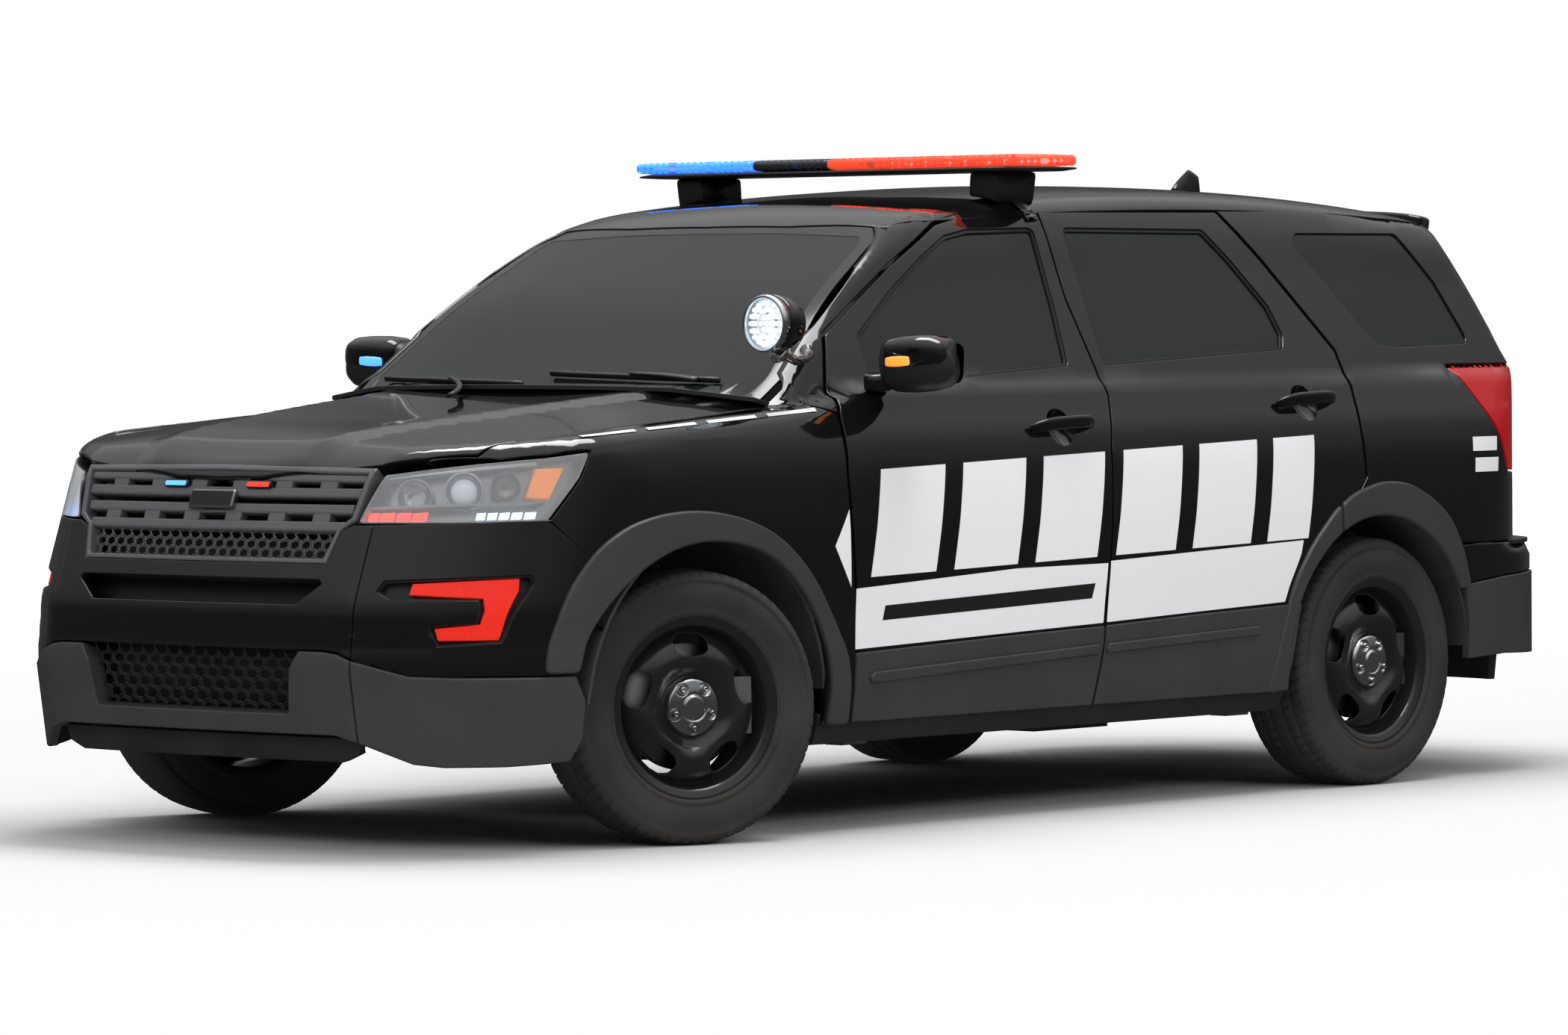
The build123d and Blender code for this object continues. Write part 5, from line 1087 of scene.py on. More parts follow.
def nose_corner(hand, word):
    black = ("black_paint", "black_paint", "dark_plastic")
    fog_hole = seen_from("corner", ("front", stepped(FOG, 0.03)))
    corner_panel(f"bumper_corner_{word}", hand, [
        ("front", straight((NOSE_SEAM, SEAM_TOP), (NOSE_SEAM, SEAM_LOW))),
        ("front", stepped([(0.640, 0.500), (0.710, 0.477)])),
        ("side", stepped(mm((-2300, 472), (-2150, 470), (-2020, 470), (-1990, 560), (-1925, 645), (-1893, 695),
                            (-1955, 754), (-2056, 864)))),
        ("front", stepped([(0.925, 0.870), (0.75, 0.862)]))], black, holes=[fog_hole], replaces=["front_bumper"])
    grey = ("grey_cladding",) * 3
    corner_panel(f"valance_corner_{word}", hand, [
        ("front", straight((NOSE_SEAM, SEAM_LOW - 0.004), (NOSE_SEAM, 0.300))),
        ("front", [(0.700, 0.245), (0.760, 0.236)]),
        ("side", stepped(mm((-2180, 236), (-2020, 245), (-1990, 300), (-1985, 400), (-2018, 466), (-2150, 466),
                            (-2300, 468)))),
        ("front", [(0.710, 0.473), (0.640, 0.496)])], grey, inset=-0.006, depth=0.026, roll=0.006, slot="satin_trim")


both_hands(nose_corner)
panel("bumper_cover", "root", ccw(whole(cover_half)), view="front", holes=[SLOT], depth=0.03, roll=0.004, step=0.03,
      looks=("black_paint", "black_paint", "dark_plastic"), replaces=["front_bumper"])
panel("valance", "root", ccw(whole(valance_half)), view="front", inset=-0.006, depth=0.05, roll=0.006, step=0.03,
      looks=("grey_cladding",) * 3, replaces=["front_skid_plate"], slot="satin_trim")
panel("chin_strip", "root", ccw(whole([(0.0, 0.240), (0.50, 0.240), (0.56, 0.262), (0.60, 0.305), (0.0, 0.305)])),
      view="front", inset=0.035, depth=0.03, roll=0.004, looks=("dark_plastic",) * 3, slot="satin_trim")

# %% [markdown]
# Two openings of the nose are filled with a honeycomb. Geometry Nodes sets a wire
# hexagon on every point of a flat field; the field is then pushed onto the nose.

# %% Honeycomb maker
def honeycomb_group():
    """Geometry Nodes: on every point of the input a wire hexagon, with a size and a wire radius."""
    group = bpy.data.node_groups.new("honeycomb_field", "GeometryNodeTree")
    face = group.interface
    face.new_socket("Geometry", in_out="INPUT", socket_type="NodeSocketGeometry")
    for label, kind in (("Cell Radius", "NodeSocketFloat"), ("Wire Radius", "NodeSocketFloat"),
                        ("Material", "NodeSocketMaterial")):
        face.new_socket(label, in_out="INPUT", socket_type=kind)
    face.new_socket("Geometry", in_out="OUTPUT", socket_type="NodeSocketGeometry")
    nodes, links = group.nodes, group.links
    start, end = nodes.new("NodeGroupInput"), nodes.new("NodeGroupOutput")
    cell, wire = nodes.new("GeometryNodeCurvePrimitiveCircle"), nodes.new("GeometryNodeCurvePrimitiveCircle")
    cell.inputs["Resolution"].default_value, wire.inputs["Resolution"].default_value = 6, 6
    tube, spread = nodes.new("GeometryNodeCurveToMesh"), nodes.new("GeometryNodeInstanceOnPoints")
    real, paint = nodes.new("GeometryNodeRealizeInstances"), nodes.new("GeometryNodeSetMaterial")
    links.new(start.outputs["Cell Radius"], cell.inputs["Radius"])
    links.new(start.outputs["Wire Radius"], wire.inputs["Radius"])
    links.new(cell.outputs["Curve"], tube.inputs["Curve"])
    links.new(wire.outputs["Curve"], tube.inputs["Profile Curve"])
    links.new(start.outputs["Geometry"], spread.inputs["Points"])
    links.new(tube.outputs["Mesh"], spread.inputs["Instance"])
    links.new(spread.outputs["Instances"], real.inputs["Geometry"])
    links.new(real.outputs["Geometry"], paint.inputs["Geometry"])
    links.new(start.outputs["Material"], paint.inputs["Material"])
    links.new(paint.outputs["Geometry"], end.inputs["Geometry"])
    return group


HONEYCOMB = honeycomb_group()


def through_group(points, group, inputs, faces=()):
    """The mesh that a Geometry Nodes group makes from a mesh, with inputs set by name."""
    mesh = bpy.data.meshes.new("field")
    mesh.from_pydata([tuple(p) for p in points], [], [tuple(f) for f in faces])
    holder = bpy.data.objects.new("field", mesh)
    bpy.context.scene.collection.objects.link(holder)
    modifier = holder.modifiers.new("nodes", "NODES")
    modifier.node_group = group
    for item in group.interface.items_tree:
        if item.in_out == "INPUT" and item.name in inputs:
            modifier[item.identifier] = inputs[item.name]
    bpy.context.view_layer.update()
    made = bpy.data.meshes.new_from_object(holder.evaluated_get(bpy.context.evaluated_depsgraph_get()))
    bpy.data.objects.remove(holder)
    return made


def honeycomb(name, outline, inset, radius, wire, stretch, look):
    """A honeycomb cut to an outline of the front view and pushed onto the nose, some way behind it."""
    edge = np.array(ccw(outline))
    low, high = edge.min(0), edge.max(0)
    rows, centres = 0, []
    pitch_y, pitch_x = radius * 1.5 * stretch[1], radius * math.sqrt(3) * stretch[0]
    z = low[1]
    while z < high[1] + pitch_y:
        count = int((high[0] + pitch_x) / pitch_x) + 1
        centres += [((k + (0.5 if rows % 2 else 0)) * pitch_x, z) for k in range(-count, count)]
        z += pitch_y
        rows += 1
    centres = np.array(centres)
    centres = centres[contains(ccw(grown(outline, radius * 0.35, 0.001)), centres)]
    field = np.column_stack([centres[:, 0] / stretch[0], centres[:, 1] / stretch[1], np.zeros(len(centres))])
    mesh = through_group(field, HONEYCOMB, {"Cell Radius": radius, "Wire Radius": wire, "Material": FINISHES[look]})
    flat = np.empty(len(mesh.vertices) * 3)
    mesh.vertices.foreach_get("co", flat)
    flat = flat.reshape(-1, 3)
    local = flat.copy()
    turn = math.radians(30)
    nearest = field[np.argmin(((flat[:, None, :2] - field[None, :, :2]) ** 2).sum(2), axis=1)]
    local[:, :2] -= nearest[:, :2]
    flat[:, 0] = nearest[:, 0] + local[:, 0] * math.cos(turn) - local[:, 1] * math.sin(turn)
    flat[:, 1] = nearest[:, 1] + local[:, 0] * math.sin(turn) + local[:, 1] * math.cos(turn)
    flat[:, :2] *= stretch
    points, normals = on_form("front", flat[:, :2], inset)
    points += normals * flat[:, 2:3]
    mesh.vertices.foreach_set("co", points.ravel())
    piece = bpy.data.objects.new(name, mesh)
    bpy.context.scene.collection.objects.link(piece)
    mesh.update()
    outward(piece)
    return carried(piece, "root")


LOWER_GRILLE = whole([(0.0, 0.372), (0.366, 0.372), (0.385, 0.489), (0.415, 0.534), (0.0, 0.534)])
UPPER_MESH = whole([(0.0, 0.765), (0.462, 0.765), (0.480, 0.842), (0.0, 0.842)])
honeycomb("lower_honeycomb", LOWER_GRILLE, 0.030, 0.021, 0.0026, (1.35, 1.0), "dark_plastic")
honeycomb("upper_honeycomb", UPPER_MESH, 0.022, 0.017, 0.0022, (1.35, 0.9), "grille_grey")
panel("radiator_screen", "root", ccw(whole([(0.0, 0.330), (0.50, 0.330), (0.56, 1.000), (0.0, 1.005)])), view="front",
      inset=0.075, depth=0.006, roll=0.002, step=0.06, looks=("mesh_black",) * 3, slot="satin_trim")

# %% [markdown]
# The upper grille has a satin rim and two double bars with short slots between their
# blades. A bare plate with round corners sits in its middle.

# %% Grille bars
GRILLE_HALF = [(0.0, 0.760), (0.462, 0.760), (0.486, 0.845), (0.530, 0.872), (0.552, 1.004), (0.0, 1.010)]
GRILLE_INNER = [(0.0, 0.772), (0.450, 0.772), (0.474, 0.852), (0.514, 0.878), (0.532, 0.990), (0.0, 0.996)]
BLADES = ((0.856, 0.026, 0.486), (0.900, 0.026, 0.508), (0.942, 0.026, 0.520), (0.980, 0.022, 0.527))
BLOCKS = (-0.40, -0.24, -0.08, 0.08, 0.24, 0.40)
panel("grille_rim", "root", ccw(whole(GRILLE_HALF)), view="front", holes=[ccw(whole(GRILLE_INNER))], inset=-0.002,
      depth=0.045, roll=0.004, step=0.02, looks=("grille_grey",) * 3, replaces=["grille"], slot="satin_trim")
for k, (z, height, half_width) in enumerate(BLADES):
    rows = [(-half_width, z - height / 2), (half_width, z - height / 2), (half_width, z + height / 2),
            (-half_width, z + height / 2)]
    panel(f"grille_blade_{k}", "root", rows, view="front", inset=0.004, depth=0.030, roll=0.006, step=0.03,
          looks=("grille_grey",) * 3, slot="satin_trim")
for k, (low, high) in enumerate(((0.862, 0.894), (0.948, 0.976))):
    for i, x in enumerate(BLOCKS):
        rows = [(x - 0.030, low), (x + 0.030, low), (x + 0.030, high), (x - 0.030, high)]
        panel(f"grille_block_{k}_{i}", "root", rows, view="front", inset=0.007, depth=0.025, roll=0.003,
              looks=("grille_grey",) * 3, slot="satin_trim")
GRILLE_PLATE = [(-0.085, 0.892), (0.085, 0.892), (0.085, 0.944), (-0.085, 0.944)]
panel("grille_plate", "root", softened(GRILLE_PLATE, 0.010), view="front", inset=-0.010, depth=0.020, roll=0.006,
      step=0.015, looks=("gloss_plastic", "satin_metal", "gloss_plastic"), slot="satin_trim")
for hand, word, look in ((LEFT, "left", "lit_red"), (RIGHT, "right", "lit_blue")):
    lamp = [(0.116, 0.948), (0.200, 0.948), (0.204, 0.958), (0.200, 0.968), (0.116, 0.968), (0.112, 0.958)]
    panel(f"grille_lamp_{word}", "root", softened(lamp, 0.006), view="front", inset=-0.006, depth=0.02, roll=0.004,
          step=0.008, looks=(look, "dark_plastic", "dark_plastic"), hand=hand, slot="lamp_lens")
print("grille blades", len(BLADES))

# %% [markdown]
# A lamp is a chamber behind a clear lens: a rim wall, a bright or dark tray, and bowls,
# projectors and small lit blocks set in it at their places in the front view.

# %% Headlamps
LAMP_FRONT_LOW, LAMP_FRONT_TOP = [(0.760, 0.863), (0.537, 0.864)], [(0.584, 0.988), (0.759, 1.013), (0.880, 1.028)]
LAMP_TAIL = mm((-1932, 1041), (-1970, 975), (-2060, 868))
LAMP_DEPTH = 0.075


def bowl(name, centre, radius, depth, look, hand, inset, rings=8, sides=36):
    """A reflector: a dish with a rolled rim, sunk behind the lens at a point of the front view."""
    points, normals = on_form("front", [centre], inset)
    middle, way = points[0], normals[0]
    way = way * (1, 1, 0.3)
    way /= np.linalg.norm(way)
    across = np.cross((0, 0, 1.0), way)
    across /= np.linalg.norm(across)
    above = np.cross(way, across)
    profile = [(radius * math.sin(t), -depth * math.cos(t)) for t in np.linspace(0.12, math.pi / 2, rings)]
    profile += [(radius * 1.08, 0.002), (radius * 1.10, -0.004), (radius * 1.02, -depth * 0.6),
                (0.12 * radius, -depth * 1.08)]
    rows = []
    for r, d in profile:
        angles = np.arange(sides) * 2 * math.pi / sides
        rows.append(middle + way * d + r * (np.cos(angles)[:, None] * across + np.sin(angles)[:, None] * above))
    points = np.concatenate(rows)
    count = len(profile)
    faces = [(i * sides + k, i * sides + (k + 1) % sides, ((i + 1) % count) * sides + (k + 1) % sides,
              ((i + 1) % count) * sides + k) for i in range(count) for k in range(sides)]
    if hand == RIGHT:
        points = points * (-1, 1, 1)
    piece = new_piece(name, points, faces, [look])
    outward(piece)
    return carried(piece, "root")


def dome(name, centre, radius, height, look, hand, inset, rings=8, sides=32, body="root"):
    """A convex lens or bulb at a point of the front view."""
    points, normals = on_form("front", [centre], inset)
    middle, way = points[0], normals[0] * (1, 1, 0.3)
    way /= np.linalg.norm(way)
    across = np.cross((0, 0, 1.0), way)
    across /= np.linalg.norm(across)
    above = np.cross(way, across)
    profile = [(radius * math.sin(t), height * math.cos(t)) for t in np.linspace(0.0, math.pi / 2, rings)[1:]]
    profile += [(radius, -0.004)]
    angles = np.arange(sides) * 2 * math.pi / sides
    rows = [middle + way * d + r * (np.cos(angles)[:, None] * across + np.sin(angles)[:, None] * above)
            for r, d in profile]
    points = np.concatenate([[middle + way * height], *rows, [middle - way * 0.004]])
    faces = [(0, 1 + k, 1 + (k + 1) % sides) for k in range(sides)]
    faces += [(1 + i * sides + k, 1 + (i + 1) * sides + k, 1 + (i + 1) * sides + (k + 1) % sides,
               1 + i * sides + (k + 1) % sides) for i in range(len(profile) - 1) for k in range(sides)]
    last = len(points) - 1
    base = 1 + (len(profile) - 1) * sides
    faces += [(last, base + (k + 1) % sides, base + k) for k in range(sides)]
    if hand == RIGHT:
        points = points * (-1, 1, 1)
    piece = new_piece(name, points, faces, [look])
    outward(piece)
    return carried(piece, body)


def lamp_block(name, outline, look, hand, inset, depth=0.012, slot="lamp_lens", view="corner", given="front",
               sides="dark_plastic"):
    """A small flat piece inside a lamp, outlined in the front view."""
    flat = seen_from(view, (given, stepped(outline + outline[:1], 0.02)[:-1]))
    return panel(name, "root", ccw(flat), view=view, inset=inset, depth=depth, roll=0.002, step=0.012,
                 edge_step=0.008, looks=(look, look, sides), hand=hand, slot=slot)


def headlamp(hand, word):
    runs = [("front", stepped([LAMP_FRONT_LOW[1]] + LAMP_FRONT_TOP)), ("side", stepped(LAMP_TAIL)),
            ("front", stepped([(0.905, 0.867)] + LAMP_FRONT_LOW)[:-1])]
    flat = ccw(seen_from("corner", *runs))
    rim = [tuple(q) for q in moved_in(flat, 0.005)]
    panel(f"headlamp_lens_{word}", "root", skin(flat, 0.0015, 0.008), view="corner", depth=0.003, roll=0.001,
          step=0.025,
          looks=("clear_lens",) * 3, hand=hand, replaces=["headlamps"], slot="lamp_lens")
    panel(f"headlamp_rim_{word}", "root", flat, view="corner", holes=[rim], inset=0.004, depth=LAMP_DEPTH, roll=0.001,
          step=0.02, looks=("dark_plastic", "satin_metal", "dark_plastic"), hand=hand, slot="lamp_lens")
    panel(f"headlamp_tray_{word}", "root", [tuple(q) for q in moved_in(flat, 0.002)], view="corner",
          inset=LAMP_DEPTH - 0.012,
          depth=0.006, roll=0.001, step=0.03, looks=("lamp_silver",) * 3, hand=hand, slot="lamp_lens")
    bowl(f"headlamp_inner_bowl_{word}", (0.655, 0.938), 0.044, 0.036, "chrome", hand, 0.030)
    bowl(f"headlamp_main_bowl_{word}", (0.757, 0.950), 0.047, 0.030, "chrome", hand, 0.026)
    dome(f"headlamp_projector_{word}", (0.757, 0.950), 0.034, 0.022, "projector_glass", hand, 0.036)
    bowl(f"headlamp_outer_bowl_{word}", (0.832, 0.958), 0.036, 0.026, "satin_metal", hand, 0.028)
    lamp_block(f"headlamp_brow_{word}", [(0.590, 0.978), (0.760, 0.998), (0.872, 1.010), (0.872, 1.022), (0.760, 1.009),
               (0.588, 0.986)], "chrome", hand, 0.012, 0.03)
    lamp_block(f"headlamp_amber_{word}", [(0.868, 0.930), (0.902, 0.925), (0.912, 1.005), (0.872, 1.004)],
               "amber_lens", hand, 0.020, 0.03)
    lamp_block(f"headlamp_shelf_{word}", [(0.552, 0.900), (0.895, 0.912), (0.895, 0.920), (0.556, 0.908)],
               "satin_metal", hand, 0.008, 0.05)
    red, white = ("lit_red", "lit_white") if hand == LEFT else ("lit_blue", "lit_white")
    for k in range(4):
        x = 0.556 + 0.036 * k
        lamp_block(f"headlamp_flasher_{k}_{word}", [(x, 0.868), (x + 0.031, 0.868), (x + 0.031, 0.895), (x, 0.893)],
                   red,
                   hand, 0.014)
    for k in range(5):
        x = 0.792 + 0.020 * k
        lamp_block(f"headlamp_led_{k}_{word}", [(x, 0.874), (x + 0.016, 0.875), (x + 0.016, 0.892), (x, 0.891)], white,
                   hand, 0.012)


both_hands(headlamp)

# %% [markdown]
# The fog recess is shaped like a C round a black finger of the bumper. Its lit lens is
# one red block with a fine grain.

# %% Fog lamps
FOG_LIT = mm((698, 684), (700, 712), (886, 722), (889, 690), (868, 562), (766, 562), (757, 594), (838, 604),
             (844, 640), (838, 672))


def fog_lamp(hand, word):
    flat = ccw(seen_from("corner", ("front", stepped(FOG, 0.03))))
    panel(f"fog_recess_{word}", "root", [tuple(q) for q in moved_in(flat, -0.004)], view="corner", inset=0.030,
          depth=0.006, roll=0.001, looks=("dark_plastic",) * 3, hand=hand, replaces=["fog_lamps"], slot="lamp_lens")
    wall = [tuple(q) for q in moved_in(flat, 0.003)]
    panel(f"fog_rim_{word}", "root", flat, view="corner", holes=[wall], inset=0.004, depth=0.028, roll=0.001, step=0.02,
          looks=("dark_plastic",) * 3, hand=hand, slot="lamp_lens")
    lamp_block(f"fog_lens_{word}", FOG_LIT, "fog_red", hand, 0.010, 0.010, sides="fog_red")


both_hands(fog_lamp)
print("fog lamps at", FOG_LIT[0])

# %% [markdown]
# The tail: a liftgate with a spoiler, glass and a bare plate pad, wrap-round tail lamps
# and a bumper whose lower half is grey plastic.

# %% Liftgate, tail lamps and rear bumper
GATE_SKIN = [(0.0, 0.715), (0.560, 0.715), (0.640, 0.745), (0.800, 0.905), (0.812, 1.215), (0.640, 1.640),
             (0.600, 1.652), (0.0, 1.655)]
GATE_WINDOW = [(0.0, 1.225), (0.690, 1.225), (0.545, 1.600), (0.0, 1.610)]
panel("liftgate_skin", "liftgate", skin(whole(GATE_SKIN), 0.002, 0.02), view="rear",
      holes=[softened(whole(GATE_WINDOW), 0.03)],
      depth=0.045, roll=0.004, step=0.03, looks=("black_paint", "black_paint", "cabin_plastic"), replaces=["liftgate"])
panel("liftgate_pane", "liftgate", grown(whole(GATE_WINDOW), 0.012, 0.03), view="rear", inset=0.008, depth=0.004,
      roll=0.001, looks=("dark_glass",) * 3, replaces=["liftgate_glass"], slot="tinted_glass")
SPOILER = [(0.0, 1.984), (0.590, 1.984), (0.634, 1.990), (0.600, 2.078), (0.420, 2.172), (0.0, 2.198)]


def spoiler_surface(flat):
    """The spoiler's top: it runs on from the roof and droops at its rear edge."""
    x, y = flat.T
    height = 1.697 - CROWN(np.abs(x)) * 0.55 - 0.10 * (y - 1.98) - 0.35 * (y - 1.98) ** 2
    normals = np.stack([0.06 * x, 0.10 + 0.7 * (y - 1.98), np.ones(len(x))], axis=1)
    return np.stack([x, y, height], axis=1), normals / np.linalg.norm(normals, axis=1, keepdims=True)


panel("spoiler", "liftgate", softened(ccw(whole(SPOILER)), 0.02), surface=spoiler_surface, depth=0.034, roll=0.010,
      step=0.04, looks=("black_paint",) * 3)
panel("stop_lamp", "liftgate", [(-0.20, 1.648), (0.20, 1.648), (0.20, 1.662), (-0.20, 1.662)], view="rear",
      inset=-0.012, depth=0.02, roll=0.003, step=0.02, looks=("red_lens",) * 3, slot="red_lens")


def plate_surface(flat):
    """An upright plane at the gate's rear for the plate pad."""
    x, z = flat.T
    return np.stack([x, 0 * x + 2.4165, z], axis=1), np.tile([0.0, 1.0, 0.0], (len(x), 1))


def upright(name, outline, depth, look, holes=(), body="liftgate"):
    points, faces, kinds, normals = shell([ccw(outline), *holes], plate_surface, 0.05, depth, 0.002, 0.02)
    piece = new_piece(name, points, [f[::-1] for f in faces], [look, look, look], kinds, normals)
    outward(piece)
    return carried(piece, body)


PLATE_HOLES = [ellipse((x, 0.860), 0.007, 0.007, 16) for x in (-0.089, 0.089)]
upright("plate_pad", softened([(-0.160, 0.7775), (0.160, 0.7775), (0.160, 0.9425), (-0.160, 0.9425)], 0.012), 0.02,
        "dark_plastic", PLATE_HOLES)
TAIL_LAMP = mm((1819, 1218), (2160, 1218), (2195, 1150), (2200, 906), (2009, 906), (1960, 1010))


def rear_corner(hand, word):
    flat = ccw(seen_from("tail_corner", ("side", stepped(TAIL_LAMP + TAIL_LAMP[:1], 0.03)[:-1])))
    panel(f"tail_lamp_{word}", "root", skin(flat, 0.002, 0.008), view="tail_corner", depth=0.03, roll=0.004, step=0.02,
          looks=("red_lens", "red_lens", "dark_plastic"), hand=hand, replaces=["tail_lamps"], slot="red_lens")
    seam = 0.62
    upper = [("rear", straight((seam, 0.693), (seam, 0.602))), ("rear", [(0.75, 0.602)]),
             ("side", stepped(mm((2150, 603), (1950, 597), (1741, 577), (1700, 640), (1640, 690), (1800, 693),
                                 (2200, 693)))), ("rear", [(0.75, 0.693)])]
    lower = [("rear", straight((seam, 0.598), (seam, 0.345))), ("rear", [(0.75, 0.345)]),
             ("side", stepped(mm((2150, 355), (1950, 362), (1763, 353), (1758, 470), (1741, 573), (1950, 593),
                                 (2150, 599)))), ("rear", [(0.75, 0.598)])]
    for name, runs, look, inset in (("upper", upper, "black_paint", 0.0), ("lower", lower, "grey_cladding", -0.006)):
        flat = ccw(seen_from("tail_corner", *runs))
        panel(f"rear_bumper_{name}_{word}", "root", flat, view="tail_corner", inset=inset, depth=0.025, roll=0.004,
              step=0.03, looks=(look, look, "dark_plastic"), hand=hand, replaces=["rear_bumper"])


both_hands(rear_corner)
for name, low, high, look, inset in (("upper", 0.602, 0.693, "black_paint", 0.0),
                                     ("lower", 0.345, 0.598, "grey_cladding", -0.006)):
    panel(f"rear_bumper_{name}", "root", [(-0.62, low), (0.62, low), (0.62, high), (-0.62, high)], view="rear",
          inset=inset, depth=0.025, roll=0.004, step=0.03, looks=(look, look, "dark_plastic"), replaces=["rear_bumper"])


panel("rear_valance", "root", [(-0.60, 0.252), (0.60, 0.252), (0.62, 0.352), (-0.62, 0.352)], view="rear",
      inset=0.030, depth=0.025, roll=0.004, step=0.04, looks=("dark_plastic",) * 3, slot="satin_trim")


def step_surface(flat):
    x, y = flat.T
    return np.stack([x, y, 0 * x + 0.6985], axis=1), np.tile([0.0, 0.0, 1.0], (len(x), 1))


BUMPER_TOP = [(0.0, 2.36), (0.54, 2.31), (0.74, 2.18), (0.90, 1.98), (0.958, 2.02), (0.930, 2.10), (0.850, 2.225),
              (0.560, 2.440), (0.0, 2.495)]
panel("bumper_step", "root", softened(ccw(whole(BUMPER_TOP)), 0.006), surface=step_surface, depth=0.012, roll=0.002,
      step=0.05, looks=("dark_plastic",) * 3, slot="satin_trim")

# %% [markdown]
# Wheels are turned on a lathe about their own axle, then placed: the front pair stands
# steered 19 degrees to the car's right, as in the photograph. Tread blocks are grooves
# in the turned mesh, and the tyre's sidewall is plain.

# %% Lathe and wheel placing
STEER = math.radians(-19)
HALF_TRACK, TYRE_RADIUS = 0.851, 0.363
AXLES = {"front": (FRONT_WHEEL[0], STEER), "rear": (REAR_WHEEL[0], 0.0)}


def at_wheel(points, faces, axle, hand):
    """Moves points from a wheel's own place (x outwards) to the car."""
    y, turn = AXLES[axle]
    points = np.asarray(points, float) * (hand, 1, 1)
    c, s = math.cos(turn), math.sin(turn)
    points = points @ np.array([[c, s, 0], [-s, c, 0], [0, 0, 1]])
    faces = faces if hand == LEFT else [f[::-1] for f in faces]
    return points + (hand * HALF_TRACK, y, REAR_WHEEL[1]), faces


def turned(rows, steps, dent=None):
    """A closed ring of profile rows (radius, x) about the x axis; dent lowers radii by (angle, x)."""
    rows = np.array(rows, float)
    angles = np.arange(steps) * 2 * math.pi / steps
    radius = np.repeat(rows[None, :, 0], steps, 0)
    if dent is not None:
        radius = radius - dent(angles[:, None], np.repeat(rows[None, :, 1], steps, 0), radius)
    x = np.repeat(rows[None, :, 1], steps, 0)
    points = np.stack([x, radius * np.cos(angles)[:, None], radius * np.sin(angles)[:, None]], axis=2).reshape(-1, 3)
    n = len(rows)
    faces = [(i * n + k, i * n + (k + 1) % n, ((i + 1) % steps) * n + (k + 1) % n, ((i + 1) % steps) * n + k)
             for i in range(steps) for k in range(n)]
    return points, faces


def wheel_piece(name, body, points, faces, looks, axle, hand, replaces=(), kinds=None):
    points, faces = at_wheel(points, faces, axle, hand)
    piece = new_piece(name, points, faces, looks, kinds)
    outward(piece)
    return carried(piece, body, replaces)


def tyre_rows():
    """Section of the tyre: tread, shoulders, bulging walls and beads."""
    tread = [(TYRE_RADIUS - 0.004 * (x / 0.095) ** 2, x) for x in np.linspace(-0.094, 0.094, 33)]
    wall = [(0.3560, 0.1010), (0.3500, 0.1070), (0.3420, 0.1120), (0.3320, 0.1165), (0.3310, 0.1152), (0.3220, 0.1188),
            (0.3060, 0.1220), (0.2920, 0.1225), (0.2780, 0.1212), (0.2640, 0.1180), (0.2560, 0.1150), (0.2550, 0.1162),
            (0.2480, 0.1130), (0.2400, 0.1060), (0.2330, 0.0980), (0.2300, 0.0900)]
    inner = [(0.2400, 0.0860), (0.2800, 0.1060), (0.3300, 0.1000), (0.3480, 0.0850)]
    return (tread + wall + inner + [(r, -x) for r, x in inner[::-1]] + [(r, -x) for r, x in wall[::-1]])


def tread_dent(angle, x, radius):
    """Depth of the tread's grooves: four round the tyre and slanted ones across it."""
    round_groove = sum(np.exp(-(((np.abs(x) - p) / 0.0042) ** 4)) for p in (0.024, 0.064))
    pitch = 2 * math.pi / 66
    phase = ((angle + x * 0.9 + 0.5 * pitch * (x > 0)) % pitch) / pitch
    cross = (np.abs(phase - 0.5) < 0.11) * (np.abs(x) > 0.028) * (np.abs(x) < 0.112)
    fine = (np.abs((phase * 2) % 1 - 0.5) < 0.10) * (np.abs(x) < 0.022) * 0.5
    depth = np.clip(0.0068 * round_groove + 0.0055 * cross + 0.0055 * fine, 0, 0.007)
    return depth * (radius > 0.335)


TREAD_STEPS = {False: 396, True: 264}


def tyre(axle, hand, word):
    points, faces = turned(tyre_rows(), TREAD_STEPS[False], tread_dent)
    wheel_piece(f"{axle}_tyre_rubber_{word}", f"{axle}_wheel_{word}", points, faces, ["tyre_rubber"], axle, hand,
                [f"{axle}_tyre_{word}"])


STEEL = curve([(0.060, 0.070), (0.085, 0.072), (0.100, 0.080), (0.118, 0.092), (0.132, 0.094), (0.165, 0.084),
               (0.190, 0.066),
               (0.203, 0.052), (0.212, 0.050)])
LUGS = 5
CAP_STEPS = {False: (44, 180), True: (30, 120)}


def steel_surface(flat):
    """The pressed disc: crowned between hub and rim, with a rib beside every window."""
    y, z = flat.T
    radius, angle = np.hypot(y, z), np.arctan2(z, y)
    def height(r, a):
        wave = np.cos(LUGS * (a - math.pi / 2))
        rib, rise = np.exp(-((r - 0.150) / 0.030) ** 2), np.exp(-((r - 0.108) / 0.012) ** 2)
        return STEEL(r) + 0.005 * rib * -wave + 0.004 * rise * wave
    x = height(radius, angle)
    slope_r = (height(radius + 5e-4, angle) - height(radius - 5e-4, angle)) / 1e-3
    slope_a = (height(radius, angle + 2e-3) - height(radius, angle - 2e-3)) / 4e-3 / np.maximum(radius, 0.02)
    normals = np.stack([np.ones_like(x), -slope_r * y / radius + slope_a * z / radius,
                        -slope_r * z / radius - slope_a * y / radius], axis=1)
    return np.stack([x, y, z], axis=1), normals / np.linalg.norm(normals, axis=1, keepdims=True)


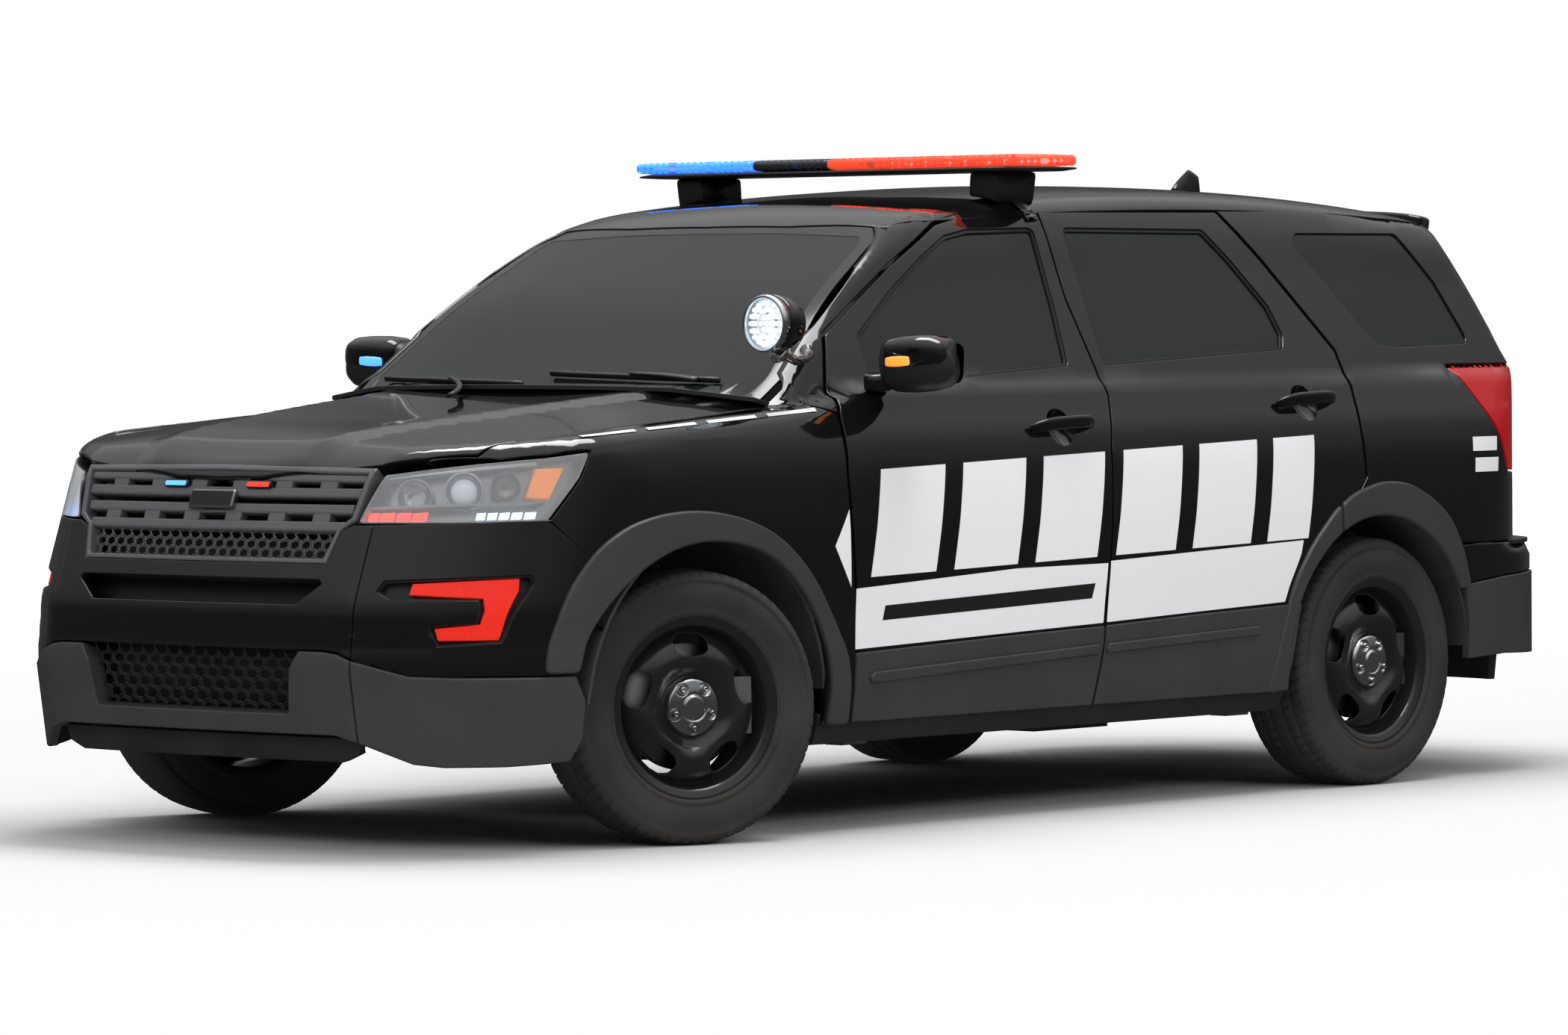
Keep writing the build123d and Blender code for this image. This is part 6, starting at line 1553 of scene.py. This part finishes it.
def wheel_window(turn):
    """A rounded window between two spokes of the disc."""
    shape = [(0.138, -0.030), (0.150, -0.047), (0.178, -0.050), (0.194, -0.030), (0.197, 0.0), (0.194, 0.030),
             (0.178, 0.050), (0.150, 0.047), (0.138, 0.030), (0.134, 0.0)]
    c, s = math.cos(turn), math.sin(turn)
    return softened([(r * c - t * s, r * s + t * c) for r, t in shape], 0.012)


def rim(axle, hand, word):
    node, body = f"{axle}_rim_{word}", f"{axle}_wheel_{word}"
    outer = ellipse((0, 0), 0.416, 0.416, 96)
    hub = ellipse((0, 0), 0.130, 0.130, 40)
    windows = [wheel_window(math.pi / 2 + 2 * math.pi * k / LUGS) for k in range(LUGS)]
    points, faces, kinds, normals = shell([outer, hub, *windows], steel_surface, 0.009, 0.004, 0.0022, 0.007)
    points, faces = at_wheel(points, faces, axle, hand)
    normals = normals * (hand, 1, 1)
    c, s = math.cos(AXLES[axle][1]), math.sin(AXLES[axle][1])
    normals = normals @ np.array([[c, s, 0], [-s, c, 0], [0, 0, 1]])
    piece = new_piece(f"{axle}_wheel_disc_{word}", points, faces, ["black_steel"], None, normals)
    carried(piece, body, [node])
    barrel = [(0.2085, 0.040), (0.2065, 0.050), (0.2095, 0.062), (0.2125, 0.078), (0.2135, 0.090), (0.2160, 0.097),
              (0.2240, 0.1015), (0.2340, 0.1045), (0.2400, 0.1085), (0.2430, 0.1070), (0.2425, 0.1030),
              (0.2370, 0.0990),
              (0.2300, 0.0970), (0.2290, 0.0900), (0.2270, 0.0800), (0.2180, 0.0660), (0.2140, 0.0400),
              (0.2140, -0.0500),
              (0.2270, -0.0800), (0.2290, -0.0970), (0.2370, -0.0990), (0.2425, -0.1050), (0.2390, -0.1070),
              (0.2300, -0.1030), (0.2250, -0.0980), (0.2230, -0.0820), (0.2100, -0.0520)]
    points, faces = turned(barrel, 128)
    wheel_piece(f"{axle}_wheel_barrel_{word}", body, points, faces, ["black_steel"], axle, hand, [node])


def cap_height(r, a):
    """The chrome cap: a low dome with five domed nuts in round pockets and a blank centre."""
    h = 0.100 - 0.012 * (r / 0.083) ** 2 - 0.020 * np.clip((r - 0.070) / 0.013, 0, 1) ** 2
    h = h - 0.004 * np.exp(-((r - 0.034) / 0.0035) ** 2) + 0.002 * (r < 0.030)
    for k in range(LUGS):
        t = math.pi / 2 + math.pi / LUGS + 2 * math.pi * k / LUGS
        d = np.hypot(r * np.cos(a) - 0.0572 * math.cos(t), r * np.sin(a) - 0.0572 * math.sin(t))
        h = h - 0.007 * (1 / (1 + np.exp((d - 0.0150) / 0.0008))) + 0.015 * (1 / (1 + np.exp((d - 0.0092) / 0.0007)))
        h = h - 0.004 * np.exp(-(d / 0.0035) ** 2)
    return h


def cap(axle, hand, word):
    rings, steps = CAP_STEPS[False]
    r = np.linspace(0.0, 0.083, rings)[1:, None]
    a = np.arange(steps)[None, :] * 2 * math.pi / steps
    x = cap_height(r, a)
    top = np.stack([x, r * np.cos(a), r * np.sin(a)], axis=2).reshape(-1, 3)
    low = np.stack([0 * a + 0.068, 0.083 * np.cos(a), 0.083 * np.sin(a)], axis=2).reshape(-1, 3)
    points = np.concatenate([[(float(cap_height(0.0, 0.0)), 0, 0)], top, low, [(0.068, 0, 0)]])
    n = rings
    faces = [(0, 1 + k, 1 + (k + 1) % steps) for k in range(steps)]
    faces += [(1 + i * steps + k, 1 + (i + 1) * steps + k, 1 + (i + 1) * steps + (k + 1) % steps,
               1 + i * steps + (k + 1) % steps)
              for i in range(n - 1) for k in range(steps)]
    last = len(points) - 1
    faces += [(last, 1 + (n - 1) * steps + (k + 1) % steps, 1 + (n - 1) * steps + k) for k in range(steps)]
    wheel_piece(f"{axle}_cap_{word}", f"{axle}_wheel_{word}", points, faces, ["chrome"], axle, hand)


def brake(axle, hand, word):
    """A disc and a caliper behind the wheel, seen through its windows."""
    body = f"front_hub_{word}" if axle == "front" else "root"
    disc = [(0.085, 0.030), (0.086, 0.046), (0.100, 0.046), (0.104, 0.036), (0.166, 0.036), (0.168, 0.034),
            (0.168, 0.014),
            (0.166, 0.012), (0.100, 0.012), (0.085, 0.014)]
    points, faces = turned(disc, 96)
    wheel_piece(f"{axle}_brake_disc_{word}", body, points, faces, ["disc_steel"], axle, hand)
    rows = [(0.112, 0.040), (0.120, 0.052), (0.150, 0.056), (0.182, 0.050), (0.186, 0.036), (0.184, 0.000),
            (0.174, -0.006),
            (0.173, 0.033), (0.130, 0.038)]
    rows = np.array(rows)
    spread = np.linspace(-0.46, 0.46, 15) + (math.pi * 0.88 if axle == "front" else 0.15)
    pinch = 1 - 0.12 * np.abs(np.linspace(-1, 1, 15)) ** 4
    points = np.concatenate([np.stack([rows[:, 1] * p, (0.15 + (rows[:, 0] - 0.15) * p) * math.cos(t),
                                       (0.15 + (rows[:, 0] - 0.15) * p) * math.sin(t)], axis=1)
                             for t, p in zip(spread, pinch)])
    n = len(rows)
    faces = [(i * n + k, i * n + (k + 1) % n, (i + 1) * n + (k + 1) % n,
              (i + 1) * n + k) for i in range(14) for k in range(n)]
    faces += [tuple(range(n))[::-1], tuple(14 * n + k for k in range(n))]
    wheel_piece(f"{axle}_caliper_{word}", body, points, faces, ["caliper_cast"], axle, hand)


for axle in AXLES:
    for hand, word in HANDS.items():
        tyre(axle, hand, word)
        rim(axle, hand, word)
        cap(axle, hand, word)
        brake(axle, hand, word)

# %% [markdown]
# On the roof stands the thin warning light bar: blue on the car's right, red on its
# left, dark between. Geometry Nodes sets its rows of small lamps.

# %% Light bar
BAR_HALF, BAR_Y, BAR_DEPTH, BAR_TOP = 0.775, 0.130, 0.143, 1.837
BAR_SPLITS = (-0.775, -0.265, 0.025, 0.775)


def lamp_row_group():
    """Geometry Nodes: on every point of the input a short drum of a radius and depth."""
    group = bpy.data.node_groups.new("lamp_row", "GeometryNodeTree")
    face = group.interface
    face.new_socket("Geometry", in_out="INPUT", socket_type="NodeSocketGeometry")
    for label, kind in (("Lamp Radius", "NodeSocketFloat"), ("Lamp Depth", "NodeSocketFloat"),
                        ("Material", "NodeSocketMaterial")):
        face.new_socket(label, in_out="INPUT", socket_type=kind)
    face.new_socket("Geometry", in_out="OUTPUT", socket_type="NodeSocketGeometry")
    nodes, links = group.nodes, group.links
    start, end = nodes.new("NodeGroupInput"), nodes.new("NodeGroupOutput")
    drum, spread = nodes.new("GeometryNodeMeshCone"), nodes.new("GeometryNodeInstanceOnPoints")
    drum.inputs["Vertices"].default_value = 10
    narrow = nodes.new("ShaderNodeMath")
    narrow.operation, narrow.inputs[1].default_value = "MULTIPLY", 0.75
    real, paint = nodes.new("GeometryNodeRealizeInstances"), nodes.new("GeometryNodeSetMaterial")
    links.new(start.outputs["Lamp Radius"], drum.inputs["Radius Bottom"])
    links.new(start.outputs["Lamp Radius"], narrow.inputs[0])
    links.new(narrow.outputs[0], drum.inputs["Radius Top"])
    links.new(start.outputs["Lamp Depth"], drum.inputs["Depth"])
    links.new(start.outputs["Geometry"], spread.inputs["Points"])
    links.new(drum.outputs["Mesh"], spread.inputs["Instance"])
    links.new(spread.outputs["Instances"], real.inputs["Geometry"])
    links.new(real.outputs["Geometry"], paint.inputs["Geometry"])
    links.new(start.outputs["Material"], paint.inputs["Material"])
    links.new(paint.outputs["Geometry"], end.inputs["Geometry"])
    return group


LAMP_ROW = lamp_row_group()


def lamp_rows(name, centres, turn, radius, depth, look, body="root"):
    """Small lamps made flat on points, then turned and moved to their place."""
    mesh = through_group(centres, LAMP_ROW, {"Lamp Radius": radius, "Lamp Depth": depth, "Material": FINISHES[look]})
    mesh.transform(turn)
    mesh.update()
    piece = bpy.data.objects.new(name, mesh)
    bpy.context.scene.collection.objects.link(piece)
    return carried(piece, body)


def bar_shape(name, start, end, low, high, look, shrink_start, shrink_end, margin=0.0):
    """A stretch of the bar along x with a rounded section, closing in at the car's sides."""
    xs = np.linspace(start, end, 18)
    far = np.full(len(xs), 9.0)
    away = np.minimum((xs - start) / 0.09 + 0.02 if shrink_start else far,
                      (end - xs) / 0.09 + 0.02 if shrink_end else far)
    shape = np.sqrt(np.clip(1 - (1 - np.clip(away, 0, 1)) ** 2.4, 0.02, 1))
    path = [(x, BAR_Y, (low + high) / 2) for x in xs]
    half = np.stack([(BAR_DEPTH - margin) * (0.45 + 0.55 * shape), (high - low) / 2 * (0.35 + 0.65 * shape)], axis=1)
    return sweep(name, "root", path, (0, 0, 1), half, look, sides=32, power=4.5)


bar_shape("bar_tray", -BAR_HALF, BAR_HALF, 1.7885, 1.8035, "dark_plastic", True, True)
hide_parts("light_bar")
for k, look in enumerate(("blue_clear", "bar_smoke", "red_bar_lens")):
    bar_shape(f"bar_lens_{k}", BAR_SPLITS[k] + 0.001, BAR_SPLITS[k + 1] - 0.001, 1.8025, BAR_TOP, look, k == 0,
              k == 2, 0.003)
for k, (start, end,
        look) in enumerate(((-0.735, -0.285, "lit_blue"), (-0.245, 0.010, "bar_dark"), (0.045, 0.735, "lit_red"))):
    count = int((end - start) / 0.0245)
    flat = [(start + (j + 0.5) * (end - start) / count, z, 0.0) for j in range(count) for z in (-0.008, 0.008)
            if j % 6 != 5]
    for side, sign in (("front", -1), ("rear", 1)):
        turn = Matrix.Translation((0, BAR_Y + sign * (BAR_DEPTH - 0.020),
                                   1.820)) @ Matrix.Rotation(math.radians(90) * 1, 4, "X")
        lamp_rows(f"bar_lamps_{k}_{side}", flat, turn, 0.0085, 0.010, look)


def bar_foot(hand, word):
    """A black foot under the bar, with a bright strap hooked over the roof's edge."""
    xs = np.linspace(0.520, 0.615, 9)
    roof = on_form("top", [(float(x), BAR_Y) for x in xs])[0][:, 2]
    path = [(x, BAR_Y + 0.0, (r + 1.789) / 2) for x, r in zip(xs, roof)]
    half = [(0.085, (1.789 - r) / 2) for r in roof]
    sweep(f"bar_foot_{word}", "root", path, (0, 0, 1), half, "dark_plastic", sides=32, power=9,
          hand=hand)
    top = on_form("top", [(float(x), BAR_Y) for x in np.linspace(0.575, 0.676, 8)], -0.004)[0]
    side = on_form("side", [(BAR_Y, z) for z in (1.675, 1.664, 1.655)], -0.004)[0]
    path = np.concatenate([[(0.545, BAR_Y, 1.775)], top, side])
    half = np.tile([0.022, 0.0022], (len(path), 1))
    sweep(f"bar_strap_{word}", "root", path, (0, 0, 1), half, "satin_metal", sides=16, power=6,
          hand=hand)


both_hands(bar_foot)

# %% [markdown]
# The door mirrors have a rounded shell, an arm and a lit side lamp: amber on the
# driver's side, blue on the other. The spotlight stands on the left pillar only.

# %% Mirrors, spotlight and antenna
def mirror(hand, word):
    body = f"front_door_{word}"
    xs = np.array([0.922, 0.930, 0.945, 0.975, 1.020, 1.070, 1.110, 1.132, 1.142, 1.1455])
    y = -0.742 - 0.012 * np.sin(np.linspace(0, math.pi, 10))
    z = 1.258 - 0.010 * np.linspace(1, -0.6, 10)
    deep = np.array([0.020, 0.045, 0.060, 0.071, 0.074, 0.073, 0.068, 0.056, 0.038, 0.012])
    tall = np.array([0.022, 0.048, 0.064, 0.074, 0.077, 0.075, 0.069, 0.056, 0.038, 0.014])
    sweep(f"mirror_shell_{word}", body, np.stack([xs, y, z], axis=1), (0, 0, 1), np.stack([deep, tall], axis=1),
          "dark_plastic", sides=40, power=3.2, hand=hand, replaces=[f"door_mirror_{word}"])
    cover = np.stack([xs[2:9], y[2:9] - 0.004, z[2:9] + 0.022], axis=1)
    sweep(f"mirror_cover_{word}", body, cover, (0, 0, 1), np.stack([deep[2:9] * 0.985, tall[2:9] * 0.76], axis=1),
          "black_paint", sides=40, power=3.0, hand=hand)
    arm = [(0.880, -0.765, 1.205), (0.905, -0.760, 1.206), (0.935, -0.752, 1.212), (0.965, -0.748, 1.222)]
    sweep(f"mirror_arm_{word}", body, arm, (0, 0, 1), [(0.062, 0.030), (0.050, 0.026), (0.042, 0.022), (0.040, 0.018)],
          "gloss_plastic", sides=24, power=3.0, hand=hand)
    look = "lit_amber" if hand == LEFT else "lit_blue"
    lamp = [(0.970, -0.8165, 1.262), (0.976, -0.823, 1.262), (1.000, -0.8275, 1.263), (1.030, -0.829, 1.264),
            (1.056, -0.8275, 1.265), (1.064, -0.822, 1.265)]
    sweep(f"mirror_lamp_{word}", body, lamp, (0, 0, 1), [(0.003, 0.006), (0.007, 0.012), (0.008, 0.014), (0.008, 0.014),
          (0.007, 0.012), (0.003, 0.006)], look, sides=20, power=3.0, hand=hand)

    def glass_surface(flat):
        x, z = flat.T
        return np.stack([x, 0 * x - 0.674, z], axis=1), np.tile([0.0, 1.0, 0.0], (len(x), 1))
    outline = softened([(0.952, 1.195), (1.118, 1.203), (1.124, 1.310), (0.955, 1.318)], 0.03)
    points, faces, kinds, normals = shell([ccw(outline)], glass_surface, 0.03, 0.004, 0.002, 0.012)
    points, normals = points * (hand, 1, 1), normals * (hand, 1, 1)
    piece = new_piece(f"mirror_glass_{word}", points, faces, ["mirror_glass"], None, normals)
    outward(piece)
    carried(piece, body)


finish("mirror_glass", (0.80, 0.82, 0.84), 0.01, metallic=1.0, film=0.01, grain=(5.0, 0.2, 0.00002))
both_hands(mirror)
SPOT, SPOT_RADIUS = (0.890, -1.165, 1.368), 0.078


def spot_ring(name, rows, look):
    """A ring turned about the spotlight's own axis, rows of (radius, how far forward)."""
    points, faces = turned(rows, 64)
    points = np.stack([points[:, 1] + SPOT[0], -points[:, 0] + SPOT[1], points[:, 2] + SPOT[2]], axis=1)
    piece = new_piece(name, points, faces, [look])
    outward(piece)
    return carried(piece, "root")


dome_rows = [(0.0005 + SPOT_RADIUS * 0.93 * math.sin(t), 0.052 + 0.012 * math.cos(t))
             for t in np.linspace(0, math.pi / 2, 12)]
spot_ring("spot_lens", dome_rows + [(0.070, 0.046), (0.0005, 0.046)], "clear_lens")
spot_ring("spot_reflector",
          [(0.0005, 0.010), (0.040, 0.016), (0.066, 0.044), (0.069, 0.044), (0.060, 0.018), (0.0005, 0.004)], "chrome")
spot_ring("spot_bezel",
          [(0.068, 0.050), (0.070, 0.058), (0.075, 0.058), (0.0785, 0.050), (0.0785, 0.036), (0.070, 0.036)], "chrome")
back_rows = [(0.0775, 0.040), (0.0780, 0.015), (0.0740, -0.015), (0.0640, -0.042), (0.0460, -0.062), (0.0240, -0.072),
             (0.0005, -0.075),
             (0.0005, -0.070), (0.0600, -0.030), (0.0710, 0.030)]
shell_piece = spot_ring("spot_housing", back_rows, "black_paint")
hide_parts("spotlight")
SPOT_LAMPS = [(0.0, 0.0, 0.0)] + [(r * math.cos(a), r * math.sin(a), 0.0) for r,
                                  n in ((0.019, 6), (0.038, 12), (0.056, 18))
                                 for a in (2 * math.pi * k / n for k in range(n))]
lamp_rows("spot_lamps", SPOT_LAMPS,
          Matrix.Translation((SPOT[0], SPOT[1] - 0.036, SPOT[2])) @ Matrix.Rotation(math.radians(90), 4, "X"),
          0.0075, 0.012, "lit_white")
ELBOW = [(0.890, -1.150, 1.300), (0.890, -1.128, 1.282), (0.880, -1.085, 1.268), (0.862, -1.030, 1.272),
         (0.835, -0.985, 1.282),
         (0.805, -0.958, 1.292)]
sweep("spot_arm", "root", ELBOW, (0, 0.3, 1),
      [(0.012, 0.012), (0.014, 0.014), (0.013, 0.013), (0.012, 0.012), (0.016, 0.016), (0.020, 0.020)],
      "chrome", sides=20, power=2)
sweep("spot_yoke", "root", [(0.890, -1.165, 1.296), (0.890, -1.156, 1.290), (0.890, -1.145, 1.284)], (1, 0, 0),
      [(0.030, 0.022), (0.032, 0.024), (0.022, 0.018)], "chrome", sides=20, power=3)
roof_at = float(on_form("top", [(0.0, 1.64)])[0][0, 2])
FIN_RISE = np.linspace(0, 1, 9)
fin_path = [(0.0, 1.640 + 0.040 * t, roof_at - 0.004 + (1.811 - roof_at) * t) for t in FIN_RISE]
sweep("roof_fin", "root", fin_path, (0, 1, 0),
      [(0.021 * (1 - 0.75 * t ** 1.5), 0.072 * (1 - 0.62 * t ** 1.3)) for t in FIN_RISE],
      "gloss_plastic", sides=28, power=2.2, replaces=["roof_antenna"])
print("spotlight at", SPOT)

# %% [markdown]
# Two wipers rest at the foot of the windscreen, each an arm and a blade that follows the
# glass a little above it.

# %% Wipers
def wiper(name, pivot, elbow, start, end):
    blade = on_form("front",
                    [(start[0] + (end[0] - start[0]) * t, start[1] + (end[1] - start[1]) * t) for t in ease(14)],
                    -0.010)[0]
    arm = on_form("front", [pivot, elbow, ((start[0] + end[0]) / 2, (start[1] + end[1]) / 2)], -0.022)[0]
    ts = ease(12)
    arm = np.array([(1 - t) ** 2 * arm[0] + 2 * t * (1 - t) * arm[1] + t * t * arm[2] for t in ts])
    sweep(f"{name}_blade", "root", blade, (0, -0.5, 1), [(0.007, 0.008)] * 14, "mesh_black", sides=12)
    sweep(f"{name}_arm", "root", arm, (0, -0.5, 1), [(0.010 - 0.004 * t, 0.006 - 0.002 * t) for t in ts],
          "dark_plastic",
          sides=12)


wiper("wiper_left", (0.560, 1.200), (0.450, 1.214), (0.620, 1.208), (0.010, 1.226))
wiper("wiper_right", (0.020, 1.158), (-0.120, 1.180), (-0.060, 1.196), (-0.680, 1.210))
print("wipers ready")

# %% [markdown]
# The cabin is hollow and shows faintly through dark glass: a dash with a hood over its
# instruments, a steering wheel, an inner mirror and cloth seats.

# %% Dash and steering wheel
dash_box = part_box("dashboard")
print("dash box", [[round(c, 3) for c in corner] for corner in dash_box])


def slab(name, low, high, look, body="root", power=5.0, replaces=(), sides=36):
    """A soft-edged block between two corners, swept along x."""
    xs = np.linspace(0, 1, 15)
    shape = (1 - np.abs(2 * xs - 1) ** 8) ** 0.25
    path = [(low[0] + (high[0] - low[0]) * t, (low[1] + high[1]) / 2, (low[2] + high[2]) / 2) for t in xs]
    half = [((high[1] - low[1]) / 2 * max(s, 0.5), (high[2] - low[2]) / 2 * max(s, 0.5)) for s in shape]
    return sweep(name, body, path, (0, 0, 1), half, look, sides=sides, power=power, replaces=replaces)


dash_low, dash_high = dash_box
slab("dash_top", (dash_low[0] + 0.01, dash_low[1] + 0.02, dash_high[2] - 0.20),
     (dash_high[0] - 0.01, dash_high[1] - 0.02, dash_high[2] - 0.005),
     "cabin_plastic", replaces=["dashboard"])
slab("dash_lower", (dash_low[0] + 0.03, dash_low[1] + 0.03, dash_low[2] + 0.01),
     (dash_high[0] - 0.03, dash_high[1] - 0.10, dash_high[2] - 0.18),
     "cabin_plastic")
slab("dash_hood", (0.20, dash_high[1] - 0.20, dash_high[2] - 0.07), (0.52, dash_high[1] - 0.03, dash_high[2] - 0.002),
     "cabin_plastic",
     power=3)
WHEEL_MIDDLE, WHEEL_RADIUS, WHEEL_TILT = (0.36, dash_high[1] + 0.10, 0.99), 0.178, math.radians(26)


def hoop():
    """The steering wheel: a rim, three spokes and a boss, tilted towards the driver."""
    turn = Matrix.Translation(WHEEL_MIDDLE) @ Matrix.Rotation(math.radians(90) - WHEEL_TILT, 4, "X")
    rows = [(WHEEL_RADIUS + 0.014 * math.cos(t), 0.014 * math.sin(t)) for t in np.linspace(0, 2 * math.pi, 13)[:-1]]
    points, faces = turned(rows, 72)
    points = [turn @ Vector((p[1], p[2], p[0])) for p in points]
    piece = new_piece("steering_rim", points, faces, ["cabin_plastic"])
    outward(piece)
    carried(piece, "root")
    for k, angle in enumerate((0, 180, 270)):
        a = math.radians(angle)
        path = [turn @ Vector((r * math.cos(a), r * math.sin(a), 0.010 - 0.02 * r))
                for r in np.linspace(0.03, WHEEL_RADIUS - 0.002, 6)]
        up = (turn.to_3x3() @ Vector((0, 0, 1)))
        sweep(f"steering_spoke_{k}", "root", path, up, [(0.020, 0.008)] * 6, "cabin_plastic", sides=14)
    path = [turn @ Vector((0, 0, z)) for z in (-0.12, -0.03, 0.0, 0.018, 0.024)]
    sweep("steering_boss", "root", path, (1, 0, 0),
          [(0.030, 0.030), (0.040, 0.040), (0.058, 0.062), (0.050, 0.054), (0.030, 0.034)],
          "cabin_plastic", sides=28, power=3)


hoop()
slab("inner_mirror", (-0.125, -0.475, 1.500), (0.125, -0.445, 1.560), "cabin_plastic", power=3)
sweep("inner_mirror_stem", "root", [(0, -0.470, 1.535), (0, -0.500, 1.570), (0, -0.540, 1.598)], (1, 0, 0),
      [(0.012, 0.012)] * 3,
      "cabin_plastic", sides=12)
print("steering wheel at", tuple(round(c, 3) for c in WHEEL_MIDDLE))

# %% [markdown]
# Seats are their own pass. Each pad is a crowned form with welts across it and a seam
# round it; it is drawn over the frame's seat.

# %% Seats
SEATS = []
seat_low, seat_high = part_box("seats")
print("seats box", [[round(c, 3) for c in corner] for corner in (seat_low, seat_high)])


def pad(name, centre, size, lean, flutes, crown=0.22, body="root"):
    """A stuffed pad: a rounded box with a crowned face, welts across it and a seam round it."""
    nu, nv = 44, 30
    rows = []
    for i in range(nv + 1):
        v = -math.pi / 2 + math.pi * i / nv
        for k in range(nu):
            u = 2 * math.pi * k / nu
            def power(w, e):
                return math.copysign(abs(w) ** e, w)
            x = power(math.cos(v), 0.30) * power(math.cos(u), 0.28)
            y = power(math.cos(v), 0.30) * power(math.sin(u), 0.28)
            z = power(math.sin(v), 0.45)
            swell = 1 + crown * (1 - x * x) * (1 - y * y)
            seam = 1 - 0.05 * math.exp(-(z / 0.10) ** 2)
            flute = 0.06 * (1 - abs(math.cos(math.pi * (x * flutes / 2)))) ** 3 if z > 0 else 0.0
            rows.append((x * size[0] / 2 * seam, y * size[1] / 2 * seam,
                         (z * swell - flute * (1 - y ** 8)) * size[2] / 2))
    turn = Matrix.Translation(centre) @ Matrix.Rotation(lean, 4, "X")
    points = [turn @ Vector(p) for p in rows]
    faces = [(i * nu + k, i * nu + (k + 1) % nu, (i + 1) * nu + (k + 1) % nu,
              (i + 1) * nu + k) for i in range(nv) for k in range(nu)]
    piece = new_piece(name, points, faces, ["seat_cloth"])
    work = bmesh.new()
    work.from_mesh(piece.data)
    bmesh.ops.remove_doubles(work, verts=work.verts, dist=1e-6)
    bmesh.ops.recalc_face_normals(work, faces=work.faces)
    work.to_mesh(piece.data)
    work.free()
    carried(piece, body, ["seats"])
    SEATS.append(piece)


finish("seat_cloth", (0.020, 0.020, 0.022), 0.95, film=0.03, grain=(2200.0, 1.0, 0.0006))
for hand, word in HANDS.items():
    pad(f"front_cushion_{word}", (hand * 0.36, -0.11, 0.575), (0.50, 0.50, 0.15), 0.10, 5)
    pad(f"front_back_{word}", (hand * 0.36, 0.135, 0.905), (0.50, 0.62, 0.13), math.radians(78), 5)
    pad(f"front_headrest_{word}", (hand * 0.36, 0.195, 1.285), (0.26, 0.17, 0.10), math.radians(82), 2)
pad("rear_cushion", (0.0, 0.62, 0.585), (1.28, 0.46, 0.15), 0.10, 8)
pad("rear_back", (0.0, 0.86, 0.900), (1.28, 0.60, 0.13), math.radians(76), 8)
for k, x in enumerate((-0.42, 0.0, 0.42)):
    pad(f"rear_headrest_{k}", (x, 0.930, 1.250), (0.25, 0.15, 0.09), math.radians(80), 2)
print(len(SEATS), "pads")

# %% [markdown]
# What is left of the frame's own solids is the car's underside, which gets undercoat,
# raw castings and dull pipe steel.

# %% Finishes of the frame's own solids
FRAME_LOOKS = {"floor_pan": "undercoat", "wheel_houses": "undercoat", "front_subframe": "undercoat",
               "front_struts": "raw_casting", "rear_axle": "undercoat", "exhaust": "pipe_steel",
               "engine_block": "raw_casting",
               "front_hub_left": "raw_casting", "front_hub_right": "raw_casting"}
for node, look in FRAME_LOOKS.items():
    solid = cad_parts[node]
    for place in solid.material_slots:
        place.material = FINISHES[look]
    if not solid.material_slots:
        solid.data.materials.append(FINISHES[look])
red_lamp = [(1.795, 1.300), (1.850, 1.300), (1.850, 1.325), (1.795, 1.325)]
panel("quarter_flasher", "root", red_lamp, inset=0.06, depth=0.03, roll=0.006, step=0.01,
      looks=("lit_red", "dark_plastic", "dark_plastic"),
      slot="red_lens")
print("frame solids shown", sorted(FRAME_LOOKS))
